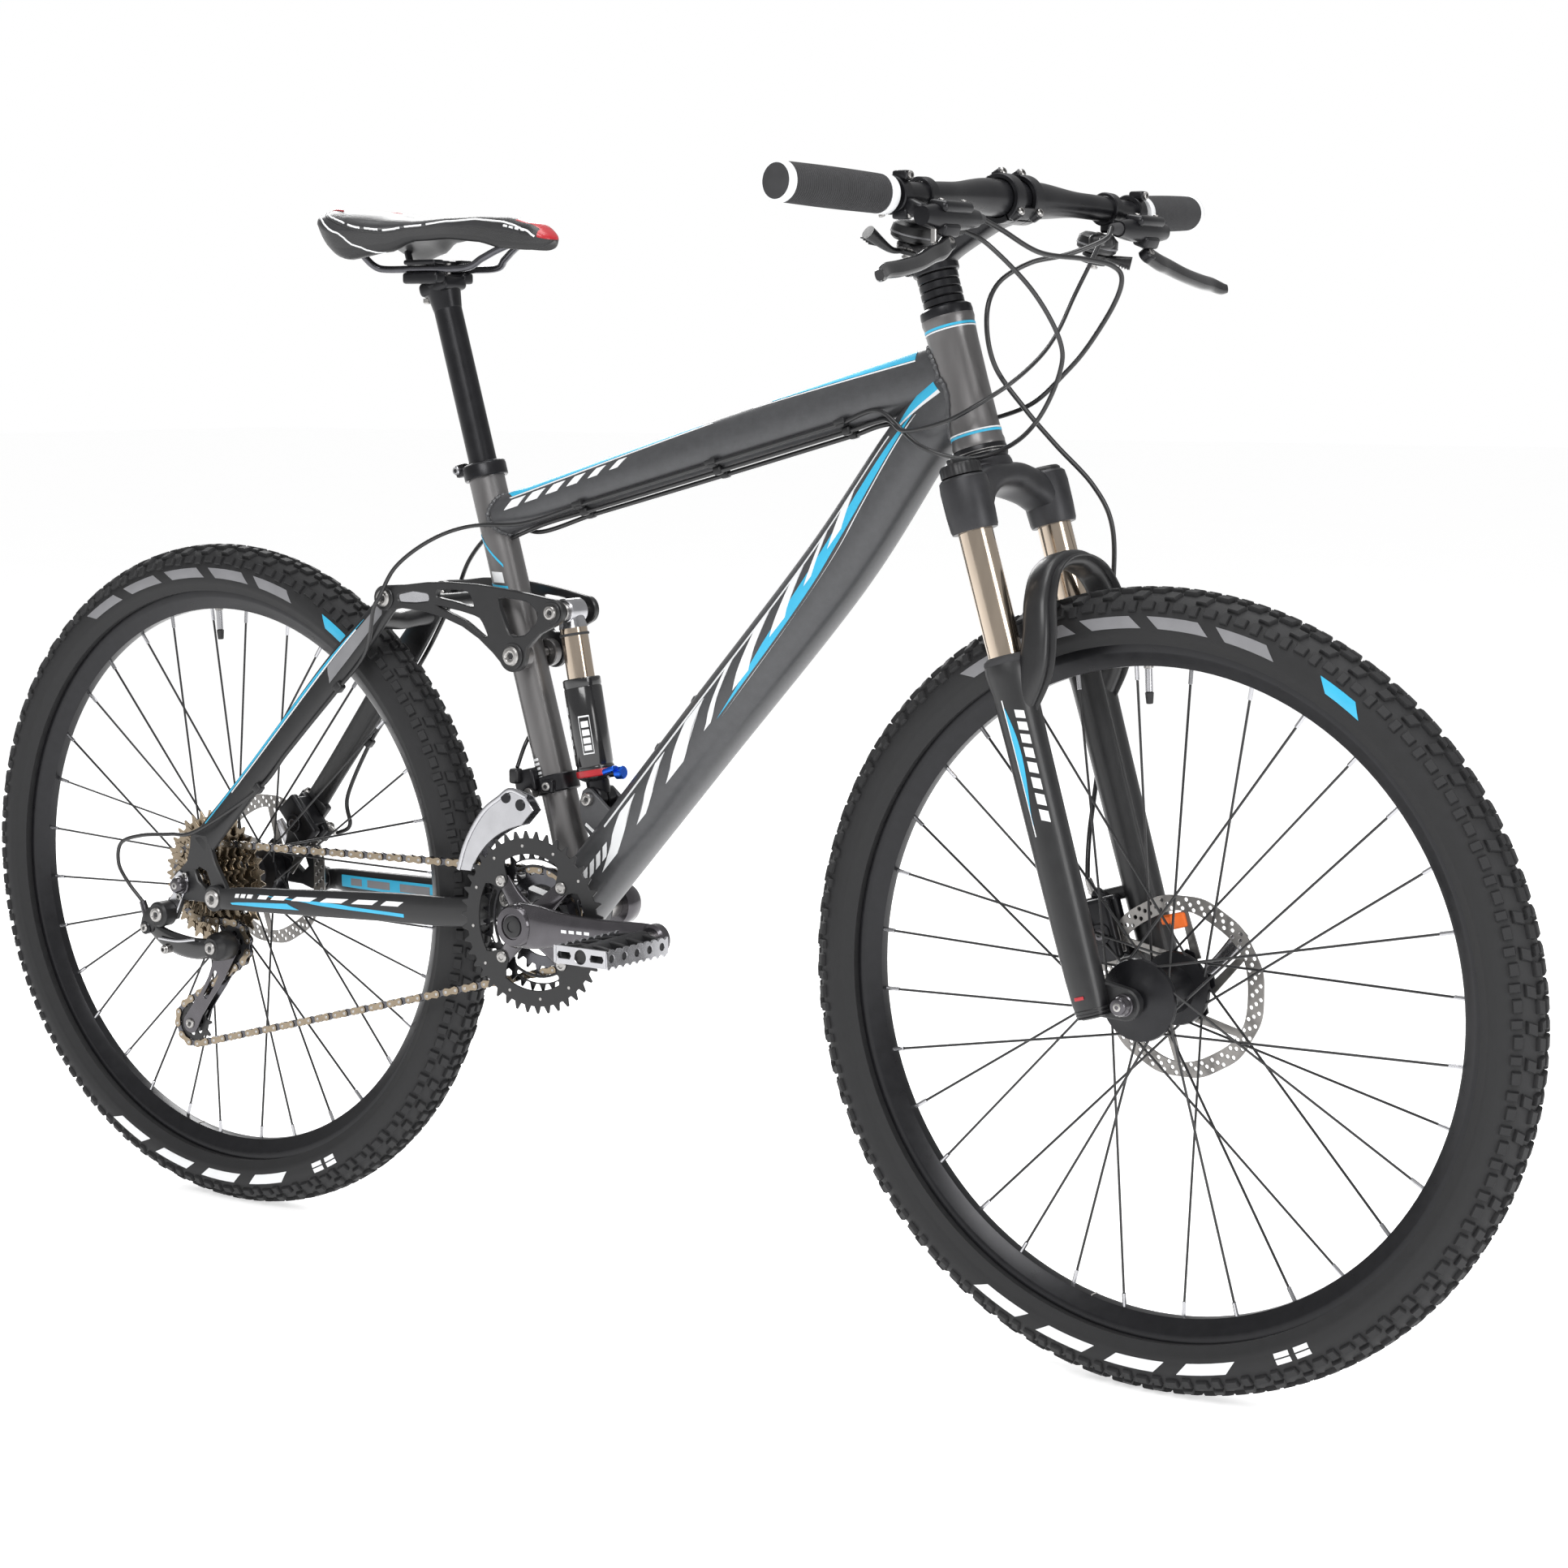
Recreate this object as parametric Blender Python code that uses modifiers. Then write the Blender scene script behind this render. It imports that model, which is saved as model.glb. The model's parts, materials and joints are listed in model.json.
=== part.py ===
"""Full-suspension mountain bike.

Metres, +X forward, +Y to the rider's left, +Z up.  The drive side is -Y.
Points are written from the ground straight below the crank axis, on the centre plane.  The whole
bike is then moved back, so that the origin is on the ground at the middle of its length.
"""
import math

import bmesh
import bpy
from mathutils import Matrix, Vector

NAME = "mountain_bike"
GAP = 0.0003
MIDDLE_X = 0.0955

# Wheels and axles, as (x, z)
BB = (0.0, 0.350)
REAR_AXLE = (-0.452, 0.346)
FRONT_AXLE = (0.643, 0.346)
TYRE_OUTER = 0.346
TYRE_HALF_WIDTH = 0.0285
RIM_INNER = 0.279
RIM_OUTER = 0.2985
RIM_HALF_WIDTH = 0.013
SPOKES = 16
WHEEL_STEPS = 28
FRONT_DROPOUT = 0.050
REAR_DROPOUT = 0.0675
ROTOR_RADIUS = 0.080
FRONT_ROTOR_Y = 0.0400
REAR_ROTOR_Y = 0.0522

# Front end: distances "along" run down the steering axis from the foot of the head tube
HEAD_FOOT = (0.4595, 0.8044)
HEAD_ANGLE = math.radians(73.3)
HEAD_LENGTH = 0.116
HEAD_RADIUS = 0.0225
STEERER_RADIUS = 0.0143
LEG_SPREAD = 0.065
LEG_AHEAD = 0.016
STANCHION_RADIUS = 0.0150
LOWER_LEG_RADIUS = 0.0185
SOCKET_TOP = 0.029
SOCKET_FOOT = 0.0758
LOWERS_TOP = 0.184
LOWERS_FOOT = 0.497
BAR_CENTRE = (0.489, 1.0150)
BAR_RADIUS = 0.0111
BAR_CLAMP_RADIUS = 0.0158
BAR_HALF_WIDTH = 0.330
GRIP_INNER = 0.203
GRIP_RADIUS = 0.0158

# Frame tubes
SEAT_TOP = (-0.1030, 0.7792)
SEAT_FOOT = (0.0105, 0.3880)
SEAT_TUBE_RADIUS = 0.01745
SEATPOST_RADIUS = 0.0136
SEATPOST_TOP_Z = 0.9560
SHELL_RADIUS = 0.0215
SHELL_HALF = 0.0365

# Suspension pivots, as (x, z)
MAIN_PIVOT = (-0.046, 0.366)
HORST_PIVOT = (-0.401, 0.337)
ROCKER_PIVOT = (-0.0415, 0.600)
ROCKER_REAR = (-0.190, 0.650)
SHOCK_EYE = (0.0035, 0.643)
SHOCK_FOOT = (0.0376, 0.4667)

# Drive train
CHAIN_PITCH = 0.0127
RING_TEETH = (42, 32, 24)
RING_Y = (-0.058, -0.050, -0.042)
CHAIN_RING = 24
CHAIN_FRONT_Y = -0.042
COG_TEETH = (11, 13, 15, 17, 20, 23, 26, 30, 34)
COG_FIRST_Y = -0.0625
COG_STEP = 0.00435
CHAIN_COG = 20
CHAIN_REAR_Y = -0.0451
CHAIN_HALF_WIDTH = 0.0032
CHAIN_HALF_DEPTH = 0.0042
ROOT_GAP = 0.0010
PULLEY_TEETH = 11
GUIDE_PULLEY = (-0.411, 0.284)
TENSION_PULLEY = (-0.4706, 0.1944)
HANGER_BOLT = (-0.4720, 0.3150)
CRANK_LENGTH = 0.165
CRANK_ANGLE = math.radians(1.5)
CRANK_INNER = 0.066
CRANK_OUTER = 0.088
PEDAL_INNER = 0.097
PEDAL_OUTER = 0.190


# --- scene and materials -------------------------------------------------------------------

def clear_scene():
    for obj in list(bpy.data.objects):
        bpy.data.objects.remove(obj, do_unlink=True)


def make_collection():
    collection = bpy.data.collections.new(NAME)
    bpy.context.scene.collection.children.link(collection)
    return collection


def make_root():
    """The empty that all parts hang on; it moves the bike back to the middle of its length."""
    root = bpy.data.objects.new(NAME, None)
    root.location.x = -MIDDLE_X
    PARTS.objects.link(root)
    return root


clear_scene()
PARTS = make_collection()
ROOT = make_root()


def material(name, colour, roughness, metallic):
    mat = bpy.data.materials.new(name)
    mat.use_nodes = True
    shader = mat.node_tree.nodes["Principled BSDF"]
    shader.inputs["Base Color"].default_value = (*colour, 1.0)
    shader.inputs["Roughness"].default_value = roughness
    shader.inputs["Metallic"].default_value = metallic
    return mat


PAINT_GREY = ((0.12, 0.12, 0.13), 0.45, 0.3)
PAINT_BLACK = ((0.02, 0.02, 0.02), 0.5, 0.0)
RUBBER = ((0.03, 0.03, 0.03), 0.85, 0.0)
ALLOY_BLACK = ((0.03, 0.03, 0.035), 0.4, 0.7)
ALLOY_GREY = ((0.13, 0.12, 0.13), 0.3, 0.8)
SILVER = ((0.65, 0.65, 0.66), 0.25, 0.95)
CHAMPAGNE = ((0.55, 0.49, 0.42), 0.2, 0.95)
NICKEL = ((0.42, 0.36, 0.30), 0.3, 0.95)
PLASTIC = ((0.025, 0.025, 0.025), 0.6, 0.0)


# --- points and placement ------------------------------------------------------------------

def at(point, y=0.0):
    """An (x, z) pair as a 3-D point."""
    return Vector((point[0], y, point[1]))


def between(a, b, share):
    return (a[0] + (b[0] - a[0]) * share, a[1] + (b[1] - a[1]) * share)


def steer(along, ahead=0.0, side=0.0):
    """A point given by its distance down the steering axis, ahead of it and to the left."""
    x = HEAD_FOOT[0] + math.cos(HEAD_ANGLE) * along + math.sin(HEAD_ANGLE) * ahead
    z = HEAD_FOOT[1] - math.sin(HEAD_ANGLE) * along + math.cos(HEAD_ANGLE) * ahead
    return Vector((x, side, z))


def toward(direction, point):
    """The matrix that puts local +Z along a direction and the origin on a point."""
    turn = Vector(direction).normalized().to_track_quat("Z", "Y").to_matrix().to_4x4()
    return Matrix.Translation(Vector(point)) @ turn


def pitch_radius(teeth):
    return CHAIN_PITCH / (2.0 * math.sin(math.pi / teeth))


# --- solids --------------------------------------------------------------------------------

def object_from_bmesh(bm, name="shape"):
    mesh = bpy.data.meshes.new(name)
    bm.to_mesh(mesh)
    bm.free()
    obj = bpy.data.objects.new(name, mesh)
    PARTS.objects.link(obj)
    return obj


def bake(obj):
    """Turn an object's modifiers, curve and placement into plain world-space mesh."""
    bpy.context.view_layer.update()
    graph = bpy.context.evaluated_depsgraph_get()
    mesh = bpy.data.meshes.new_from_object(obj.evaluated_get(graph), depsgraph=graph)
    mesh.transform(obj.matrix_world)
    bm = bmesh.new()
    bm.from_mesh(mesh)
    bmesh.ops.remove_doubles(bm, verts=bm.verts, dist=0.00001)
    bmesh.ops.recalc_face_normals(bm, faces=bm.faces)
    name = obj.name
    bpy.data.objects.remove(obj, do_unlink=True)
    bpy.data.meshes.remove(mesh)
    return object_from_bmesh(bm, name)


def combine(target, tool, operation):
    mod = target.modifiers.new(operation.lower(), "BOOLEAN")
    mod.operation = operation
    mod.object = tool
    result = bake(target)
    bpy.data.objects.remove(tool, do_unlink=True)
    return result


def join(target, *tools):
    for tool in tools:
        target = combine(target, tool, "UNION")
    return target


def cut(target, *tools):
    for tool in tools:
        target = combine(target, tool, "DIFFERENCE")
    return target


def rod(start, end, radius, sides=16, end_radius=None):
    """A round bar or cone between two points."""
    start = Vector(start)
    end = Vector(end)
    bm = bmesh.new()
    bmesh.ops.create_cone(bm, cap_ends=True, segments=sides, radius1=radius,
                          radius2=radius if end_radius is None else end_radius,
                          depth=(end - start).length)
    bm.transform(toward(end - start, (start + end) / 2))
    return object_from_bmesh(bm)


def cross_rod(point, y_low, y_high, radius, sides=12):
    """A round bar along Y."""
    return rod(at(point, y_low), at(point, y_high), radius, sides)


def block(centre, size, matrix=None):
    """A box; the matrix, when given, turns it about its own centre."""
    bm = bmesh.new()
    bmesh.ops.create_cube(bm, size=1.0)
    turn = matrix if matrix is not None else Matrix.Identity(4)
    bm.transform(Matrix.Translation(Vector(centre)) @ turn @ Matrix.Diagonal((*size, 1.0)))
    return object_from_bmesh(bm)


def oval_tube(start, end, start_size, end_size, sides=20):
    """A tapered tube whose sections are ovals, sized (width along Y, depth)."""
    start = Vector(start)
    end = Vector(end)
    length = (end - start).length
    bm = bmesh.new()
    bmesh.ops.create_cone(bm, cap_ends=True, segments=sides, radius1=0.5, radius2=0.5, depth=length)
    for vert in bm.verts:
        size = start_size if vert.co.z < 0 else end_size
        vert.co.x *= size[0]
        vert.co.y *= size[1]
    axis = (end - start).normalized()
    wide = Vector((0.0, 1.0, 0.0))
    wide = (wide - axis * wide.dot(axis)).normalized()
    deep = axis.cross(wide)
    turn = Matrix((wide, deep, axis)).transposed().to_4x4()
    bm.transform(Matrix.Translation((start + end) / 2) @ turn)
    return object_from_bmesh(bm)


def swept_oval(points, sizes, sides=16):
    """A bent tube of oval sections, sized (width along Y, depth), through the given points."""
    bm = bmesh.new()
    rings = []
    for i, point in enumerate(points):
        before = points[max(i - 1, 0)]
        after = points[min(i + 1, len(points) - 1)]
        run = (after - before).normalized()
        wide = Vector((0.0, 1.0, 0.0))
        wide = (wide - run * wide.dot(run)).normalized()
        deep = run.cross(wide)
        width, depth = sizes[i]
        corners = [math.tau * (k + 0.5) / sides for k in range(sides)]
        rings.append([bm.verts.new(point + wide * width / 2 * math.cos(a) + deep * depth / 2 * math.sin(a))
                      for a in corners])
    for a, b in zip(rings, rings[1:]):
        for k in range(sides):
            bm.faces.new((a[k], a[(k + 1) % sides], b[(k + 1) % sides], b[k]))
    bm.faces.new(rings[0])
    bm.faces.new(rings[-1])
    bmesh.ops.recalc_face_normals(bm, faces=bm.faces)
    return object_from_bmesh(bm)


def tube(points, radius, sides=8, radii=None):
    """A bent round bar through the given points."""
    curve = bpy.data.curves.new("tube", "CURVE")
    curve.dimensions = "3D"
    curve.bevel_depth = radius
    curve.bevel_resolution = (sides - 4) // 2
    curve.use_fill_caps = True
    spline = curve.splines.new("POLY")
    spline.points.add(len(points) - 1)
    for index, point in enumerate(points):
        spline.points[index].co = (*point, 1.0)
        if radii:
            spline.points[index].radius = radii[index]
    obj = bpy.data.objects.new("tube", curve)
    PARTS.objects.link(obj)
    return bake(obj)


def plate(outlines, y_low, y_high):
    """Closed (x, z) outlines, the first one outside and the others holes, made solid along Y."""
    curve = bpy.data.curves.new("plate", "CURVE")
    curve.dimensions = "2D"
    curve.fill_mode = "BOTH"
    curve.extrude = (y_high - y_low) / 2
    for outline in outlines:
        spline = curve.splines.new("POLY")
        spline.points.add(len(outline) - 1)
        spline.use_cyclic_u = True
        for index, point in enumerate(outline):
            spline.points[index].co = (point[0], point[1], 0.0, 1.0)
    obj = bpy.data.objects.new("plate", curve)
    PARTS.objects.link(obj)
    obj.matrix_world = Matrix.Translation((0, (y_low + y_high) / 2, 0)) @ Matrix.Rotation(math.pi / 2, 4, "X")
    return bake(obj)


def turned(profile, matrix, steps=32, closed=True):
    """A (radius, height) profile turned about local Z; an open one starts and ends on the axis."""
    mesh = bpy.data.meshes.new("profile")
    verts = [(radius, 0.0, height) for radius, height in profile]
    edges = [(i, (i + 1) % len(verts)) for i in range(len(verts) if closed else len(verts) - 1)]
    mesh.from_pydata(verts, edges, [])
    obj = bpy.data.objects.new("turned", mesh)
    PARTS.objects.link(obj)
    screw = obj.modifiers.new("screw", "SCREW")
    screw.steps = steps
    screw.render_steps = steps
    screw.use_merge_vertices = True
    screw.merge_threshold = 0.00001
    obj.matrix_world = matrix
    return bake(obj)


def collar(start, end, inner, outer, steps=24):
    """A round sleeve between two points."""
    start = Vector(start)
    end = Vector(end)
    length = (end - start).length
    profile = [(outer, length), (outer, 0.0), (inner, 0.0), (inner, length)]
    return turned(profile, toward(end - start, start), steps)


def ring(point, y_low, y_high, inner, outer, steps=32):
    """A flat ring about an axis along Y."""
    return collar(at(point, y_low), at(point, y_high), inner, outer, steps)


# --- outlines ------------------------------------------------------------------------------

def circle(centre, radius, count=24):
    return [(centre[0] + radius * math.cos(math.tau * i / count),
             centre[1] + radius * math.sin(math.tau * i / count)) for i in range(count)]


def belt(wheels, step=math.radians(18)):
    """The outline of a belt round wheels (x, z, radius) in order; a negative radius wraps outside-in.

    Wheels are listed clockwise as seen from the drive side.
    """
    touches = []
    count = len(wheels)
    for i in range(count):
        x0, z0, r0 = wheels[i]
        x1, z1, r1 = wheels[(i + 1) % count]
        span = math.hypot(x1 - x0, z1 - z0)
        heading = math.atan2(z1 - z0, x1 - x0)
        lean = math.asin((r0 - r1) / span)
        touches.append(heading + math.pi / 2 - lean)
    points = []
    for i in range(count):
        x, z, radius = wheels[i]
        first = touches[i - 1]
        last = touches[i]
        sweep = (last - first) % math.tau
        if radius > 0:
            sweep -= math.tau
            if sweep < -math.tau + 1e-9:
                sweep = 0.0
        pieces = max(1, math.ceil(abs(sweep) / step))
        for k in range(pieces + 1):
            angle = first + sweep * k / pieces
            points.append((x + radius * math.cos(angle), z + radius * math.sin(angle)))
    return points


# --- finished nodes ------------------------------------------------------------------------

def node(obj, name, look, pivot=None):
    """Name a finished solid, give it its material and put its origin on its joint."""
    obj.name = name
    obj.data.name = name
    obj.data.materials.clear()
    obj.data.materials.append(material(name, *look))
    if pivot is not None:
        pivot = Vector(pivot)
        obj.data.transform(Matrix.Translation(-pivot))
        obj.location = pivot
    obj.data.shade_smooth()
    obj.data.set_sharp_from_angle(angle=math.radians(35))
    obj.parent = ROOT
    return obj


# --- frame ---------------------------------------------------------------------------------

TOP_TUBE_REAR = (-0.0800, 0.7298)
TOP_TUBE_FRONT = (0.4250, 0.8685)
DOWN_TUBE_FOOT = (0.0080, 0.3600)
DOWN_TUBE_MIDDLE = (0.3090, 0.6920)
DOWN_TUBE_NECK = (0.3950, 0.8080)
DOWN_TUBE_TOP = (0.4400, 0.8550)
DOWN_TUBE_DEPTH = 0.063
BOSS_SHARES = (0.42, 0.5628)
BOSS_RADIUS = 0.0075
BOSS_HEIGHT = 0.0015
ROCKER_BOSS_HALF = 0.0255
PIVOT_LUG_HALF = 0.0295
PIVOT_PIN_RADIUS = 0.0050
PIVOT_BORE_RADIUS = 0.0053
SHELL_BORE = 0.0176
POST_BORE_DEPTH = 0.172


def seat_axis():
    return (at(SEAT_TOP) - at(SEAT_FOOT)).normalized()


def down_tube_normal():
    """The unit normal of the down tube's upper side."""
    run = (at(DOWN_TUBE_MIDDLE) - at(DOWN_TUBE_FOOT)).normalized()
    return Vector((-run.z, 0.0, run.x))


def boss(share):
    """One threaded boss for a bottle cage, on the down tube's upper side."""
    foot = at(between(DOWN_TUBE_FOOT, DOWN_TUBE_MIDDLE, share))
    normal = down_tube_normal()
    return rod(foot + normal * 0.020, foot + normal * (DOWN_TUBE_DEPTH / 2 + BOSS_HEIGHT), BOSS_RADIUS, 12)


def shock_bracket():
    """The gusset that carries the shock's foot, slotted for its eye."""
    outline = [(0.0300, 0.4740), (0.0390, 0.4760), (0.0480, 0.4700), (0.0760, 0.4500), (0.0500, 0.4000),
               (0.0250, 0.3850), (0.0260, 0.3980), (0.0420, 0.4120), (0.0430, 0.4240), (0.0310, 0.4400),
               (0.0265, 0.4600)]
    bracket = plate([outline], -0.0180, 0.0180)
    slot = block(at((0.0450, 0.4770)), (0.060, 0.0250, 0.0500))
    return cut(bracket, slot)


def frame_tubes():
    head = rod(steer(0.0), steer(-HEAD_LENGTH), HEAD_RADIUS, 24)
    top = oval_tube(at(TOP_TUBE_REAR), at(TOP_TUBE_FRONT), (0.036, 0.040), (0.044, 0.050), 16)
    down = swept_oval([at(DOWN_TUBE_FOOT), at(DOWN_TUBE_MIDDLE), at(DOWN_TUBE_NECK), at(DOWN_TUBE_TOP)],
                      [(0.056, 0.060), (0.054, DOWN_TUBE_DEPTH), (0.048, 0.058), (0.042, 0.050)], 20)
    seat = rod(at(SEAT_FOOT), at(SEAT_TOP), SEAT_TUBE_RADIUS, 20)
    shell = cross_rod(BB, -SHELL_HALF, SHELL_HALF, SHELL_RADIUS, 20)
    return join(head, top, down, seat, shell)


def main_frame():
    frame = frame_tubes()
    lug = plate([belt([(*BB, 0.018), (*MAIN_PIVOT, 0.0130)])], -PIVOT_LUG_HALF, PIVOT_LUG_HALF)
    rocker_boss = cross_rod(ROCKER_PIVOT, -ROCKER_BOSS_HALF, ROCKER_BOSS_HALF, 0.0125, 20)
    frame = join(frame, lug, rocker_boss, shock_bracket(), *[boss(share) for share in BOSS_SHARES])
    post_foot = at(SEAT_TOP) - seat_axis() * POST_BORE_DEPTH
    return cut(
        frame,
        rod(steer(0.02), steer(-HEAD_LENGTH - 0.02), 0.0150, 24),
        rod(post_foot, at(SEAT_TOP) + seat_axis() * 0.02, SEATPOST_RADIUS + GAP, 24),
        cross_rod(BB, -0.06, 0.06, SHELL_BORE, 24),
        cross_rod(MAIN_PIVOT, -0.06, 0.06, PIVOT_BORE_RADIUS),
        cross_rod(ROCKER_PIVOT, -0.06, 0.06, PIVOT_BORE_RADIUS),
        cross_rod(SHOCK_FOOT, -0.06, 0.06, 0.0043),
    )


def headset_upper_cup():
    return collar(steer(-HEAD_LENGTH - GAP), steer(-HEAD_LENGTH - 0.0095), 0.0150, 0.0228)


def headset_lower_cup():
    return collar(steer(GAP), steer(0.0120), 0.0150, 0.0228)


def bottom_bracket():
    """The bearing cartridge with its two outer cups."""
    face = SHELL_HALF + GAP
    rim = 0.0402
    profile = [(0.0200, rim), (0.0200, face), (0.0173, face), (0.0173, -face), (0.0200, -face),
               (0.0200, -rim), (0.0125, -rim), (0.0125, rim)]
    return turned(profile, toward((0, 1, 0), at(BB)), 24)


def seat_clamp():
    """The collar on the seat tube, split at the back and closed by a bolt."""
    axis = seat_axis()
    top = at(SEAT_TOP)
    band = collar(top - axis * 0.0130, top + axis * 0.0015, SEAT_TUBE_RADIUS + GAP, 0.0212)
    ears = block(top - axis * 0.0058 + Vector((-0.0245, 0, 0)), (0.0120, 0.0200, 0.0130))
    split = block(top - axis * 0.0058 + Vector((-0.0300, 0, 0)), (0.0240, 0.0020, 0.0400))
    bolt = cross_rod((top.x - 0.0262, top.z - 0.0052), -0.0135, 0.0135, 0.0030, 12)
    return join(cut(join(band, ears), split), bolt)


def front_derailleur_body():
    """The band clamp and its fixed body, beside the seat tube."""
    axis = seat_axis()
    centre = at(SEAT_FOOT) + axis * ((0.4760 - SEAT_FOOT[1]) / axis.z)
    band = collar(centre - axis * 0.0080, centre + axis * 0.0080, SEAT_TUBE_RADIUS + GAP, 0.0220)
    body = block(centre + Vector((-0.0200, -0.0215, 0.0020)), (0.0300, 0.0150, 0.0300))
    tube_room = rod(at(SEAT_FOOT), at(SEAT_TOP), SEAT_TUBE_RADIUS + GAP, 24)
    return cut(join(band, body), tube_room)


FD_CENTRE_Y = -0.0428
FD_INNER_Y = (-0.0378, -0.0364)
FD_OUTER_Y = (-0.0494, -0.0480)


def arc_about(centre, radius, first, last, count):
    """Points on a circle between two angles in degrees."""
    points = []
    for i in range(count + 1):
        angle = math.radians(first + (last - first) * i / count)
        points.append((centre[0] + radius * math.cos(angle), centre[1] + radius * math.sin(angle)))
    return points


def front_derailleur_cage():
    """Two curved plates, joined above the chain and behind it."""
    crown = [(-0.0160, 0.4660), (-0.0500, 0.4600), (-0.0700, 0.4430), (-0.0870, 0.4210), (-0.0985, 0.3960)]
    outline = arc_about(BB, 0.0930, 100.0, 155.0, 7) + crown[::-1]
    inner = plate([outline], *FD_INNER_Y)
    outer = plate([outline], *FD_OUTER_Y)
    top = block((-0.0340, FD_CENTRE_Y, 0.4545), (0.0280, 0.0120, 0.0040))
    tail = cross_rod((-0.0915, 0.4035), -0.0490, -0.0368, 0.0022, 8)
    return join(inner, outer, top, tail)


# --- seat ----------------------------------------------------------------------------------

RAIL_RADIUS = 0.0035
RAIL_Z = 0.9670
RAIL_Y = 0.0220
CLAMP_X = -0.1585


def seatpost():
    """The post with its head and the two jaws that hold the rails."""
    inserted = 0.088
    axis = seat_axis()
    rise = (SEATPOST_TOP_Z - SEAT_TOP[1]) / axis.z
    post = rod(at(SEAT_TOP) - axis * inserted, at(SEAT_TOP) + axis * rise, SEATPOST_RADIUS, 24)
    low_jaw = block((CLAMP_X, 0.0, RAIL_Z - RAIL_RADIUS - GAP - 0.0065), (0.0440, 0.0560, 0.0130))
    high_jaw = block((CLAMP_X, 0.0, RAIL_Z + RAIL_RADIUS + GAP + 0.0025), (0.0400, 0.0560, 0.0050))
    bolt = rod((CLAMP_X, 0.0, RAIL_Z - 0.010), (CLAMP_X, 0.0, RAIL_Z + 0.006), 0.0050, 12)
    return join(post, low_jaw, high_jaw, bolt)


def saddle_rails():
    """One bent wire: two rails that meet under the nose."""
    half = [(-0.2290, 0.0330, 0.9712), (-0.2150, 0.0250, 0.9680), (-0.2050, RAIL_Y, RAIL_Z),
            (-0.1050, RAIL_Y, RAIL_Z), (-0.0820, 0.0150, 0.9760), (-0.0640, 0.0080, 0.9800)]
    points = half + [(x, -y, z) for x, y, z in half[::-1]]
    return tube(points, RAIL_RADIUS)


def saddle_width(share):
    """Half width of the saddle, from the nose (0) to the back (1)."""
    nose = 0.0165
    back = 0.0740
    blend = max(0.0, (share - 0.38) / 0.50)
    blend = min(1.0, blend)
    return nose + 0.006 * share + (back - nose - 0.006) * blend * blend * (3 - 2 * blend)


SADDLE_PROFILE = (
    (0.00, 1.0000, 0.9825), (0.08, 1.0085, 0.9825), (0.20, 1.0155, 0.9845), (0.32, 1.0175, 0.9915),
    (0.44, 1.0165, 0.9945), (0.56, 1.0145, 0.9925), (0.64, 1.0165, 0.9830), (0.80, 1.0230, 0.9755),
    (0.94, 1.0285, 0.9900), (1.00, 1.0290, 1.0000))
SADDLE_NOSE_X = -0.0115
SADDLE_LENGTH = 0.2680
SADDLE_NOSE_ROUND = 0.06
SADDLE_TAIL_ROUND = 0.17
PAD_SHARE = 0.62


def saddle_heights(share):
    """The saddle's top and underside at a share of its length."""
    for before, after in zip(SADDLE_PROFILE, SADDLE_PROFILE[1:]):
        if share <= after[0]:
            t = (share - before[0]) / (after[0] - before[0])
            return before[1] + (after[1] - before[1]) * t, before[2] + (after[2] - before[2]) * t
    return SADDLE_PROFILE[-1][1:]


def rounded_end(share, reach):
    """Rises from 0 to 1 over a quarter circle as the share passes the reach."""
    return math.sqrt(max(0.0, 1 - (1 - min(share, reach) / reach) ** 2))


def saddle():
    """The padded top on its shell: oval half-sections from nose to back."""
    stations = (0.0, 0.03, 0.08, 0.20, 0.32, 0.44, 0.56, 0.64, 0.80, 0.90, 0.96, 0.985, 1.0)
    sides = 12
    bm = bmesh.new()
    rings = []
    for share in stations:
        edge = min(rounded_end(share, SADDLE_NOSE_ROUND), rounded_end(1 - share, SADDLE_TAIL_ROUND))
        close = 0.45 + 0.55 * edge
        width = saddle_width(share) * close
        top, under = saddle_heights(share)
        pad = (top - under) * PAD_SHARE
        x = SADDLE_NOSE_X - SADDLE_LENGTH * share
        section = []
        for k in range(sides + 1):
            angle = math.pi * k / sides
            rise = pad * close * math.sin(angle) ** 0.6
            section.append(bm.verts.new((x, width * math.cos(angle), top - pad + rise)))
        for side in (1, -1):
            section.append(bm.verts.new((x, side * width * PAD_SHARE, under)))
        rings.append(section)
    for a, b in zip(rings, rings[1:]):
        for k in range(len(a)):
            bm.faces.new((a[k], a[(k + 1) % len(a)], b[(k + 1) % len(b)], b[k]))
    bm.faces.new(rings[0])
    bm.faces.new(rings[-1][::-1])
    bmesh.ops.recalc_face_normals(bm, faces=bm.faces)
    return object_from_bmesh(bm)


# --- fork and steering ---------------------------------------------------------------------

STEM_FOOT = -0.1555
STEM_TOP = -0.1955
STEM_RADIUS = 0.0205


def fork_upper():
    """Steerer, crown and stanchions: one pressed assembly."""
    body = rod(steer(0.030), steer(STEM_TOP + 0.002), STEERER_RADIUS, 24)
    neck = rod(steer(0.0124), steer(0.0335), 0.0235, 24, 0.0250)
    body = join(body, neck)
    for side in (-1, 1):
        arm = oval_tube(steer(0.0300, 0.004), steer(0.0550, LEG_AHEAD, side * LEG_SPREAD),
                        (0.034, 0.034), (0.030, 0.036), 16)
        socket = rod(steer(SOCKET_TOP, LEG_AHEAD, side * LEG_SPREAD),
                     steer(SOCKET_FOOT, LEG_AHEAD, side * LEG_SPREAD), 0.0212, 24)
        stanchion = rod(steer(SOCKET_TOP + 0.01, LEG_AHEAD, side * LEG_SPREAD),
                        steer(0.3000, LEG_AHEAD, side * LEG_SPREAD), STANCHION_RADIUS, 24)
        body = join(body, arm, socket, stanchion)
    return body


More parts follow.
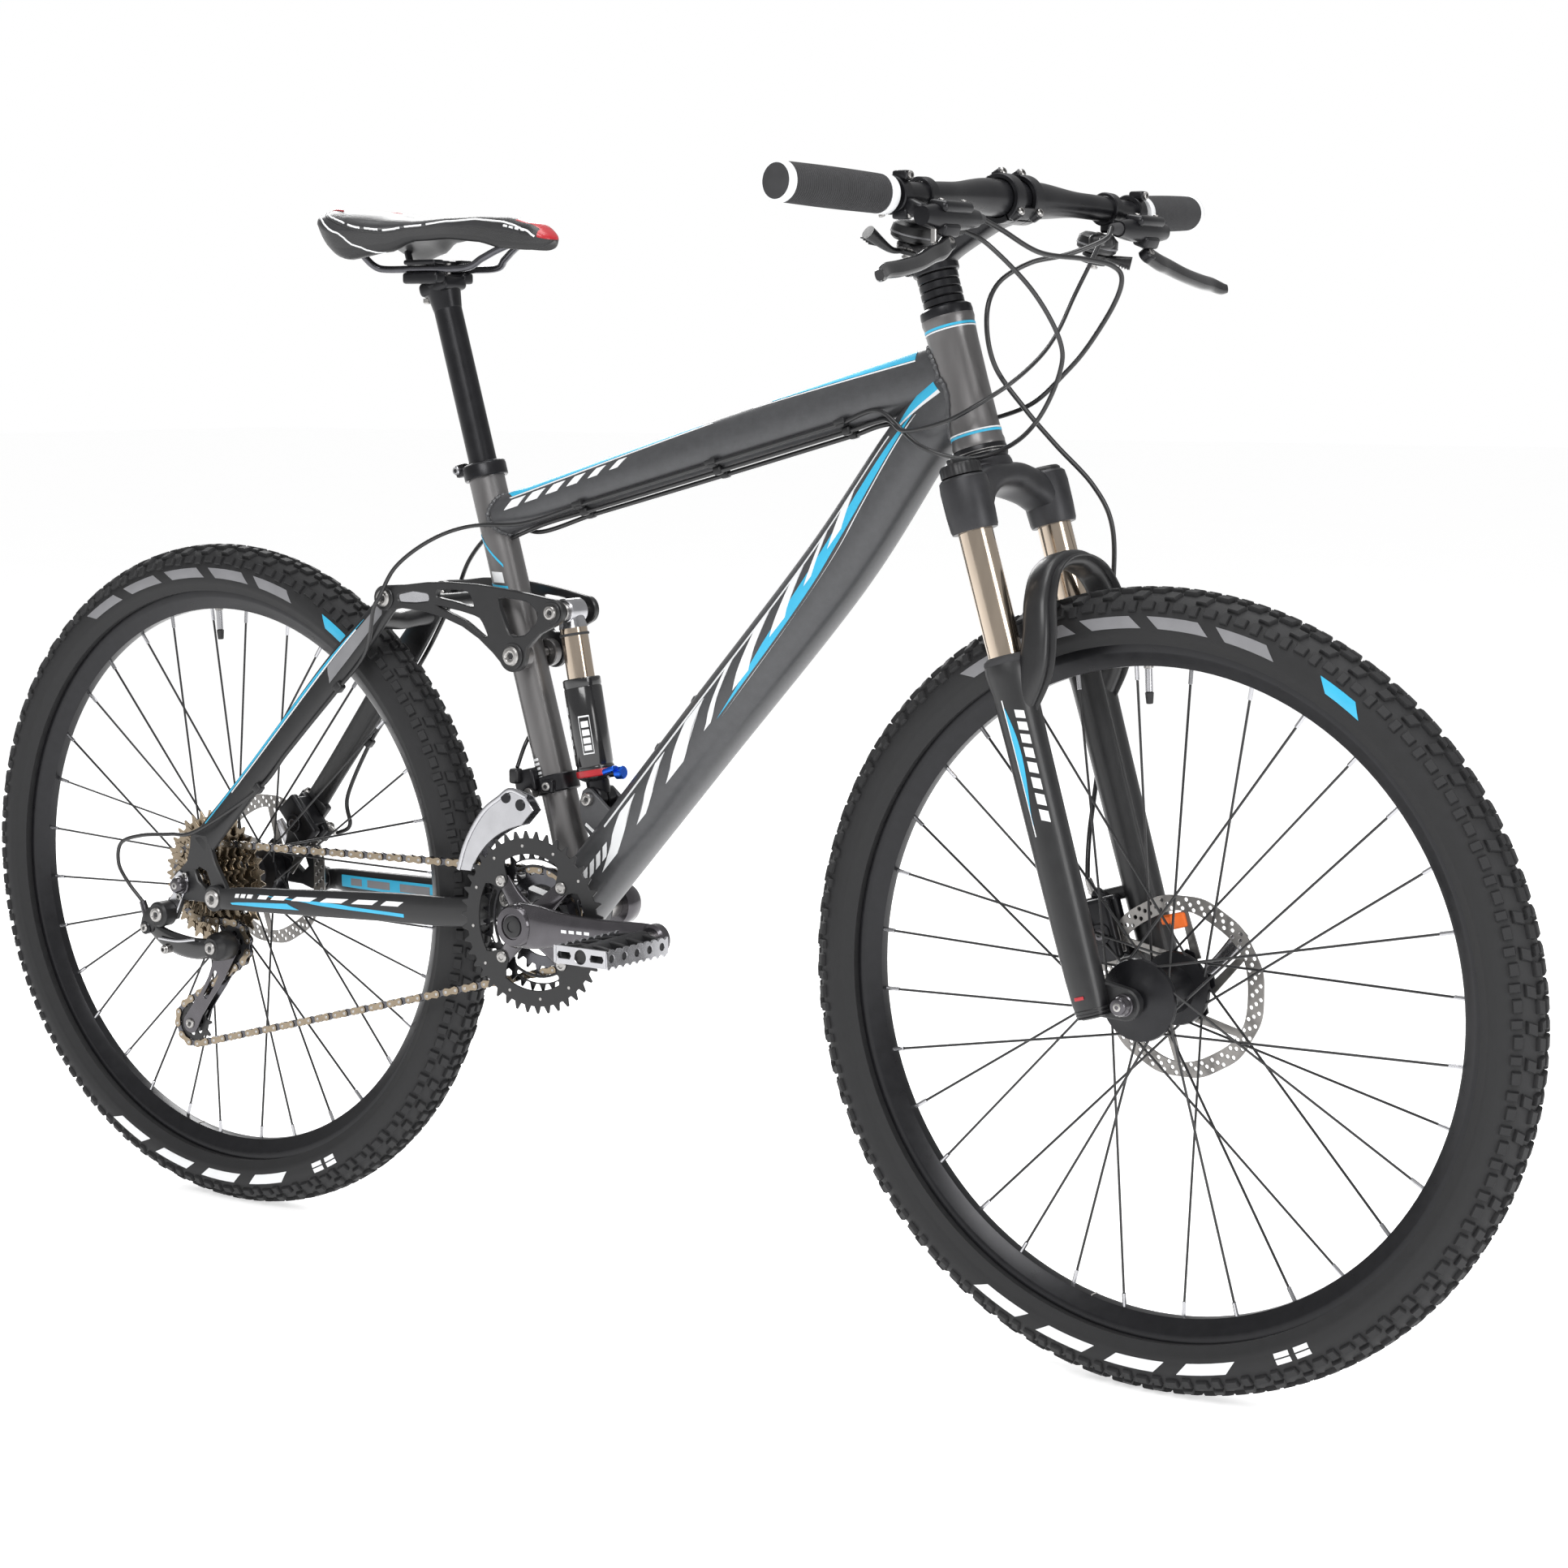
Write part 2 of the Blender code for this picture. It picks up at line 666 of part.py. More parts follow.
def fork_knob():
    """The damper's turning knob, on the right leg."""
    foot = steer(SOCKET_TOP - GAP, LEG_AHEAD, -LEG_SPREAD)
    top = steer(SOCKET_TOP - 0.0120, LEG_AHEAD, -LEG_SPREAD)
    knob = rod(foot, top, 0.0180, 20)
    return join(knob, block(top + Vector((0, 0, 0.004)), (0.024, 0.006, 0.010)))


def arch():
    """The brace that joins the lower legs in front of the tyre."""
    half = [(0.065, 0.2170, 0.0220), (0.065, 0.1880, 0.0480), (0.0600, 0.1540, 0.0530),
            (0.0450, 0.1290, 0.0545), (0.0200, 0.1180, 0.0545)]
    points = [steer(along, ahead, side) for side, along, ahead in half]
    points += [steer(along, ahead, -side) for side, along, ahead in half[::-1]]
    return tube(points, 0.0085)


def lower_leg(side):
    y = side * LEG_SPREAD
    leg = rod(steer(LOWERS_TOP, LEG_AHEAD, y), steer(LOWERS_FOOT, LEG_AHEAD, y), LOWER_LEG_RADIUS, 20)
    foot = steer(0.480, LEG_AHEAD, 0.0)
    outline = belt([(foot.x, foot.z, 0.015), (*FRONT_AXLE, 0.0135)])
    low, high = sorted((side * (FRONT_DROPOUT + GAP), side * 0.0600))
    return leg, plate([outline], low, high)


def fork_lowers():
    parts = [arch()]
    for side in (-1, 1):
        parts += lower_leg(side)
    tab = steer(0.4300, -0.0060, 0.0)
    parts.append(block((tab.x, 0.0620, tab.z), (0.0300, 0.0105, 0.0500), Matrix.Rotation(-0.29, 4, "Y")))
    body = join(*parts)
    bores = [rod(steer(LOWERS_TOP - 0.02, LEG_AHEAD, y), steer(0.4600, LEG_AHEAD, y),
                 STANCHION_RADIUS + GAP, 20) for y in (-LEG_SPREAD, LEG_SPREAD)]
    return cut(body, *bores, cross_rod(FRONT_AXLE, -0.2, 0.2, 0.0053))


def quick_release(centre, outside, lean):
    """A skewer with its nut on the right and its lever on the left, leaning forwards or back."""
    shaft = cross_rod(centre, -outside - 0.004, outside + 0.004, 0.0050, 12)
    nut = cross_rod(centre, -outside - 0.0120, -outside, 0.0078, 12)
    hub = cross_rod(centre, outside, outside + 0.0140, 0.0082, 12)
    y = outside + 0.0100
    lever = tube([(centre[0], y, centre[1]), (centre[0] + lean * 0.020, y + 0.008, centre[1] + 0.022),
                  (centre[0] + lean * 0.040, y + 0.006, centre[1] + 0.044)], 0.0042)
    return join(shaft, nut, hub, lever)


def front_axle():
    return quick_release(FRONT_AXLE, 0.0603, 1.0)


def front_caliper():
    centre = steer(0.4300, -0.0170, 0.0420)
    body = block(centre, (0.0330, 0.0270, 0.0560), Matrix.Rotation(-0.29, 4, "Y"))
    slot = ring(FRONT_AXLE, FRONT_ROTOR_Y - 0.0017, FRONT_ROTOR_Y + 0.0017, 0.030, ROTOR_RADIUS + 0.002)
    return cut(body, slot)


def headset_spacers():
    return collar(steer(-HEAD_LENGTH - 0.0100), steer(STEM_FOOT + GAP), 0.0147, 0.0178)


def stem_axis():
    clamp = steer((STEM_FOOT + STEM_TOP) / 2)
    return clamp, (at(BAR_CENTRE) - clamp).normalized()


def half_space(ahead):
    """A block whose middle is a distance ahead of the handlebar's centre, along the stem."""
    run = stem_axis()[1]
    return block(at(BAR_CENTRE) + run * ahead, (0.08, 0.08, 0.060), toward(run, (0, 0, 0)))


def stem():
    clamp, run = stem_axis()
    column = collar(steer(STEM_FOOT), steer(STEM_TOP), STEERER_RADIUS + GAP, STEM_RADIUS)
    arm = rod(clamp + run * 0.017, at(BAR_CENTRE) - run * 0.012, 0.0165, 20)
    clasp = cross_rod(BAR_CENTRE, -0.0220, 0.0220, 0.0215, 20)
    clasp = cut(clasp, half_space(0.0300))
    body = join(column, arm, clasp)
    return cut(body, cross_rod(BAR_CENTRE, -0.03, 0.03, BAR_CLAMP_RADIUS + GAP, 20),
               rod(steer(STEM_FOOT + 0.01), steer(STEM_TOP - 0.01), STEERER_RADIUS + GAP, 24))


def stem_faceplate():
    clasp = cross_rod(BAR_CENTRE, -0.0220, 0.0220, 0.0215, 20)
    return cut(clasp, half_space(-0.0285), cross_rod(BAR_CENTRE, -0.03, 0.03, BAR_CLAMP_RADIUS + GAP, 20))


BAR_BENDS = ((0.030, 0.4890, 1.0150), (0.055, 0.4900, 1.0150), (0.120, 0.4960, 1.0130),
             (0.200, 0.4965, 1.0100), (0.330, 0.4810, 1.0155))


def bar_point(y):
    """A point on the handlebar's axis, at a sideways position."""
    reach = abs(y)
    before = BAR_BENDS[0]
    for after in BAR_BENDS[1:]:
        if reach <= after[0] or after is BAR_BENDS[-1]:
            share = (reach - before[0]) / (after[0] - before[0])
            x = before[1] + (after[1] - before[1]) * share
            z = before[2] + (after[2] - before[2]) * share
            return Vector((x, y, z))
        before = after


def handlebar():
    half = [Vector((x, y, z)) for y, x, z in BAR_BENDS]
    points = [Vector((p.x, -p.y, p.z)) for p in half[::-1]] + half
    centre = BAR_CLAMP_RADIUS / BAR_RADIUS
    radii = [1.0] * (len(half) - 1) + [centre, centre] + [1.0] * (len(half) - 1)
    return tube(points, BAR_RADIUS, 12, radii)


def grip(side):
    """A rubber sleeve, closed at its outer end."""
    start = bar_point(side * GRIP_INNER)
    end = bar_point(side * (BAR_HALF_WIDTH + 0.003))
    length = (end - start).length
    bore = BAR_RADIUS + GAP
    profile = [(0.0, length), (GRIP_RADIUS, length), (GRIP_RADIUS, 0.0), (bore, 0.0),
               (bore, length - 0.0027), (0.0, length - 0.0027)]
    return turned(profile, toward(end - start, start), 12, closed=False)


LEVER_PIVOT = (0.5300, 0.9720)
LEVER_PIVOT_Y = 0.1650
LEVER_AXIS = Vector((0.815, 0.0, 0.579))
POD_CENTRE = (0.4880, 0.9820)
POD_Y = 0.1500
POD_AXIS = Vector((0.259, 0.0, 0.966))


def brake_master(side):
    """The clamp, cylinder and lever bracket of a hydraulic brake."""
    clasp = collar(bar_point(side * 0.1860), bar_point(side * 0.1980), BAR_RADIUS + GAP, 0.0162, 12)
    link = block((0.5160, side * 0.1900, 0.9990), (0.0220, 0.0100, 0.0140), Matrix.Rotation(0.4, 4, "Y"))
    cylinder = rod((0.5270, side * 0.1180, 0.9930), (0.5270, side * 0.1980, 0.9930), 0.0100, 12)
    bracket = block((0.5290, side * LEVER_PIVOT_Y, 0.9855), (0.0150, 0.0240, 0.0090))
    body = join(clasp, link, cylinder, bracket)
    return cut(body, rod(bar_point(side * 0.180), bar_point(side * 0.200), BAR_RADIUS + GAP, 12))


def brake_lever(side):
    """The lever blade, hooked at its end, on a short pivot boss."""
    pivot = Vector((LEVER_PIVOT[0], side * LEVER_PIVOT_Y, LEVER_PIVOT[1]))
    boss_rod = rod(pivot - LEVER_AXIS * 0.0042, pivot + LEVER_AXIS * 0.0042, 0.0065, 12)
    blade = tube([pivot, (0.5340, side * 0.1900, 0.9630), (0.5390, side * 0.2300, 0.9520),
                  (0.5390, side * 0.2650, 0.9480), (0.5420, side * 0.2820, 0.9430)], 0.0042)
    return join(boss_rod, blade)


def shifter(side):
    """The shifter's clamp and pod, under the bar."""
    clasp = collar(bar_point(side * 0.1450), bar_point(side * 0.1560), BAR_RADIUS + GAP, 0.0150, 12)
    pod_centre = Vector((POD_CENTRE[0], side * POD_Y, POD_CENTRE[1]))
    pod = rod(pod_centre - POD_AXIS * 0.0070, pod_centre + POD_AXIS * 0.0090, 0.0185, 12)
    link = block((0.4920, side * 0.1505, 0.9960), (0.0150, 0.0100, 0.0120))
    axle = rod(pod_centre - POD_AXIS * 0.0200, pod_centre, 0.0040, 10)
    body = join(clasp, pod, link, axle)
    return cut(body, rod(bar_point(side * 0.130), bar_point(side * 0.170), BAR_RADIUS + GAP, 12))


def shift_lever(side, level, reach, thickness, angle):
    """A thumb lever that turns on the pod's axle."""
    centre = Vector((POD_CENTRE[0], side * POD_Y, POD_CENTRE[1])) + POD_AXIS * level
    turn = toward(POD_AXIS, centre)
    hub = turned([(0.0110, thickness / 2), (0.0110, -thickness / 2), (0.0043, -thickness / 2),
                  (0.0043, thickness / 2)], turn, 10)
    direction = Vector((math.cos(angle), side * math.sin(angle), 0.0))
    direction = (direction - POD_AXIS * direction.dot(POD_AXIS)).normalized()
    blade = rod(centre + direction * 0.0080, centre + direction * reach, thickness * 0.6, 6)
    pad = rod(centre + direction * (reach - 0.002), centre + direction * (reach + 0.010), 0.0050, 8)
    return join(hub, blade, pad)


# --- wheels --------------------------------------------------------------------------------

def tyre(centre):
    """The casing: an outside and an inside arc, open towards the rim."""
    middle = TYRE_OUTER - TYRE_HALF_WIDTH
    mouth = math.radians(218)
    profile = []
    for i in range(9):
        angle = -mouth / 2 + mouth * i / 8
        profile.append((middle + TYRE_HALF_WIDTH * math.cos(angle), TYRE_HALF_WIDTH * math.sin(angle)))
    bead = RIM_OUTER + GAP
    profile += [(bead, RIM_HALF_WIDTH), (bead, RIM_HALF_WIDTH - 0.0035)]
    inner = TYRE_HALF_WIDTH - 0.0035
    for i in range(5):
        angle = mouth / 2 - mouth * i / 4
        profile.append((middle + inner * math.cos(angle), inner * math.sin(angle)))
    profile += [(bead, -RIM_HALF_WIDTH + 0.0035), (bead, -RIM_HALF_WIDTH)]
    return turned(profile, toward((0, 1, 0), at(centre)), WHEEL_STEPS)


def rim(centre):
    """A box section that narrows towards the hub."""
    w = RIM_HALF_WIDTH
    profile = [(RIM_OUTER, w), (RIM_OUTER - 0.008, w), (RIM_INNER, w * 0.4),
               (RIM_INNER, -w * 0.4), (RIM_OUTER - 0.008, -w), (RIM_OUTER, -w)]
    return turned(profile, toward((0, 1, 0), at(centre)), WHEEL_STEPS)


def spokes(centre, flanges, count):
    """Crossed wire spokes from two flanges, each (y, radius), to the rim."""
    bm = bmesh.new()
    spread = math.radians(52)
    reach = RIM_INNER * math.cos(math.pi / WHEEL_STEPS) - 0.0012
    for i in range(count):
        flange_y, flange_radius = flanges[i % 2]
        lead = 1 if (i // 2) % 2 == 0 else -1
        at_rim = math.tau * (i + 0.5) / count
        at_hub = at_rim + lead * spread
        offset = 0.0012 * lead * (1 if flange_y > 0 else -1)
        start = Vector((centre[0] + (flange_radius - 0.003) * math.cos(at_hub), flange_y + offset,
                        centre[1] + (flange_radius - 0.003) * math.sin(at_hub)))
        end = Vector((centre[0] + reach * math.cos(at_rim), math.copysign(0.0030, flange_y),
                      centre[1] + reach * math.sin(at_rim)))
        span = end - start
        bmesh.ops.create_cone(bm, cap_ends=True, segments=3, radius1=0.0011, radius2=0.0011,
                              depth=span.length, matrix=toward(span, (start + end) / 2))
    return object_from_bmesh(bm)


def front_hub_and_spokes():
    end = FRONT_DROPOUT - GAP
    profile = [(0.0090, end), (0.0110, 0.0425), (0.0215, 0.0425), (0.0215, 0.0388), (0.0245, 0.0388),
               (0.0245, 0.0330), (0.0300, 0.0315), (0.0300, 0.0275), (0.0190, 0.0230), (0.0185, -0.0260),
               (0.0330, -0.0325), (0.0330, -0.0365), (0.0190, -0.0400), (0.0090, -0.0440), (0.0090, -end),
               (0.0053, -end), (0.0053, end)]
    hub = turned(profile, toward((0, 1, 0), at(FRONT_AXLE)), 16)
    return join(hub, spokes(FRONT_AXLE, ((0.0295, 0.0300), (-0.0345, 0.0330)), SPOKES))


def rear_hub_and_spokes():
    end = REAR_DROPOUT - GAP
    profile = [(0.0090, end), (0.0110, 0.0555), (0.0215, 0.0555), (0.0215, 0.0509), (0.0245, 0.0509),
               (0.0245, 0.0380), (0.0270, 0.0350), (0.0270, 0.0315), (0.0180, 0.0270), (0.0165, -0.0120),
               (0.0260, -0.0180), (0.0260, -0.0215), (0.0200, -0.0240), (0.0160, -0.0255), (0.0160, -0.0640),
               (0.0090, -0.0645), (0.0090, -end), (0.0053, -end), (0.0053, end)]
    hub = turned(profile, toward((0, 1, 0), at(REAR_AXLE)), 16)
    return join(hub, spokes(REAR_AXLE, ((0.0332, 0.0270), (-0.0198, 0.0260)), SPOKES))


def rotor(centre, y):
    return ring(centre, y - 0.0009, y + 0.0009, 0.0218, ROTOR_RADIUS, 24)


def cassette():
    """Nine sprockets as one stepped body; the engaged one stays inside the chain."""
    faces = [COG_FIRST_Y + COG_STEP * i - 0.0009 for i in range(len(COG_TEETH))] + [-0.0268]
    profile = []
    for i, teeth in enumerate(COG_TEETH):
        radius = pitch_radius(teeth)
        if teeth == CHAIN_COG:
            radius -= CHAIN_HALF_DEPTH + ROOT_GAP
        profile += [(radius, faces[i]), (radius, faces[i + 1])]
    profile += [(0.0165, faces[-1]), (0.0165, faces[0])]
    return turned(profile, toward((0, 1, 0), at(REAR_AXLE)), 16)


# --- rear suspension -----------------------------------------------------------------------

STAY_PATH = ((MAIN_PIVOT, 0.0350), ((-0.0950, 0.3480), 0.0385), ((-0.1900, 0.3450), 0.0500),
             ((-0.3660, 0.3392), 0.0750), ((-0.3830, 0.3380), 0.0792), ((-0.3960, 0.3373), 0.0792))
STAY_SIZES = ((0.0088, 0.0240), (0.0115, 0.0280), (0.0135, 0.0280), (0.0100, 0.0240), (0.0078, 0.0220),
              (0.0078, 0.0200))


def chainstay():
    """Both chainstays with their yoke and the main pivot's axle."""
    parts = []
    for side in (-1, 1):
        low, high = sorted((side * 0.0305, side * 0.0395))
        parts.append(cross_rod(MAIN_PIVOT, low, high, 0.0135, 20))
        parts.append(swept_oval([at(point, side * y) for point, y in STAY_PATH], STAY_SIZES, 14))
        low, high = sorted((side * 0.0750, side * 0.0830))
        parts.append(cross_rod(HORST_PIVOT, low, high, 0.0130, 20))
    yoke = block(at((-0.0840, 0.3500)), (0.0300, 0.0720, 0.0240))
    axle = cross_rod(MAIN_PIVOT, -0.0350, 0.0350, PIVOT_PIN_RADIUS, 12)
    return join(yoke, axle, *parts)


SEATSTAY_FOOT = (-0.4260, 0.3890)
SEATSTAY_FOOT_Y = 0.0710
SEATSTAY_HEAD_Y = 0.0374


def dropout(side):
    """The flat end that carries the axle and, on the right, the derailleur's hanger."""
    if side < 0:
        wheels = [(-0.4300, 0.3950, 0.0130), (*HORST_PIVOT, 0.0125), (*HANGER_BOLT, 0.0095),
                  (*REAR_AXLE, 0.0160)]
    else:
        wheels = [(-0.4300, 0.3950, 0.0130), (*HORST_PIVOT, 0.0125), (*REAR_AXLE, 0.0150)]
    low, high = sorted((side * (REAR_DROPOUT + GAP), side * 0.0745))
    return plate([belt(wheels)], low, high)


def seatstay():
    """Both seatstays with their bridge and dropouts."""
    parts = []
    for side in (-1, 1):
        foot = at(SEATSTAY_FOOT, side * SEATSTAY_FOOT_Y)
        head = at(ROCKER_REAR, side * SEATSTAY_HEAD_Y)
        head += (foot - head).normalized() * 0.004
        parts.append(oval_tube(foot, head, (0.0080, 0.0300), (0.0080, 0.0240), 14))
        low, high = sorted((side * 0.0335, side * 0.0416))
        parts.append(cross_rod(ROCKER_REAR, low, high, 0.0120, 20))
        parts.append(dropout(side))
    parts.append(cross_rod(between(ROCKER_REAR, SEATSTAY_FOOT, 0.085), -0.0420, 0.0420, 0.0090, 14))
    parts.append(block((-0.3970, 0.0640, 0.4125), (0.0300, 0.0064, 0.0340), Matrix.Rotation(-0.84, 4, "Y")))
    body = join(*parts)
    return cut(body, cross_rod(REAR_AXLE, -0.2, 0.2, 0.0053), cross_rod(ROCKER_REAR, -0.2, 0.2, 0.0066))


def rear_caliper():
    """The caliper over the top front of the rear rotor, on the left seatstay's post."""
    centre = (REAR_AXLE[0] + 0.0500, 0.0490, REAR_AXLE[1] + 0.0560)
    body = block(centre, (0.0520, 0.0225, 0.0260), Matrix.Rotation(0.84, 4, "Y"))
    slot = ring(REAR_AXLE, REAR_ROTOR_Y - 0.0017, REAR_ROTOR_Y + 0.0017, 0.030, ROTOR_RADIUS + 0.002)
    return cut(body, slot)


def rear_axle():
    return quick_release(REAR_AXLE, 0.0748, -0.6)


ROCKER_HALF_THICKNESS = 0.0030
ROCKER_FRONT_Y = 0.0260
ROCKER_REAR_Y = 0.0468


def rocker_side(side):
    """One plate of the rocker with its window, leaning outwards to the back."""
    outline = belt([(*ROCKER_REAR, 0.0120), (-0.1180, 0.6600, 0.0060), (*SHOCK_EYE, 0.0125),
                    (*ROCKER_PIVOT, 0.0150)])
    window = belt([(-0.1480, 0.6430, 0.0050), (-0.1060, 0.6470, 0.0080), (-0.1010, 0.6310, 0.0050)])
    half = ROCKER_HALF_THICKNESS
    body = plate([outline, window], -half, half)
    for vert in body.data.vertices:
        share = (SHOCK_EYE[0] - vert.co.x) / (SHOCK_EYE[0] - ROCKER_REAR[0])
        vert.co.y += side * (ROCKER_FRONT_Y + (ROCKER_REAR_Y - ROCKER_FRONT_Y) * share)
    return body


def rocker_link():
    """Two plates joined by a bridge and the pins of three pivots."""
    bridge = cross_rod((-0.1345, 0.6490), -0.0400, 0.0400, 0.0070, 14)
    parts = [rocker_side(-1), rocker_side(1), bridge]
    parts.append(cross_rod(ROCKER_PIVOT, -0.0335, 0.0335, PIVOT_PIN_RADIUS, 12))
    parts.append(cross_rod(SHOCK_EYE, -0.0275, 0.0275, 0.0040, 12))
    for side in (-1, 1):
        low, high = sorted((side * 0.0325, side * 0.0480))
        parts.append(cross_rod(ROCKER_REAR, low, high, 0.0045, 12))
    return join(*parts)


def shock_axis():
    return (at(SHOCK_EYE) - at(SHOCK_FOOT)).normalized()


def shock_body():
    """The shock's air can on its lower eye, with the mounting bolt."""
    axis = shock_axis()
    foot = at(SHOCK_FOOT)
    eye = cross_rod(SHOCK_FOOT, -0.0120, 0.0120, 0.0110, 20)
    bolt = cross_rod(SHOCK_FOOT, -0.0220, 0.0220, 0.0040, 12)
    neck = rod(foot + axis * 0.0040, foot + axis * 0.0180, 0.0115, 16)
    can = rod(foot + axis * 0.0150, foot + axis * 0.1150, 0.0182, 20)
    dial = foot + axis * 0.026
    knob = rod(dial + Vector((0.016, 0, 0.002)), dial + Vector((0.034, 0, 0.002)),
               0.0062, 12)
    body = join(can, neck, eye, bolt, knob)
    return cut(body, rod(foot + axis * 0.0240, foot + axis * 0.130, 0.0113, 20))


def shock_shaft():
    axis = shock_axis()
    top = at(SHOCK_EYE)
    shaft = rod(top - axis * 0.1240, top - axis * 0.0060, 0.0110, 20)
    eye = cross_rod(SHOCK_EYE, -0.0120, 0.0120, 0.0120, 20)
    body = join(shaft, eye)
    return cut(body, cross_rod(SHOCK_EYE, -0.03, 0.03, 0.0058, 16))


# --- drive train ---------------------------------------------------------------------------

SPIDER_ANGLES = [math.radians(45 + 90 * k) for k in range(4)]
OUTER_BOLTS = 0.0520
INNER_BOLTS = 0.0320


def crank_end(sign):
    reach = sign * CRANK_LENGTH
    return (BB[0] + reach * math.cos(CRANK_ANGLE), BB[1] + reach * math.sin(CRANK_ANGLE))


def bolt_circle(radius):
    return [(BB[0] + radius * math.cos(a), BB[1] + radius * math.sin(a)) for a in SPIDER_ANGLES]


def crank_arm(side):
    """One arm with its boss and the pedal's fixed spindle."""
    end = crank_end(-side)
    hub = cross_rod(BB, *sorted((side * CRANK_INNER, side * CRANK_OUTER)), 0.0200, 20)
    arm = oval_tube(at(BB, side * 0.0765), at(end, side * 0.0810), (0.0170, 0.0330), (0.0130, 0.0260), 12)
    tip = cross_rod(end, *sorted((side * 0.0740, side * CRANK_OUTER)), 0.0145, 16)
    spindle = cross_rod(end, *sorted((side * 0.0800, side * 0.1840)), 0.0052, 12)
    return join(hub, arm, tip, spindle)


def crank_right():
    """The drive-side arm with its four-armed spider and ring bolts."""
    body = crank_arm(-1)
    body = join(body, cross_rod(BB, -0.0700, -0.0450, 0.0195, 20))
    for tip in bolt_circle(OUTER_BOLTS):
        body = join(body, plate([belt([(*BB, 0.0140), (*tip, 0.0076)])], -0.0567, -0.0513))
        body = join(body, cross_rod(tip, -0.0604, -0.0486, 0.0048, 8))
    for tip in bolt_circle(INNER_BOLTS):
        body = join(body, cross_rod(tip, -0.0540, -0.0434, 0.0056, 6))
        body = join(body, cross_rod(tip, -0.0440, -0.0411, 0.0040, 8))
    return cut(body, cross_rod(BB, -0.0800, -0.0400, 0.0124, 20))


def crank_left():
    """The left arm with the axle that runs through to the other arm."""
    return join(crank_arm(1), cross_rod(BB, -0.0770, 0.0700, 0.0120, 20))


def chainring(index):
    """A flat ring with its four bolt holes."""
    teeth = RING_TEETH[index]
    y = RING_Y[index]
    outer = pitch_radius(teeth)
    if teeth == CHAIN_RING:
        outer -= CHAIN_HALF_DEPTH + ROOT_GAP
    bolts = INNER_BOLTS if index == 2 else OUTER_BOLTS
    inner = 0.0262 if index == 2 else 0.0455
    hole = 0.0045 if index == 2 else 0.0052
    outlines = [circle(BB, outer, 28), circle(BB, inner, 20)]
    outlines += [circle(tip, hole, 8) for tip in bolt_circle(bolts)]
    return plate(outlines, y - 0.0009, y + 0.0009)


PEDAL_HALF_LENGTH = 0.0285
PEDAL_HEIGHT = 0.0170


def pedal(side):
    """A caged platform on a barrel that turns on the crank's spindle."""
    end = crank_end(-side)
    barrel = cross_rod(end, *sorted((side * PEDAL_INNER, side * (PEDAL_OUTER - 0.001))), 0.0115, 16)
    parts = [barrel]
    middle = side * (PEDAL_INNER + 0.003 + PEDAL_OUTER) / 2
    width = PEDAL_OUTER - PEDAL_INNER - 0.003
    for sign in (-1, 1):
        parts.append(block((end[0] + sign * (PEDAL_HALF_LENGTH - 0.0012), middle, end[1]),
                           (0.0024, width, PEDAL_HEIGHT)))
    parts.append(block((end[0], side * (PEDAL_OUTER - 0.0016), end[1]),
                       (2 * PEDAL_HALF_LENGTH - 0.0012, 0.0024, PEDAL_HEIGHT - 0.0012)))
    for y in (PEDAL_INNER + 0.008, PEDAL_OUTER - 0.030):
        parts.append(block((end[0], side * y, end[1]), (2 * PEDAL_HALF_LENGTH - 0.002, 0.0090, 0.0110)))
    body = join(*parts)
    return cut(body, cross_rod(end, *sorted((side * 0.05, side * 0.1855)), 0.0056, 14))


# --- rear derailleur and chain -------------------------------------------------------------

CAGE_OUTER_Y = (-0.0507, -0.0495)
CAGE_INNER_Y = (-0.0407, -0.0395)


def derailleur_b_knuckle():
    """The knuckle bolted to the hanger, with the mount of the outer link."""
    knuckle = cross_rod(HANGER_BOLT, -0.0960, -0.0749, 0.0130, 20)
    ear_end = at((-0.4930, 0.3080), -0.0870)
    ear = oval_tube(at(HANGER_BOLT, -0.0870), ear_end, (0.016, 0.020), (0.014, 0.014), 12)
    return join(knuckle, ear)


def derailleur_p_knuckle():
    """The lower knuckle with the link that reaches up towards the hanger."""
    knuckle = cross_rod(GUIDE_PULLEY, -0.0790, -0.0510, 0.0145, 20)
    link = oval_tube(at(GUIDE_PULLEY, -0.0720), at((-0.4560, 0.2930), -0.0850), (0.0200, 0.0260),
                     (0.0150, 0.0160), 14)
    return join(knuckle, link)


def derailleur_cage():
    """Two plates joined by the axles of the pulleys."""
    outline = belt([(*GUIDE_PULLEY, 0.0120), (*TENSION_PULLEY, 0.0120)])
    parts = [plate([outline], *CAGE_OUTER_Y), plate([outline], *CAGE_INNER_Y)]
    for point in (GUIDE_PULLEY, TENSION_PULLEY):
        parts.append(cross_rod(point, CAGE_OUTER_Y[0], CAGE_INNER_Y[1], 0.0030, 10))
    return join(*parts)


def pulley(point):
    radius = pitch_radius(PULLEY_TEETH) - CHAIN_HALF_DEPTH - ROOT_GAP
    return ring(point, CHAIN_REAR_Y - 0.0012, CHAIN_REAR_Y + 0.0012, 0.0033, radius, 20)


def chain_line(distance=0.0):
    """The chain's path round ring, tension pulley, guide pulley and sprocket."""
    ring_radius = pitch_radius(CHAIN_RING)
    pulley_radius = pitch_radius(PULLEY_TEETH)
    cog_radius = pitch_radius(CHAIN_COG)
    wheels = [(*BB, ring_radius + distance), (*TENSION_PULLEY, pulley_radius + distance),
              (*GUIDE_PULLEY, -pulley_radius + distance), (*REAR_AXLE, cog_radius + distance)]
    return belt(wheels)


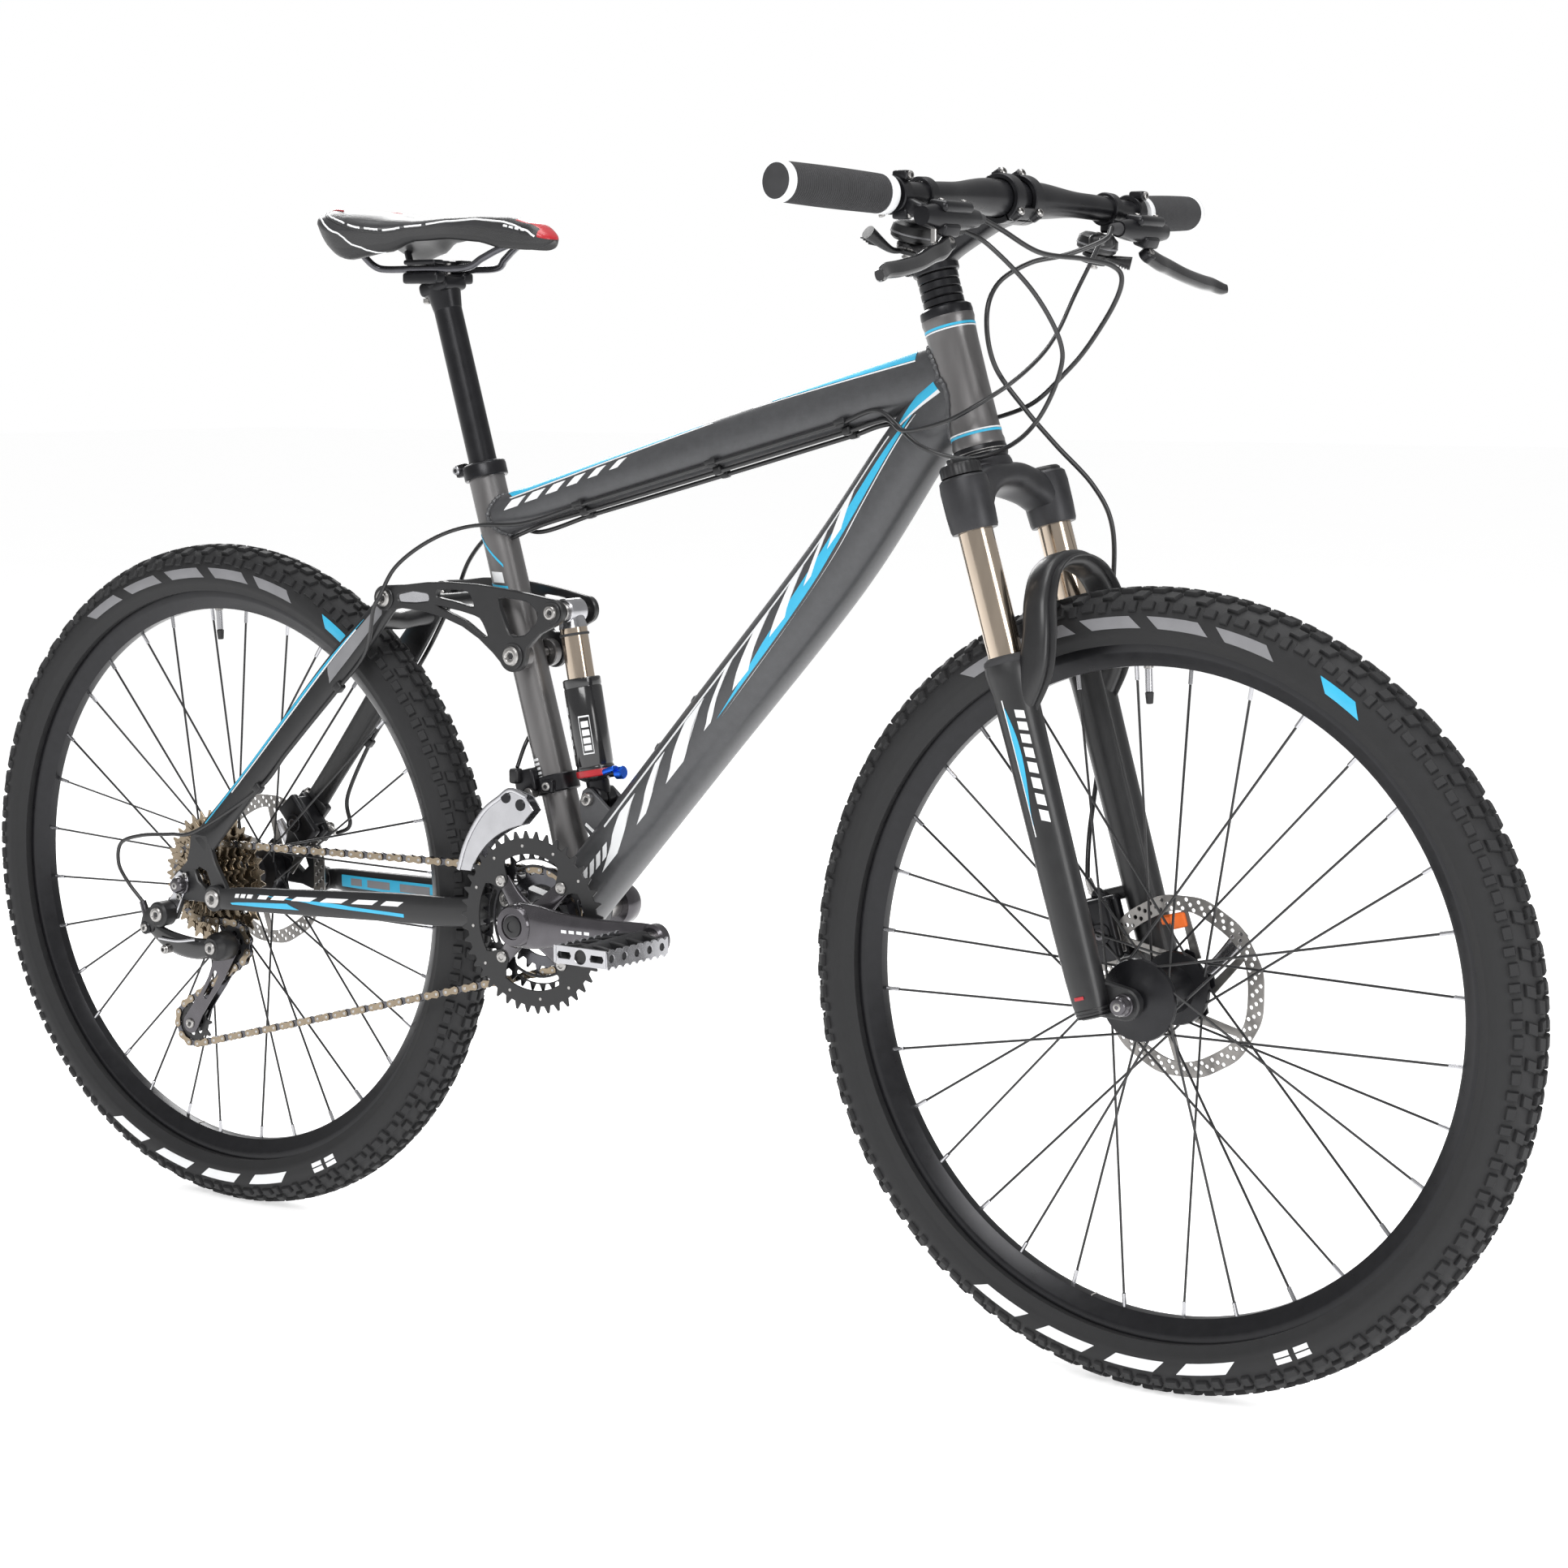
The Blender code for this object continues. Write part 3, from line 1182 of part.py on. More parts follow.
def chain():
    """The chain as one closed band, slanting inwards to the front ring."""
    half = CHAIN_HALF_WIDTH
    band = plate([chain_line(CHAIN_HALF_DEPTH), chain_line(-CHAIN_HALF_DEPTH)], -half, half)
    for vert in band.data.vertices:
        front = vert.co.x > -0.2
        vert.co.y += CHAIN_FRONT_Y if front else CHAIN_REAR_Y
    return band


# --- the whole object ----------------------------------------------------------------------

def build_frame():
    node(main_frame(), "main_frame", PAINT_GREY)
    node(headset_upper_cup(), "headset_upper_cup", ALLOY_BLACK)
    node(headset_lower_cup(), "headset_lower_cup", ALLOY_BLACK)
    node(bottom_bracket(), "bottom_bracket", ALLOY_BLACK)
    node(seat_clamp(), "seat_clamp", ALLOY_BLACK)
    node(front_derailleur_body(), "front_derailleur_body", PLASTIC)
    node(front_derailleur_cage(), "front_derailleur_cage", SILVER)


def build_seat():
    foot = at(SEAT_TOP)
    node(seatpost(), "seatpost", ALLOY_BLACK, foot)
    node(saddle_rails(), "saddle_rails", ALLOY_BLACK, foot)
    node(saddle(), "saddle", RUBBER, foot)


def build_controls(side, label):
    pivot = Vector((LEVER_PIVOT[0], side * LEVER_PIVOT_Y, LEVER_PIVOT[1]))
    pod = Vector((POD_CENTRE[0], side * POD_Y, POD_CENTRE[1]))
    head = steer(0.0)
    node(grip(side), f"grip_{label}", RUBBER, head)
    node(brake_master(side), f"brake_master_{label}", PLASTIC, head)
    node(shifter(side), f"shifter_{label}", PLASTIC, head)
    node(brake_lever(side), f"brake_lever_{label}", ALLOY_BLACK, pivot)
    node(shift_lever(side, -0.0160, 0.030, 0.0040, math.radians(125)), f"shift_lever_{label}", PLASTIC, pod)
    node(shift_lever(side, -0.0104, 0.024, 0.0036, math.radians(30)), f"release_lever_{label}", PLASTIC, pod)


def build_steering():
    head = steer(0.0)
    node(fork_upper(), "fork_upper", CHAMPAGNE, head)
    node(headset_spacers(), "headset_spacers", ALLOY_BLACK, head)
    node(stem(), "stem", ALLOY_BLACK, head)
    node(stem_faceplate(), "stem_faceplate", ALLOY_BLACK, head)
    node(handlebar(), "handlebar", ALLOY_BLACK, head)
    node(fork_knob(), "fork_knob", PLASTIC, steer(SOCKET_TOP, LEG_AHEAD, -LEG_SPREAD))
    for side, label in ((-1, "right"), (1, "left")):
        build_controls(side, label)


def build_front_wheel():
    axle = at(FRONT_AXLE)
    node(fork_lowers(), "fork_lowers", PAINT_BLACK, axle)
    node(front_caliper(), "front_caliper", ALLOY_BLACK, axle)
    node(front_axle(), "front_axle", SILVER, axle)
    node(tyre(FRONT_AXLE), "front_tyre", RUBBER, axle)
    node(rim(FRONT_AXLE), "front_rim", ALLOY_BLACK, axle)
    node(front_hub_and_spokes(), "front_hub_and_spokes", ALLOY_BLACK, axle)
    node(rotor(FRONT_AXLE, FRONT_ROTOR_Y), "front_rotor", SILVER, axle)


def build_rear():
    axle = at(REAR_AXLE)
    node(chainstay(), "chainstay", PAINT_BLACK, at(MAIN_PIVOT))
    node(seatstay(), "seatstay", PAINT_BLACK, at(HORST_PIVOT))
    node(rear_caliper(), "rear_caliper", ALLOY_BLACK, at(HORST_PIVOT))
    node(rear_axle(), "rear_axle", SILVER, at(HORST_PIVOT))
    node(tyre(REAR_AXLE), "rear_tyre", RUBBER, axle)
    node(rim(REAR_AXLE), "rear_rim", ALLOY_BLACK, axle)
    node(rear_hub_and_spokes(), "rear_hub_and_spokes", ALLOY_BLACK, axle)
    node(rotor(REAR_AXLE, REAR_ROTOR_Y), "rear_rotor", SILVER, axle)
    node(cassette(), "cassette", NICKEL, axle)
    node(rocker_link(), "rocker_link", PAINT_BLACK, at(ROCKER_PIVOT))
    node(shock_body(), "shock_body", ALLOY_BLACK, at(SHOCK_FOOT))
    node(shock_shaft(), "shock_shaft", SILVER, at(SHOCK_FOOT))


def build_drive():
    crank = at(BB)
    node(crank_right(), "crank_right", ALLOY_GREY, crank)
    node(crank_left(), "crank_left", ALLOY_GREY, crank)
    for index, label in enumerate(("outer", "middle", "inner")):
        node(chainring(index), f"chainring_{label}", ALLOY_BLACK, crank)
    for side, label in ((-1, "right"), (1, "left")):
        node(pedal(side), f"pedal_{label}", SILVER, at(crank_end(-side)))
    node(derailleur_b_knuckle(), "derailleur_b_knuckle", PLASTIC, at(HORST_PIVOT))
    node(derailleur_p_knuckle(), "derailleur_p_knuckle", ALLOY_BLACK, at(GUIDE_PULLEY))
    node(derailleur_cage(), "derailleur_cage", ALLOY_BLACK, at(GUIDE_PULLEY))
    node(pulley(GUIDE_PULLEY), "guide_pulley", PLASTIC, at(GUIDE_PULLEY))
    node(pulley(TENSION_PULLEY), "tension_pulley", PLASTIC, at(TENSION_PULLEY))
    node(chain(), "chain", NICKEL)


def build():
    build_frame()
    build_seat()
    build_steering()
    build_front_wheel()
    build_rear()
    build_drive()


build()
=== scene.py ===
"""Looks of the full-suspension mountain bike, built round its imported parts.

Metres, +X forward, +Y to the rider's left, +Z up; the drive side is -Y.
"""
import json
import math

import bmesh
import bpy
from mathutils import Matrix, Vector


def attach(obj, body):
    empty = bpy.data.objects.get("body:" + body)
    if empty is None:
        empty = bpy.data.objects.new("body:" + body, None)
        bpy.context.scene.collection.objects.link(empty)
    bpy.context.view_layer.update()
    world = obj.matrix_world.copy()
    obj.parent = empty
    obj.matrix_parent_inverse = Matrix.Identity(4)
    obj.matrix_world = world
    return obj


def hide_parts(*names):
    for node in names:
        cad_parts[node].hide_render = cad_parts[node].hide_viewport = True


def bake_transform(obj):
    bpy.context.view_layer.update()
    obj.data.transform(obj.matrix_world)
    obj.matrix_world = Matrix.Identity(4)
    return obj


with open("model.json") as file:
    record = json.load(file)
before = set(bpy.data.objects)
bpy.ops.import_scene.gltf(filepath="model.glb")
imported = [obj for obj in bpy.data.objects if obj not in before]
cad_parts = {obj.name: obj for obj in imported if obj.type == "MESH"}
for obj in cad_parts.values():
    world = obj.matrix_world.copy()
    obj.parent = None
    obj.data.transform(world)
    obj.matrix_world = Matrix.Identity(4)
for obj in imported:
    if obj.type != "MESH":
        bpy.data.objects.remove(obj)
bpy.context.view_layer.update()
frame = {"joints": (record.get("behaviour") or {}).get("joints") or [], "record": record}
JOINTS = {joint["name"]: joint for joint in frame["joints"]}
TAU = math.tau

# Shapes are built with x measured from the crank axis, and moved by this much when they are finished
TO_FRAME = Vector((JOINTS["crank_spin"]["pos_m"][0], 0.0, 0.0))


def pivot(joint):
    """A joint's position, measured from the crank axis."""
    return Vector(JOINTS[joint]["pos_m"]) - TO_FRAME


# Axles and pivots come from the joints
BB = pivot("crank_spin")
REAR_AXLE = pivot("rear_wheel_spin")
FRONT_AXLE = pivot("front_wheel_spin")
MAIN_PIVOT = pivot("rear_suspension")
HORST_PIVOT = pivot("seatstay_pivot")
ROCKER_PIVOT = pivot("rocker_turn")
SHOCK_FOOT = pivot("shock_swing")
GUIDE_PULLEY = pivot("guide_pulley_spin")
TENSION_PULLEY = pivot("tension_pulley_spin")
HEAD_FOOT = pivot("steering_turn")
STEER_UP = Vector(JOINTS["steering_turn"]["axis"]).normalized()
SEAT_AXIS = Vector(JOINTS["seatpost_slide"]["axis"]).normalized()
STEER_AHEAD = Vector((STEER_UP.z, 0.0, -STEER_UP.x))
RIGHT = -1
LEFT = 1
FRAME_SIDES = (RIGHT, LEFT)
SIDE_LABELS = ((RIGHT, "right"), (LEFT, "left"))

# Points and sizes of the design, as (x, z) where a point lies on the centre plane
GAP = 0.0003
MARK_SINK = 0.0002
TYRE_OUTER = 0.346
RIM_INNER = 0.279
RIM_OUTER = 0.2985
RIM_HALF_WIDTH = 0.013
SPOKES = 32
ROTOR_RADIUS = 0.08
FRONT_ROTOR_Y = 0.04
REAR_ROTOR_Y = 0.0522
HEAD_LENGTH = 0.116
HEAD_TUBE_RADIUS = 0.0219
SHELL_RADIUS = 0.0222
LEG_SPREAD = 0.065
LEG_AHEAD = 0.016
SEAT_TOP = Vector((-0.103, 0.0, 0.7792))
SEAT_FOOT = Vector((0.0105, 0.0, 0.388))
SEAT_TUBE_RADIUS = 0.01745
SEATPOST_RADIUS = 0.0136
ROCKER_REAR = Vector((-0.19, 0.0, 0.65))
SHOCK_EYE = Vector((0.0035, 0.0, 0.643))
SEATSTAY_FOOT = Vector((-0.426, 0.0, 0.389))
HANGER_BOLT = Vector((-0.472, 0.0, 0.315))
CHAIN_PITCH = 0.0127
RING_TEETH = (42, 32, 24)
RING_Y = (-0.058, -0.05, -0.042)
CHAIN_RING = 24
CHAIN_FRONT_Y = -0.042
COG_TEETH = (11, 13, 15, 17, 20, 23, 26, 30, 34)
COG_FIRST_Y = -0.0625
COG_STEP = 0.00435
CHAIN_COG = 20
CHAIN_REAR_Y = -0.0451
PULLEY_TEETH = 11
BAR_CENTRE = Vector((0.489, 0.0, 1.015))
BAR_BENDS = ((0.0, 0.489, 1.015), (0.055, 0.49, 1.015), (0.12, 0.496, 1.013), (0.2, 0.4965, 1.01),
    (0.33, 0.481, 1.0155))
BAR_RADIUS = 0.0111


def steer(along, ahead=0.0, side=0.0):
    """A point given by its distance down the steering axis, ahead of it and to the left."""
    return HEAD_FOOT - STEER_UP * along + STEER_AHEAD * ahead + sideways(side)


def flat(x, z, y=0.0):
    return Vector((x, y, z))


def sideways(y):
    return Vector((0.0, y, 0.0))


def shift_y(point, y):
    return Vector((point.x, y, point.z))


def toward(direction, point):
    """The matrix that puts local +Z along a direction and the origin on a point."""
    turn = Vector(direction).normalized().to_track_quat("Z", "Y").to_matrix().to_4x4()
    return Matrix.Translation(Vector(point)) @ turn


def pitch_radius(teeth):
    return CHAIN_PITCH / (2.0 * math.sin(math.pi / teeth))


def ease(value):
    value = min(1.0, max(0.0, value))
    return value * value * (3.0 - 2.0 * value)


def polar(centre, radius, angle):
    """An (x, z) point round a centre, which is such a point itself or a vector."""
    return (centre[0] + radius * math.cos(angle), centre[-1] + radius * math.sin(angle))


def around(turn, radius=1.0, y=0.0):
    """A step out from an axle at an angle."""
    return Vector((radius * math.cos(turn), y, radius * math.sin(turn)))


def turn_y(angle):
    return Matrix.Rotation(angle, 4, "Y")


def lobes(ends, steps):
    """An outline of half circles: (centre, radius, first angle in degrees) for each."""
    return [polar(centre, radius, math.radians(first + 180 * k / steps)) for centre, radius,
        first in ends for k in range(steps + 1)]


def add_object(name, data):
    """A new object of the scene."""
    obj = bpy.data.objects.new(name, data)
    bpy.context.scene.collection.objects.link(obj)
    return obj


def smooth_path(points, per=6):
    """A Catmull-Rom curve through the points."""
    points = [Vector(p) for p in points]
    ends = [points[0] * 2 - points[1]] + points + [points[-1] * 2 - points[-2]]
    path = []
    for i in range(1, len(ends) - 2):
        a, b, c, d = ends[i - 1:i + 3]
        for k in range(per):
            t = k / per
            path.append(0.5 * (b * 2 + (c - a) * t + (a * 2 - b * 5 + c * 4 - d) * t * t
                + (b * 3 - a - c * 3 + d) * t ** 3))
    return path + [points[-1]]


# --- materials -----------------------------------------------------------------------------

def set_inputs(node, **values):
    """Values for a node's inputs; an underscore stands for a space."""
    for name, value in values.items():
        node.inputs[name.replace("_", " ")].default_value = value


def add_node(tree, kind, **values):
    node = tree.nodes.new("ShaderNode" + kind)
    set_inputs(node, **values)
    return node


def surface(name, colour, rough, metal=0.0, vary=0.12, grain=400.0, bump=0.05, coat=0.0, flake=0.0,
        stretch=(1.0, 1.0, 1.0), depth=0.0002, cells=False):
    """A finish whose colour, roughness and fine relief come from noise in object space."""
    mat = bpy.data.materials.new(name)
    mat.use_nodes = True
    tree = mat.node_tree
    link = tree.links.new
    shader = tree.nodes["Principled BSDF"]
    set_inputs(shader, Metallic=metal, Coat_Weight=coat, Coat_Roughness=0.12)
    stretched = add_node(tree, "Mapping", Scale=stretch)
    link(add_node(tree, "TexCoord").outputs["Object"], stretched.inputs["Vector"])
    broad = add_node(tree, "TexNoise", Scale=grain / 18.0, Detail=6.0)
    fine = add_node(tree, "TexVoronoi" if cells else "TexNoise", Scale=grain)
    for texture in (broad, fine):
        link(stretched.outputs["Vector"], texture.inputs["Vector"])
    fine_value = fine.outputs["Distance" if cells else "Fac"]
    tint = add_node(tree, "ValToRGB")
    ends = tint.color_ramp.elements
    ends[0].position = 0.3
    ends[1].position = 0.7
    ends[0].color = (*[c * (1.0 - vary) for c in colour], 1.0)
    ends[1].color = (*[min(1.0, c * (1.0 + vary)) for c in colour], 1.0)
    link(broad.outputs["Fac"], tint.inputs["Fac"])
    base = tint.outputs["Color"]
    if flake:
        sparkle = add_node(tree, "Mix")
        sparkle.data_type = "RGBA"
        sparkle.blend_type = "ADD"
        set_inputs(sparkle, Factor=flake)
        link(base, sparkle.inputs["A"])
        link(fine_value, sparkle.inputs["B"])
        base = sparkle.outputs["Result"]
    link(base, shader.inputs["Base Color"])
    spread = add_node(tree, "MapRange", To_Min=max(0.03, rough - 0.07), To_Max=min(1.0, rough + 0.07))
    link(broad.outputs["Fac"], spread.inputs["Value"])
    link(spread.outputs["Result"], shader.inputs["Roughness"])
    relief = add_node(tree, "Bump", Strength=bump, Distance=depth)
    link(fine_value, relief.inputs["Height"])
    link(relief.outputs["Normal"], shader.inputs["Normal"])
    return mat


PAINT = surface("anthracite_paint", (0.055, 0.056, 0.06), 0.4, 0.35, 0.1, 2400, 0.1, 0.15, 0.03)
PAINT_LIGHT = surface("brushed_anthracite", (0.17, 0.165, 0.165), 0.34, 0.75, 0.12, 900, 0.1, 0.2,
    stretch=(1.0, 1.0, 0.06))
BLACK = surface("satin_black_paint", (0.008, 0.008, 0.009), 0.42, 0.0, 0.15, 1400, 0.08, 0.15)
CYAN = surface("cyan_decal", (0.035, 0.42, 0.66), 0.4, 0.0, 0.05, 700, 0.03, 0.2)
WHITE = surface("white_decal", (0.78, 0.79, 0.8), 0.42, 0.0, 0.03, 700, 0.03, 0.2)
GREY_MARK = surface("grey_mark", (0.2, 0.2, 0.21), 0.55, 0.0, 0.08, 700, 0.03)
RED = surface("red_accent", (0.4, 0.01, 0.018), 0.35, 0.0, 0.08, 700, 0.05, 0.3)
BLUE = surface("blue_anodised", (0.015, 0.11, 0.62), 0.28, 0.8, 0.08, 900, 0.05)
ORANGE = surface("orange_plastic", (0.9, 0.17, 0.02), 0.45, 0.0, 0.05, 700, 0.04)
ANODISED = surface("black_anodised", (0.012, 0.012, 0.014), 0.3, 0.45, 0.15, 1600, 0.07)
GLOSS = surface("grey_gloss_casting", (0.08, 0.075, 0.083), 0.2, 0.75, 0.12, 1300, 0.05, 0.4)
CASTING = surface("crown_casting", (0.03, 0.03, 0.033), 0.42, 0.4, 0.15, 1100, 0.16)
SILVER = surface("silver_alloy", (0.48, 0.48, 0.5), 0.22, 0.95, 0.07, 1200, 0.05)
STEEL = surface("brushed_steel", (0.4, 0.39, 0.38), 0.3, 0.95, 0.1, 1500, 0.1, stretch=(1.0, 0.1, 1.0))
ROTOR_STEEL = surface("brake_disc_steel", (0.26, 0.25, 0.24), 0.34, 0.9, 0.14, 1500, 0.1)
CHAMPAGNE = surface("champagne_stanchion", (0.62, 0.52, 0.42), 0.13, 1.0, 0.05, 1500, 0.02,
    stretch=(1.0, 1.0, 0.1))
NICKEL = surface("nickel_plate", (0.27, 0.22, 0.16), 0.27, 0.95, 0.12, 1300, 0.06)
DARK_STEEL = surface("dark_chrome", (0.1, 0.1, 0.11), 0.22, 0.9, 0.12, 1300, 0.05)
TYRE = surface("tyre_rubber", (0.009, 0.009, 0.01), 0.68, 0.0, 0.22, 1500, 0.25)
GRIP = surface("grip_rubber", (0.03, 0.03, 0.032), 0.8, 0.0, 0.15, 1800, 0.4)
PLASTIC = surface("moulded_plastic", (0.01, 0.01, 0.011), 0.42, 0.0, 0.15, 1500, 0.18)
GLOSS_PLASTIC = surface("gloss_plastic", (0.012, 0.012, 0.013), 0.16, 0.0, 0.1, 900, 0.04, 0.5)
CABLE = surface("cable_jacket", (0.012, 0.012, 0.013), 0.33, 0.0, 0.12, 900, 0.05, 0.2)
LEATHER = surface("saddle_cover", (0.018, 0.018, 0.019), 0.4, 0.0, 0.15, 900, 0.55, depth=0.0003, cells=True)
LEATHER_SMOOTH = surface("saddle_panel", (0.03, 0.03, 0.032), 0.3, 0.0, 0.12, 1600, 0.25)


# --- building shapes -----------------------------------------------------------------------

class Shape:
    """A mesh under construction; each call adds one closed body in one material."""

    def __init__(self, *looks):
        self.bm = bmesh.new()
        self.looks = list(looks)

    def face(self, verts, look):
        if look not in self.looks:
            self.looks.append(look)
        made = self.bm.faces.new(verts)
        made.material_index = self.looks.index(look)
        return made

    def sections(self, rings, look):
        """Skin over rings of points that all have the same count, closed at both ends."""
        made = [[self.bm.verts.new(p) for p in ring] for ring in rings]
        count = len(made[0])
        for a, b in zip(made, made[1:]):
            for k in range(count):
                self.face((a[k], a[(k + 1) % count], b[(k + 1) % count], b[k]), look)
        self.face(made[0][::-1], look)
        self.face(made[-1], look)

    def lathe(self, profile, place, look, steps=48):
        """A (radius, height) profile turned about local Z; it joins up unless it starts on the axis."""
        rings = []
        for radius, height in profile:
            if radius < 1e-7:
                rings.append([self.bm.verts.new(place @ Vector((0.0, 0.0, height)))])
                continue
            points = [(*polar((0.0, 0.0), radius, TAU * k / steps), height) for k in range(steps)]
            rings.append([self.bm.verts.new(place @ Vector(p)) for p in points])
        pairs = list(zip(rings, rings[1:]))
        if profile[0][0] > 0:
            pairs.append((rings[-1], rings[0]))
        for a, b in pairs:
            for k in range(steps):
                corners = [a[k % len(a)], a[(k + 1) % len(a)], b[(k + 1) % len(b)], b[k % len(b)]]
                self.face(list(dict.fromkeys(corners)), look)

    def rod(self, start, end, radius, look, sides=32, chamfer=0.0006, end_radius=None):
        """A round bar or cone with broken edges."""
        start = Vector(start)
        end = Vector(end)
        length = (end - start).length
        far = radius if end_radius is None else end_radius
        edge = min(chamfer, radius * 0.4, far * 0.4, length * 0.3)
        profile = [(0.0, 0.0), (radius - edge, 0.0), (radius, edge), (far, length - edge),
            (far - edge, length), (0.0, length)]
        self.lathe(profile, toward(end - start, start), look, sides)

    def collar(self, start, end, inner, outer, look, sides=48, chamfer=0.0005):
        start = Vector(start)
        end = Vector(end)
        length = (end - start).length
        edge = min(chamfer, (outer - inner) * 0.3, length * 0.3)
        profile = [(outer, edge), (outer - edge, 0.0), (inner, 0.0), (inner, length),
            (outer - edge, length), (outer, length - edge)]
        self.lathe(profile, toward(end - start, start), look, sides)

    def pin(self, point, low, high, *args):
        """A rod along Y at a point's x and z."""
        self.rod(shift_y(point, low), shift_y(point, high), *args)

    def ring(self, point, low, high, *args):
        """A collar along Y at a point's x and z."""
        self.collar(shift_y(point, low), shift_y(point, high), *args)

    def bolt(self, point, direction, radius, height, look=STEEL):
        """A round bolt head; the floor of the socket in its face is a black disc, painted shade in the
        recess.
        """
        profile = [(0.0, 0.0), (radius, 0.0), (radius, height * 0.75), (radius * 0.82, height),
            (radius * 0.5, height), (radius * 0.5, height * 0.45), (0.0, height * 0.45)]
        place = toward(direction, point)
        self.lathe(profile, place, look, 20)
        # A black disc at the socket's floor: painted shade in the recess.
        socket_shade_disc = [(0.0, height * 0.4), (radius * 0.49, height * 0.4), (radius * 0.49, height * 0.5),
            (0.0, height * 0.5)]
        self.lathe(socket_shade_disc, place, BLACK, 12)

    def tube(self, points, radius, look, sides=12):
        """A bent round bar; the radius is a number or one number for each point."""
        points = [Vector(p) for p in points]
        radii = radius if isinstance(radius, (list, tuple)) else [radius] * len(points)
        run = (points[1] - points[0]).normalized()
        across = run.orthogonal().normalized()
        rings = []
        for i, point in enumerate(points):
            run = (points[min(i + 1, len(points) - 1)] - points[max(i - 1, 0)]).normalized()
            across = (across - run * across.dot(run)).normalized()
            other = run.cross(across)
            rings.append([point + (across * math.cos(TAU * k / sides) + other * math.sin(TAU * k / sides))
                * radii[i] for k in range(sides)])
        self.sections(rings, look)

    def box(self, centre, size, look, turn=None, bevel=0.001, segments=2):
        """A block with rounded edges, turned about its own centre."""
        bm = bmesh.new()
        bmesh.ops.create_cube(bm, size=1.0)
        bmesh.ops.scale(bm, vec=size, verts=bm.verts)
        edge = min(bevel, min(size) * 0.45)
        bmesh.ops.bevel(bm, geom=bm.edges, offset=edge, segments=segments, affect="EDGES", profile=0.5)
        bm.transform(Matrix.Translation(Vector(centre)) @ (turn or Matrix.Identity(4)))
        self.merge(bm, look)

    def merge(self, bm, look):
        """Copy another mesh in, all in one material."""
        made = {vert: self.bm.verts.new(vert.co) for vert in bm.verts}
        for face in bm.faces:
            self.face([made[vert] for vert in face.verts], look)
        bm.free()

    def plate(self, outlines, y_low, y_high, look, bevel=0.0003, place=None):
        """Closed (x, z) outlines, the first one outside and the others holes, made solid along Y."""
        curve = bpy.data.curves.new("plate", "CURVE")
        curve.dimensions = "2D"
        curve.fill_mode = "BOTH"
        edge = min(bevel, (y_high - y_low) * 0.4)
        curve.extrude = (y_high - y_low) / 2 - edge
        curve.bevel_depth = edge
        curve.bevel_resolution = 0
        curve.offset = -edge
        for outline in outlines:
            spline = curve.splines.new("POLY")
            spline.points.add(len(outline) - 1)
            spline.use_cyclic_u = True
            for index, point in enumerate(outline):
                spline.points[index].co = (point[0], point[1], 0.0, 1.0)
        obj = add_object("plate", curve)
        bpy.context.view_layer.update()
        graph = bpy.context.evaluated_depsgraph_get()
        mesh = bpy.data.meshes.new_from_object(obj.evaluated_get(graph), depsgraph=graph)
        stand = Matrix.Translation((0, (y_low + y_high) / 2, 0)) @ Matrix.Rotation(math.pi / 2, 4, "X")
        mesh.transform((place or Matrix.Identity(4)) @ stand)
        bm = bmesh.new()
        bm.from_mesh(mesh)
        bmesh.ops.remove_doubles(bm, verts=bm.verts, dist=0.00001)
        self.merge(bm, look)
        bpy.data.objects.remove(obj)
        bpy.data.curves.remove(curve)
        bpy.data.meshes.remove(mesh)

    def piece(self, name, body, slot, stands_for=(), angle=32):
        """Finish the mesh, hang it on its body and hide the CAD nodes it stands for."""
        bmesh.ops.recalc_face_normals(self.bm, faces=self.bm.faces)
        mesh = bpy.data.meshes.new(name)
        self.bm.to_mesh(mesh)
        self.bm.free()
        mesh.transform(Matrix.Translation(TO_FRAME))
        for look in self.looks:
            mesh.materials.append(look)
        mesh.shade_smooth()
        mesh.set_sharp_from_angle(angle=math.radians(angle))
        obj = add_object(name, mesh)
        if body:
            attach(obj, body)
        if stands_for:
            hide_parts(*stands_for)
        return obj


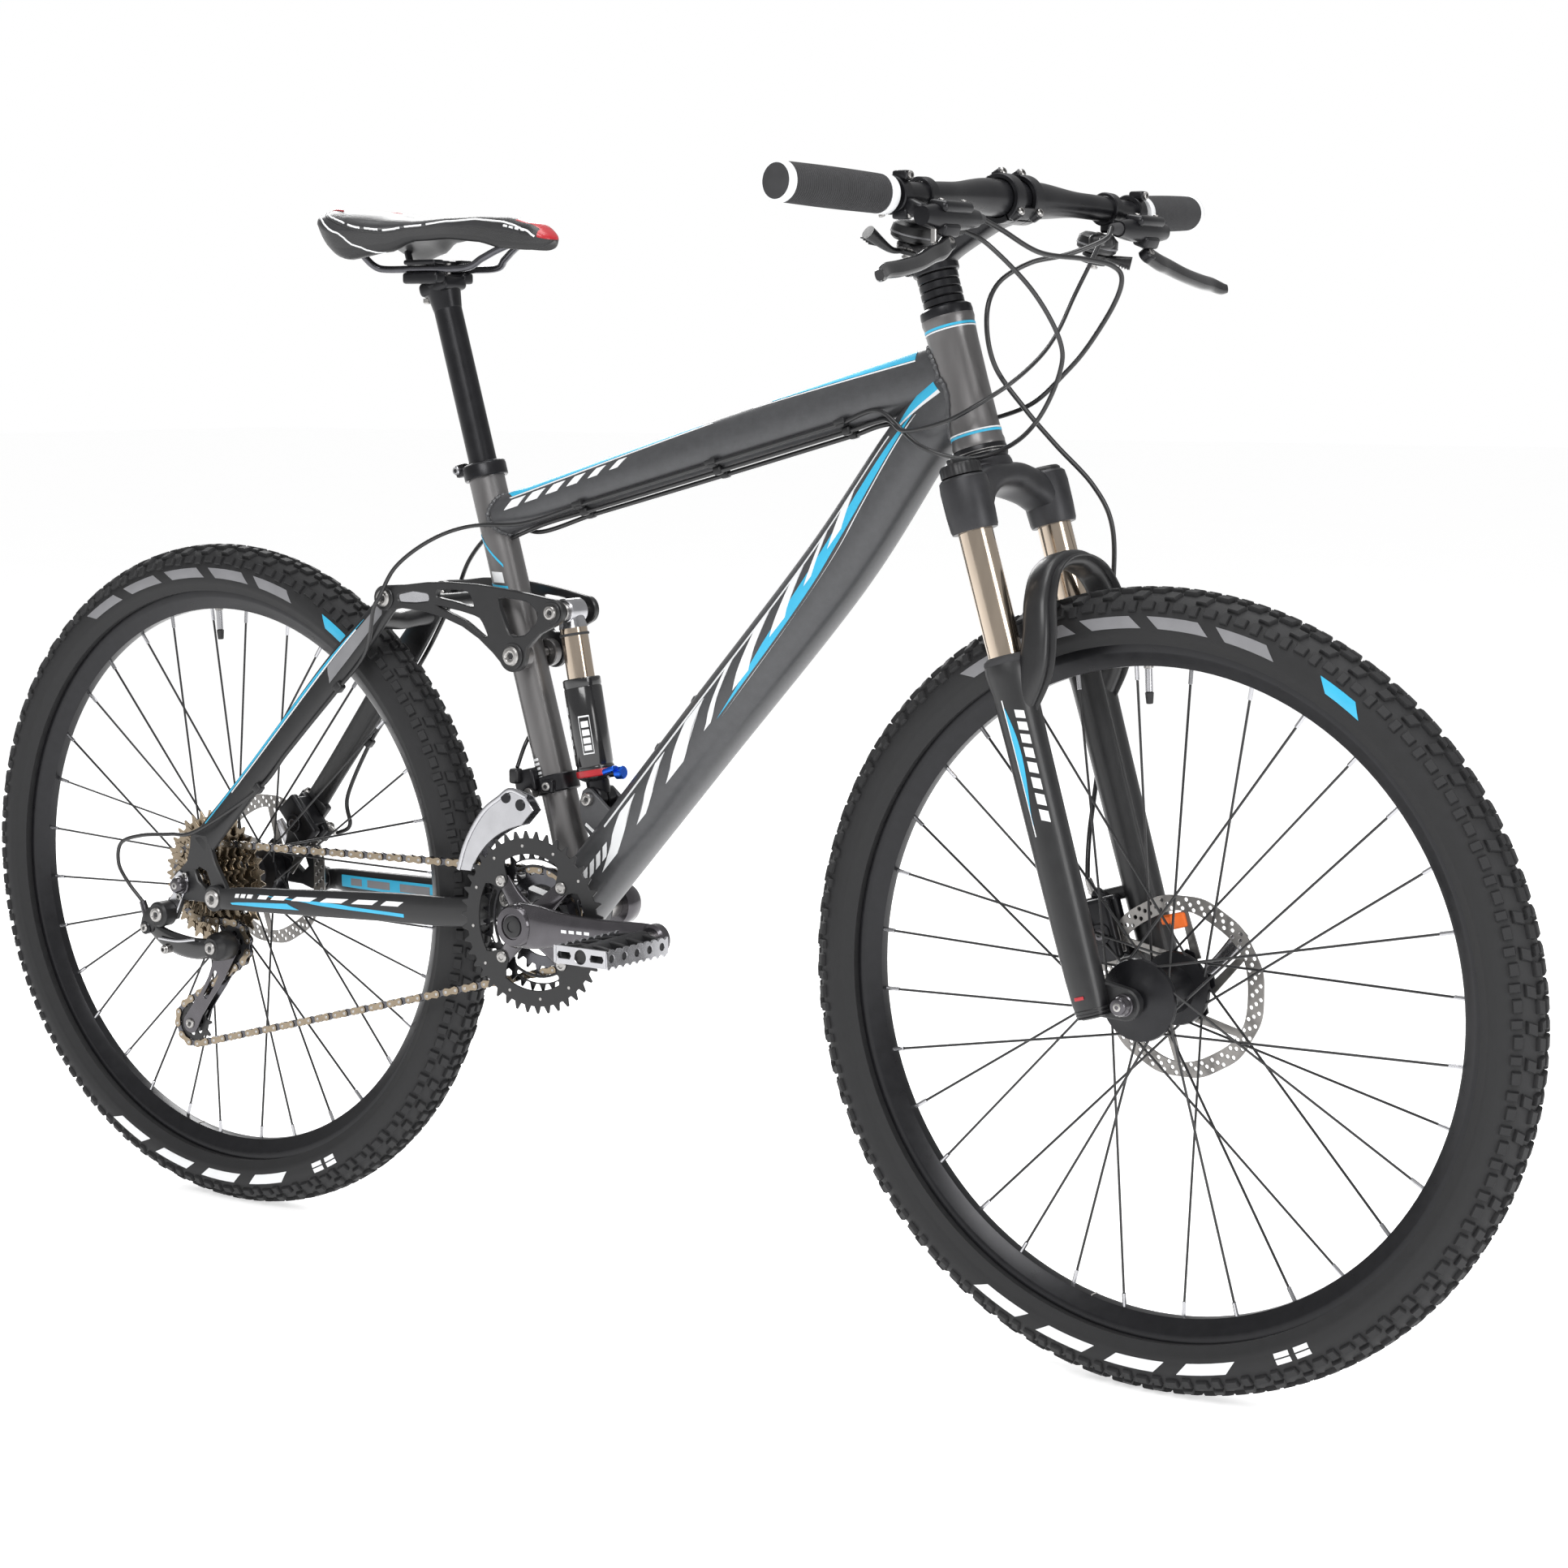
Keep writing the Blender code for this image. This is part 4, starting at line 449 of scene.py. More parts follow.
class Form:
    """A tube of oval sections along a smooth path, sized (width along Y, depth)."""

    def __init__(self, points, sizes, power=2.0, per=8, wide=(0.0, 1.0, 0.0)):
        self.path = smooth_path(points, per)
        self.wide = Vector(wide)
        padded = smooth_path([Vector((w, d, 0.0)) for w, d in sizes], per)
        self.sizes = [(p.x, p.y) for p in padded]
        self.power = power

    def frame_at(self, share):
        place = min(max(share, 0.0), 1.0) * (len(self.path) - 1)
        i = min(int(place), len(self.path) - 2)
        t = place - i
        point = self.path[i].lerp(self.path[i + 1], t)
        before = self.path[max(i - 1, 0)]
        after = self.path[min(i + 2, len(self.path) - 1)]
        run = (after - before).normalized()
        wide = (self.wide - run * self.wide.dot(run)).normalized()
        width = self.sizes[i][0] * (1 - t) + self.sizes[i + 1][0] * t
        depth = self.sizes[i][1] * (1 - t) + self.sizes[i + 1][1] * t
        return point, wide, run.cross(wide), width / 2, depth / 2

    def at(self, share, angle, lift=0.0):
        """A surface point; angle 0 is the left side, a quarter turn the upper side."""
        point, wide, deep, half_width, half_depth = self.frame_at(share)
        c = math.cos(angle)
        s = math.sin(angle)
        bend = 2.0 / self.power
        across = math.copysign(abs(c) ** bend, c)
        up = math.copysign(abs(s) ** bend, s)
        return point + wide * across * (half_width + lift) + deep * up * (half_depth + lift)

    def body(self, shape, look, steps=40, sides=40):
        rings = [[self.at(i / steps, TAU * k / sides) for k in range(sides)] for i in range(steps + 1)]
        shape.sections(rings, look)

    def decal(self, shape, look, start, end, low, high, slant=0.0, lift=0.0003, steps=28, across=6):
        """A thin sheet on the tube between two shares; low and high are angles in degrees or functions."""
        def row(i, columns, height):
            t = i / steps
            a = low(t) if callable(low) else low
            b = high(t) if callable(high) else high
            return [self.at(start + (end - start) * t + slant * (k / across - 0.5),
                math.radians(a + (b - a) * (k / across)), height) for k in columns]

        there = range(across + 1)
        shape.sections([row(i, there, lift) + row(i, there[::-1], -MARK_SINK) for i in range(steps + 1)],
            look)

    def mark(self, shape, side, look, start, end, low, high, slant=0.0, lift=0.0003, steps=28, across=6):
        """A decal on one side; low and high are degrees above its middle, fixed or as in above_side."""
        self.decal(shape, look, start, end, above_side(side, low), above_side(side, high), slant, lift,
            steps, across)


def above_side(side, above):
    """A mark's angle as a function of t; above is in degrees: fixed, (first, change) or a function."""
    if callable(above):
        return lambda t: side_angle(side, above(t))
    first, change = above if isinstance(above, tuple) else (above, 0)
    return lambda t: side_angle(side, first + change * t)


def across_blend(obj, a, b, start, end):
    """Bake the piece's transform into its mesh; the two bodies and the two points, which are measured from
    the crank axis, are not used.
    """
    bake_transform(obj)


# --- wheels --------------------------------------------------------------------------------

CASING_RADIUS = 0.3165
CASING_HEIGHT = 0.0258
CASING_WIDTH = 0.0268
TREAD_PITCHES = 72
RIM_JOINT_TURN = 4.5
VALVE_TURN = math.radians(93)
SPOKE_SWEEP = math.radians(54)


def casing_point(centre, turn, lateral, lift=0.0):
    """A point on the tyre: turn runs round the wheel, lateral is 0 on the crown and positive to the left."""
    radius = CASING_RADIUS + (CASING_HEIGHT + lift) * math.cos(lateral)
    y = (CASING_WIDTH + lift) * math.sin(lateral)
    return centre + around(turn, radius, y)


def knob(shape, centre, turn, lateral, length, width, height, skew):
    """One tapered tread block, length round the wheel and width across it."""
    rings = []
    for level, shrink in ((-0.001, 1.12), (height * 0.72, 1.0), (height, 0.84)):
        ring = []
        for along, aside in ((-1, -1), (1, -1), (1, 1), (-1, 1)):
            turned = turn + (along * length * shrink / 2 + aside * skew) / TYRE_OUTER
            leaned = lateral + aside * width * shrink / 2 / CASING_WIDTH
            ring.append(casing_point(centre, turned, leaned, level))
        rings.append(ring)
    shape.sections(rings, TYRE)


# Tread blocks of one pitch: place in the pitch, angle from the crown, length, width, height, skew
TREAD_BLOCKS = ((0.0, 0.2, 0.0115, 0.0072, 0.0038, 0.0009), (0.5, 0.15, 0.008, 0.005, 0.0038, -0.0008),
    (0.45, 0.56, 0.01, 0.0082, 0.0036, 0.0016), (0.1, 0.98, 0.011, 0.007, 0.0036, 0.0),
    (0.6, 1.02, 0.0075, 0.009, 0.0034, 0.0))


def tread(shape, centre):
    pitch = TAU / TREAD_PITCHES
    for i in range(TREAD_PITCHES):
        for side in FRAME_SIDES:
            for place, lateral, length, width, height, skew in TREAD_BLOCKS:
                knob(shape, centre, (i + place) * pitch, side * lateral, length, width, height, side * skew)


def tyre_profile():
    """The casing with a raised bead line and two fine ribs on each side."""
    rim_edge = math.radians(132)
    profile = []
    count = 44
    for i in range(count + 1):
        lateral = -rim_edge + 2 * rim_edge * i / count
        share = abs(lateral) / rim_edge
        rib = 0.0007 if share > 0.955 or 0.8 < share < 0.83 else 0.0
        profile.append((CASING_RADIUS + (CASING_HEIGHT + rib) * math.cos(lateral),
            (CASING_WIDTH + rib) * math.sin(lateral)))
    lip = RIM_OUTER + 0.0006
    profile += [(lip, RIM_HALF_WIDTH - 0.0003), (lip, -RIM_HALF_WIDTH + 0.0003)]
    return profile


def side_mark(shape, centre, side, look, first, last, low=1.33, high=1.72, slant=0.035):
    """A thin raised mark on a sidewall between two turns, slanted like an italic stroke."""
    steps = max(2, int(abs(last - first) / 0.03))
    rings = []
    for i in range(steps + 1):
        turn = first + (last - first) * i / steps
        rings.append([casing_point(centre, turn + slant * (0.5 - k / 4),
            side * (low + (high - low) * k / 4), lift) for lift,
            columns in ((0.0003, range(5)), (-0.0004, range(4, -1, -1))) for k in columns])
    shape.sections(rings, look)


def side_marks(shape, centre):
    """Generic bars instead of lettering: grey above, a blue tab, white below."""
    for side in FRAME_SIDES:
        for k in range(5):
            start = math.radians(124 - 11.5 * k)
            side_mark(shape, centre, side, GREY_MARK, start, start - math.radians(8.5))
        side_mark(shape, centre, side, CYAN, math.radians(60), math.radians(53.5))
        for k in range(4):
            start = math.radians(240 + 12.5 * k)
            side_mark(shape, centre, side, WHITE, start, start + math.radians(8.5), slant=-0.035)
        for k in range(2):
            for level in (1.33, 1.55):
                start = math.radians(294 + 3.6 * k)
                side_mark(shape, centre, side, WHITE, start, start + math.radians(2.6), level, level + 0.17,
                    0.0)


def tyre(centre, label):
    shape = Shape(TYRE)
    place = toward((0, 1, 0), centre)
    shape.lathe(tyre_profile(), place, TYRE, 144)
    tread(shape, centre)
    side_marks(shape, centre)
    shape.piece(f"{label}_tyre_casing", f"{label}_wheel", "tyre_rubber", (f"{label}_tyre",), 40)


def rim(centre, label):
    w = RIM_HALF_WIDTH
    shape = Shape(ANODISED)
    place = toward((0, 1, 0), centre)
    profile = [(RIM_OUTER, w - 0.0016), (RIM_OUTER + 0.0022, w - 0.001), (RIM_OUTER + 0.0022, w),
        (RIM_OUTER - 0.0055, w + 0.0002), (RIM_OUTER - 0.0075, w - 0.0008), (RIM_INNER + 0.003, w * 0.52),
        (RIM_INNER + 0.0004, w * 0.36), (RIM_INNER, 0.0)]
    shape.lathe(profile + [(r, -y) for r, y in profile[-2::-1]], place, ANODISED, 144)
    for side in FRAME_SIDES:
        y = side * (w + 0.0001)
        line = [(RIM_OUTER + 0.002, y), (RIM_OUTER + 0.002, y + side * 0.0003),
            (RIM_OUTER + 0.0008, y + side * 0.0003), (RIM_OUTER + 0.0008, y)]
        shape.lathe(line, place, STEEL, 144)
    shape.box(centre + around(RIM_JOINT_TURN, RIM_INNER), (0.0006, 0.01, 0.002), STEEL)
    outward = around(VALVE_TURN)
    foot = centre + outward * (RIM_INNER + 0.002)
    shape.rod(foot, foot - outward * 0.004, 0.0042, STEEL, 20)
    shape.rod(foot, foot - outward * 0.024, 0.0032, SILVER, 20)
    shape.rod(foot - outward * 0.024, foot - outward * 0.034, 0.0038, PLASTIC, 20, end_radius=0.003)
    shape.piece(f"{label}_rim_ring", f"{label}_wheel", "black_alloy", (f"{label}_rim",))


def lacing(shape, centre, flanges):
    """Crossed spokes with their heads at the flanges and nipples at the rim."""
    for i in range(SPOKES):
        flange_y, flange_radius = flanges[i % 2]
        lead = 1 if (i // 2) % 2 == 0 else -1
        at_rim = TAU * (i + 0.5) / SPOKES
        at_hub = at_rim + lead * SPOKE_SWEEP
        outside = 0.0016 * lead * (1 if flange_y > 0 else -1)
        start = centre + around(at_hub, flange_radius, flange_y + outside)
        end = centre + around(at_rim, RIM_INNER, math.copysign(0.0026, flange_y))
        run = (end - start).normalized()
        shape.rod(start, end, 0.00115, BLACK, 8, 0.0)
        shape.rod(end - run * 0.012, end + run * 0.002, 0.0019, SILVER, 8, 0.0003)
        shape.rod(start - sideways(outside * 1.6), start + sideways(outside * 0.6), 0.0016, STEEL, 10)


def hub(centre, label, profile, flanges, rotor_y):
    shape = Shape(ANODISED)
    place = toward((0, 1, 0), centre)
    shape.lathe(profile, place, ANODISED, 48)
    lacing(shape, centre, flanges)
    for k in range(6):
        x, z = polar(centre, 0.0195, TAU * k / 6)
        shape.bolt((x, rotor_y + 0.0006, z), (0, 1, 0), 0.0026, 0.0022)
    shape.piece(f"{label}_hub_and_wire_spokes", f"{label}_wheel", "black_alloy", (f"{label}_hub_and_spokes",))


def rotor(centre, label, y):
    """A drilled braking ring on six slanted arms and a black carrier."""
    outer = [polar(centre, ROTOR_RADIUS - 0.0006 * (1 + math.cos(12 * TAU * k / 144)), TAU * k / 144)
        for k in range(144)]
    inner = [polar(centre, 0.065 - 0.0012 * math.cos(6 * TAU * k / 72), TAU * k / 72) for k in range(72)]
    holes = []
    for k in range(40):
        for row, radius in enumerate((0.068, 0.072, 0.076)):
            spot = polar(centre, radius, TAU * (k + 0.36 * row) / 40)
            holes.append([polar(spot, 0.0019, TAU * i / 10) for i in range(10)])
    shape = Shape(ROTOR_STEEL)
    shape.plate([outer, inner] + holes, y - 0.0009, y + 0.0009, ROTOR_STEEL, 0.0002)
    for k in range(6):
        turn = TAU * k / 6
        root = polar(centre, 0.029, turn)
        tip = polar(centre, 0.0665, turn + 0.5)
        along = Vector((tip[0] - root[0], tip[1] - root[1])).normalized()
        side = Vector((-along.y, along.x))
        outline = [(end[0] + side.x * half, end[1] + side.y * half) for end,
            half in ((root, 0.0045), (root, -0.0045), (tip, -0.0032), (tip, 0.0032))]
        shape.plate([outline], y - 0.0008, y + 0.0008, ROTOR_STEEL, 0.0002)
    star = [polar(centre, 0.0335 if k % 4 < 2 else 0.0262, TAU * (k + 0.5) / 24) for k in range(24)]
    bore = [polar(centre, 0.015, TAU * k / 32) for k in range(32)]
    shape.plate([star, bore], y - 0.0013, y + 0.0013, ANODISED, 0.0003)
    shape.piece(f"{label}_brake_disc", f"{label}_wheel", "steel", (f"{label}_rotor",))


FRONT_HUB = [(0.009, 0.0495), (0.011, 0.0425), (0.0215, 0.0425), (0.022, 0.039), (0.0245, 0.0385),
    (0.0245, 0.034), (0.032, 0.0328), (0.0325, 0.03), (0.0315, 0.0275), (0.0205, 0.0245), (0.0185, 0.018),
    (0.018, 0.0), (0.0185, -0.022), (0.022, -0.029), (0.035, -0.0318), (0.0358, -0.034), (0.035, -0.0368),
    (0.024, -0.039), (0.019, -0.042), (0.01, -0.044), (0.009, -0.0495), (0.0053, -0.0495), (0.0053, 0.0495)]
REAR_HUB = [(0.009, 0.067), (0.011, 0.056), (0.0215, 0.0555), (0.022, 0.0512), (0.0245, 0.0505),
    (0.0245, 0.04), (0.0285, 0.036), (0.029, 0.033), (0.028, 0.0308), (0.019, 0.026), (0.0168, 0.02),
    (0.0165, -0.01), (0.019, -0.015), (0.028, -0.0178), (0.028, -0.0215), (0.02, -0.024), (0.016, -0.0255),
    (0.016, -0.064), (0.009, -0.0645), (0.009, -0.067), (0.0053, -0.067), (0.0053, 0.067)]


WHEELS = (("front", FRONT_AXLE, FRONT_HUB, ((0.0305, 0.0285), (-0.0345, 0.031)), FRONT_ROTOR_Y),
    ("rear", REAR_AXLE, REAR_HUB, ((0.0335, 0.025), (-0.0195, 0.0245)), REAR_ROTOR_Y))


def wheels():
    for label, axle, profile, flanges, rotor_y in WHEELS:
        tyre(axle, label)
        rim(axle, label)
        hub(axle, label, profile, flanges, rotor_y)
        rotor(axle, label, rotor_y)


# --- frame ---------------------------------------------------------------------------------

HEAD_PLACE = toward(STEER_UP, HEAD_FOOT)
TOP_TUBE = Form([flat(-0.08, 0.7298), flat(0.173, 0.8), flat(0.425, 0.8685)],
    [(0.034, 0.039), (0.042, 0.048), (0.037, 0.051)], 2.3, 16)
DOWN_TUBE = Form([flat(0.008, 0.36), flat(0.1585, 0.526), flat(0.309, 0.692), flat(0.395, 0.804),
    flat(0.442, 0.856)], [(0.056, 0.058), (0.055, 0.061), (0.054, 0.063), (0.047, 0.059), (0.042, 0.05)],
    2.5, 12)


def side_angle(side, above):
    """An angle on a tube, given in degrees above the middle of one side."""
    return 180.0 - above if side == RIGHT else above


def weld(shape, form, share, centre, axis, radius):
    """A rippled bead where a tube meets a round tube about an axis."""
    run = (form.frame_at(share)[0] - form.frame_at(0.5)[0]).normalized()
    axis = Vector(axis).normalized()
    points = []
    radii = []
    count = 96
    for k in range(count + 1):
        start = form.at(share, TAU * k / count) - run * 0.08
        away = start - centre
        away -= axis * away.dot(axis)
        step = run - axis * run.dot(axis)
        a = step.dot(step)
        b = 2 * away.dot(step)
        c = away.dot(away) - (radius + 0.0002) ** 2
        root = b * b - 4 * a * c
        if root > 0:
            points.append(start + run * (-b - math.sqrt(root)) / (2 * a))
            radii.append(0.0023 + 0.0005 * math.sin(k * TAU / 3.2))
    if len(points) > 8:
        shape.tube(points, radii, PAINT, 8)


def head_tube(shape):
    profile = [(0.0231, 0.0), (0.0233, 0.003), (0.0224, 0.007), (HEAD_TUBE_RADIUS, 0.022), (0.0216, 0.058),
        (HEAD_TUBE_RADIUS, 0.094), (0.0224, 0.109), (0.0233, 0.113), (0.0231, HEAD_LENGTH),
        (0.015, HEAD_LENGTH), (0.015, 0.0)]
    shape.lathe(profile, HEAD_PLACE, PAINT_LIGHT, 64)
    for height, look, depth in ((0.01, CYAN, 0.0022), (0.0126, WHITE, 0.0012), (0.1035, WHITE, 0.0012),
            (0.1053, CYAN, 0.0022)):
        ring = [(0.0226, height), (0.0226, height + depth), (0.0205, height + depth), (0.0205, height)]
        shape.lathe(ring, HEAD_PLACE, look, 64)


def seat_tube(shape):
    run = SEAT_TOP - SEAT_FOOT
    place = toward(run, SEAT_FOOT)
    r = SEAT_TUBE_RADIUS
    profile = [(0.0, -0.01), (r + 0.001, -0.01), (r + 0.0008, 0.02), (r, 0.05), (r, run.length - 0.001),
        (r - 0.0008, run.length), (SEATPOST_RADIUS + GAP, run.length),
        (SEATPOST_RADIUS + GAP, run.length - 0.172), (0.0, run.length - 0.172)]
    shape.lathe(profile, place, PAINT_LIGHT, 56)


def seat_tube_marks(shape):
    """A slanted blue line and a white bar above the rocker."""
    tube = Form([SEAT_FOOT, (SEAT_FOOT + SEAT_TOP) / 2, SEAT_TOP], [(SEAT_TUBE_RADIUS * 2,) * 2] * 3, 2.0, 12)
    for side in FRAME_SIDES:
        tube.mark(shape, side, CYAN, 0.79, 0.798, -28, 44, 0.085, 0.0004, 6, 12)
        tube.mark(shape, side, CYAN, 0.69, 0.712, -28, 50, 0.02, 0.0004, 6, 12)
        tube.mark(shape, side, WHITE, 0.716, 0.742, -20, 22, 0.01, 0.0004, 6, 8)
        for k in range(5):
            start = 0.242 + 0.011 * k
            tube.mark(shape, side, WHITE, start, start + 0.006, 6, 40, 0.0, 0.0004, 3, 8)


def top_tube_marks(shape):
    for side in FRAME_SIDES:
        TOP_TUBE.mark(shape, side, CYAN, 0.045, 0.5, (40, 14), (74, -18), -0.02)
        TOP_TUBE.mark(shape, side, WHITE, 0.05, 0.53, (34, 15), (38, 14.5), -0.004)
        for k in range(6):
            start = 0.045 + 0.052 * k
            TOP_TUBE.mark(shape, side, WHITE, start, start + 0.034 - 0.003 * k, 6 + 2 * k, 27 + 1.5 * k,
                0.022, 0.0004, 6, 6)
        TOP_TUBE.mark(shape, side, CYAN, 0.66, 0.965, (58, -20), (62, 6))
        TOP_TUBE.mark(shape, side, WHITE, 0.62, 0.965, (54, -21), (56.5, -20))


def down_tube_marks(shape):
    """White strokes over a tapered blue sweep, and a blue wedge behind the head tube."""
    strokes = (0.03, 0.018, 0.034, 0.012, 0.028, 0.028, 0.016, 0.036)
    for side in FRAME_SIDES:
        DOWN_TUBE.mark(shape, side, WHITE, 0.11, 0.745, (24, 8), (28.5, 6))
        DOWN_TUBE.mark(shape, side, CYAN, 0.33, 0.8, (-12, 26),
            lambda t: -2 + 22 * t + 10 * math.sin(math.pi * t), 0.06)
        DOWN_TUBE.mark(shape, side, WHITE, 0.33, 0.815, (-16, 29), (-12.5, 26.5), 0.05, 0.0004)
        start = 0.105
        for k, long in enumerate(strokes):
            low = -20 + 4.0 * k
            DOWN_TUBE.mark(shape, side, WHITE, start, start + long, low, min(low + 36, 26 + k), 0.065,
                0.0005, 8, 8)
            start += long + 0.042
        DOWN_TUBE.mark(shape, side, WHITE, 0.77, 0.965, (26, -20), (29, -16))
        DOWN_TUBE.mark(shape, side, CYAN, 0.78, 0.965, (29, -18),
            lambda t: 31 + 8 * t + 14 * math.sin(math.pi * min(1.0, t * 1.2) / 2))
        for k in range(5):
            first = 0.036 + 0.013 * k
            DOWN_TUBE.mark(shape, side, WHITE, first, first + 0.008, -8, 3, 0.012, 0.0003, 3, 4)


def bottle_boss(shape, label):
    """A rivet nut with its bolt on the down tube's upper side."""
    mount = next(m for m in frame["record"]["mounts"] if m["name"] == f"bottle_boss_{label}")
    point = Vector(mount["pos_m"]) - TO_FRAME
    normal = Vector(mount["axis"]).normalized()
    shape.collar(point - normal * 0.0025, point, 0.004, 0.007, PAINT, 32)
    shape.bolt(point - normal * 0.0012, normal, 0.0042, 0.003)


def shock_bracket(shape):
    """Two ears on a gusset that stands on the down tube."""
    ear = [(0.03, 0.474), (0.0345, 0.4772), (0.04, 0.4765), (0.048, 0.47), (0.064, 0.457), (0.076, 0.45),
        (0.062, 0.423), (0.05, 0.4), (0.025, 0.385), (0.026, 0.398), (0.037, 0.406), (0.0425, 0.414),
        (0.043, 0.424), (0.038, 0.432), (0.031, 0.44), (0.0268, 0.452), (0.0265, 0.464)]
    base = [p for p in ear if p[1] < 0.452]
    for side in FRAME_SIDES:
        low, high = sorted((side * 0.0127, side * 0.018))
        shape.plate([ear], low, high, PAINT, 0.001)
        shape.bolt((SHOCK_FOOT.x, side * 0.018, SHOCK_FOOT.z), (0, side, 0), 0.0058, 0.003)
        bar = [(0.0335, 0.4415), (0.052, 0.429), (0.0535, 0.4315), (0.035, 0.444)]
        shape.plate([bar], *sorted((side * 0.018, side * 0.0184)), WHITE, 0.0)
    shape.plate([base], -0.0128, 0.0128, PAINT, 0.001)


def cable_guides(shape):
    """Clips that hold three cables under the top tube."""
    for share in (0.21, 0.52, 0.8):
        under = TOP_TUBE.at(share, math.radians(216))
        shape.box(under, (0.012, 0.016, 0.005), PLASTIC, turn_y(-0.27), 0.0012)
        shape.bolt(under + Vector((0, -0.002, -0.001)), (0.1, -0.6, -0.8), 0.003, 0.003)


def bottom_shell(shape):
    shape.ring(BB, -0.0365, 0.0365, 0.0176, SHELL_RADIUS, PAINT, 64, 0.001)
    for side in FRAME_SIDES:
        shape.ring(BB, side * 0.0368, side * 0.0402, 0.0125, 0.0204, ANODISED, 48)


def pivot_lugs(shape):
    outline = lobes(((MAIN_PIVOT, 0.0135, 100), (BB, 0.019, -85)), 12)
    for side in FRAME_SIDES:
        shape.plate([outline], *sorted((side * 0.012, side * 0.0295)), PAINT, 0.0012)
        shape.ring(ROCKER_PIVOT, side * 0.0165, side * 0.0255, 0.0055, 0.0135, PAINT_LIGHT, 40, 0.001)


def main_frame():
    shape = Shape(PAINT, PAINT_LIGHT)
    TOP_TUBE.body(shape, PAINT, 48, 44)
    DOWN_TUBE.body(shape, PAINT, 72, 48)
    head_tube(shape)
    seat_tube(shape)
    bottom_shell(shape)
    pivot_lugs(shape)
    shock_bracket(shape)
    cable_guides(shape)
    bottle_boss(shape, "lower")
    bottle_boss(shape, "upper")
    weld(shape, TOP_TUBE, 0.98, HEAD_FOOT, STEER_UP, HEAD_TUBE_RADIUS)
    weld(shape, DOWN_TUBE, 0.98, HEAD_FOOT, STEER_UP, HEAD_TUBE_RADIUS)
    weld(shape, TOP_TUBE, 0.0, SEAT_TOP, SEAT_AXIS, SEAT_TUBE_RADIUS)
    weld(shape, DOWN_TUBE, 0.0, BB, (0, 1, 0), SHELL_RADIUS)
    shape.piece("frame_tubes", "frame", "frame_paint", ("main_frame", "bottom_bracket"), 30)
    marks = Shape(CYAN, WHITE, PAINT)
    top_tube_marks(marks)
    down_tube_marks(marks)
    seat_tube_marks(marks)
    marks.piece("frame_decals", "frame", "frame_paint")


def headset():
    shape = Shape(ANODISED)
    upper = [(0.0228, -0.0003), (0.0232, 0.003), (0.0226, 0.0075), (0.02, 0.0094), (0.015, 0.0094),
        (0.015, -0.0003)]
    shape.lathe(upper, toward(STEER_UP, steer(-HEAD_LENGTH)), ANODISED, 64)
    lower = [(0.023, 0.0003), (0.0236, 0.003), (0.0236, 0.0085), (0.0226, 0.0118), (0.015, 0.0118),
        (0.015, 0.0003)]
    shape.lathe(lower, toward(-STEER_UP, HEAD_FOOT), ANODISED, 64)
    for along in (0.0042, 0.0066):
        shape.collar(steer(along), steer(along + 0.0007), 0.0225, 0.024, STEEL, 64, 0.0002)
    shape.piece("headset_cups", "frame", "black_alloy", ("headset_upper_cup", "headset_lower_cup"))


SEAT_LEAN = turn_y(-math.atan2(-SEAT_AXIS.x, SEAT_AXIS.z))


def seat_clamp():
    """The split collar with its bolt behind the seat tube."""
    shape = Shape(ANODISED)
    place = toward(SEAT_AXIS, SEAT_TOP - SEAT_AXIS * 0.013)
    shape.lathe([(0.0206, 0.0), (0.0213, 0.0008), (0.0213, 0.0118), (0.0208, 0.0128), (0.0212, 0.0136),
        (0.02, 0.0145), (0.0141, 0.0145), (0.0141, 0.0137), (SEAT_TUBE_RADIUS + GAP, 0.0131),
        (SEAT_TUBE_RADIUS + GAP, 0.0)], place, ANODISED, 64)
    ear_centre = SEAT_TOP - SEAT_AXIS * 0.0058 + Vector((-0.0245, 0, 0))
    for side in FRAME_SIDES:
        shape.box(ear_centre + sideways(side * 0.0055), (0.012, 0.0085, 0.0125), ANODISED, SEAT_LEAN, 0.002)
        foot = ear_centre + Vector((-0.002, side * 0.0097, 0))
        shape.bolt(foot, (0, side, 0), 0.0042, 0.0038, SILVER)
    shape.piece("seat_clamp_collar", "frame", "black_alloy", ("seat_clamp",))


# --- seatpost and saddle -------------------------------------------------------------------

RAIL_Z = 0.967
RAIL_Y = 0.022
RAIL_RADIUS = 0.0035
CLAMP_X = -0.1585
SADDLE_NOSE_X = -0.0115
SADDLE_LENGTH = 0.268
POST_TOP_Z = 0.956


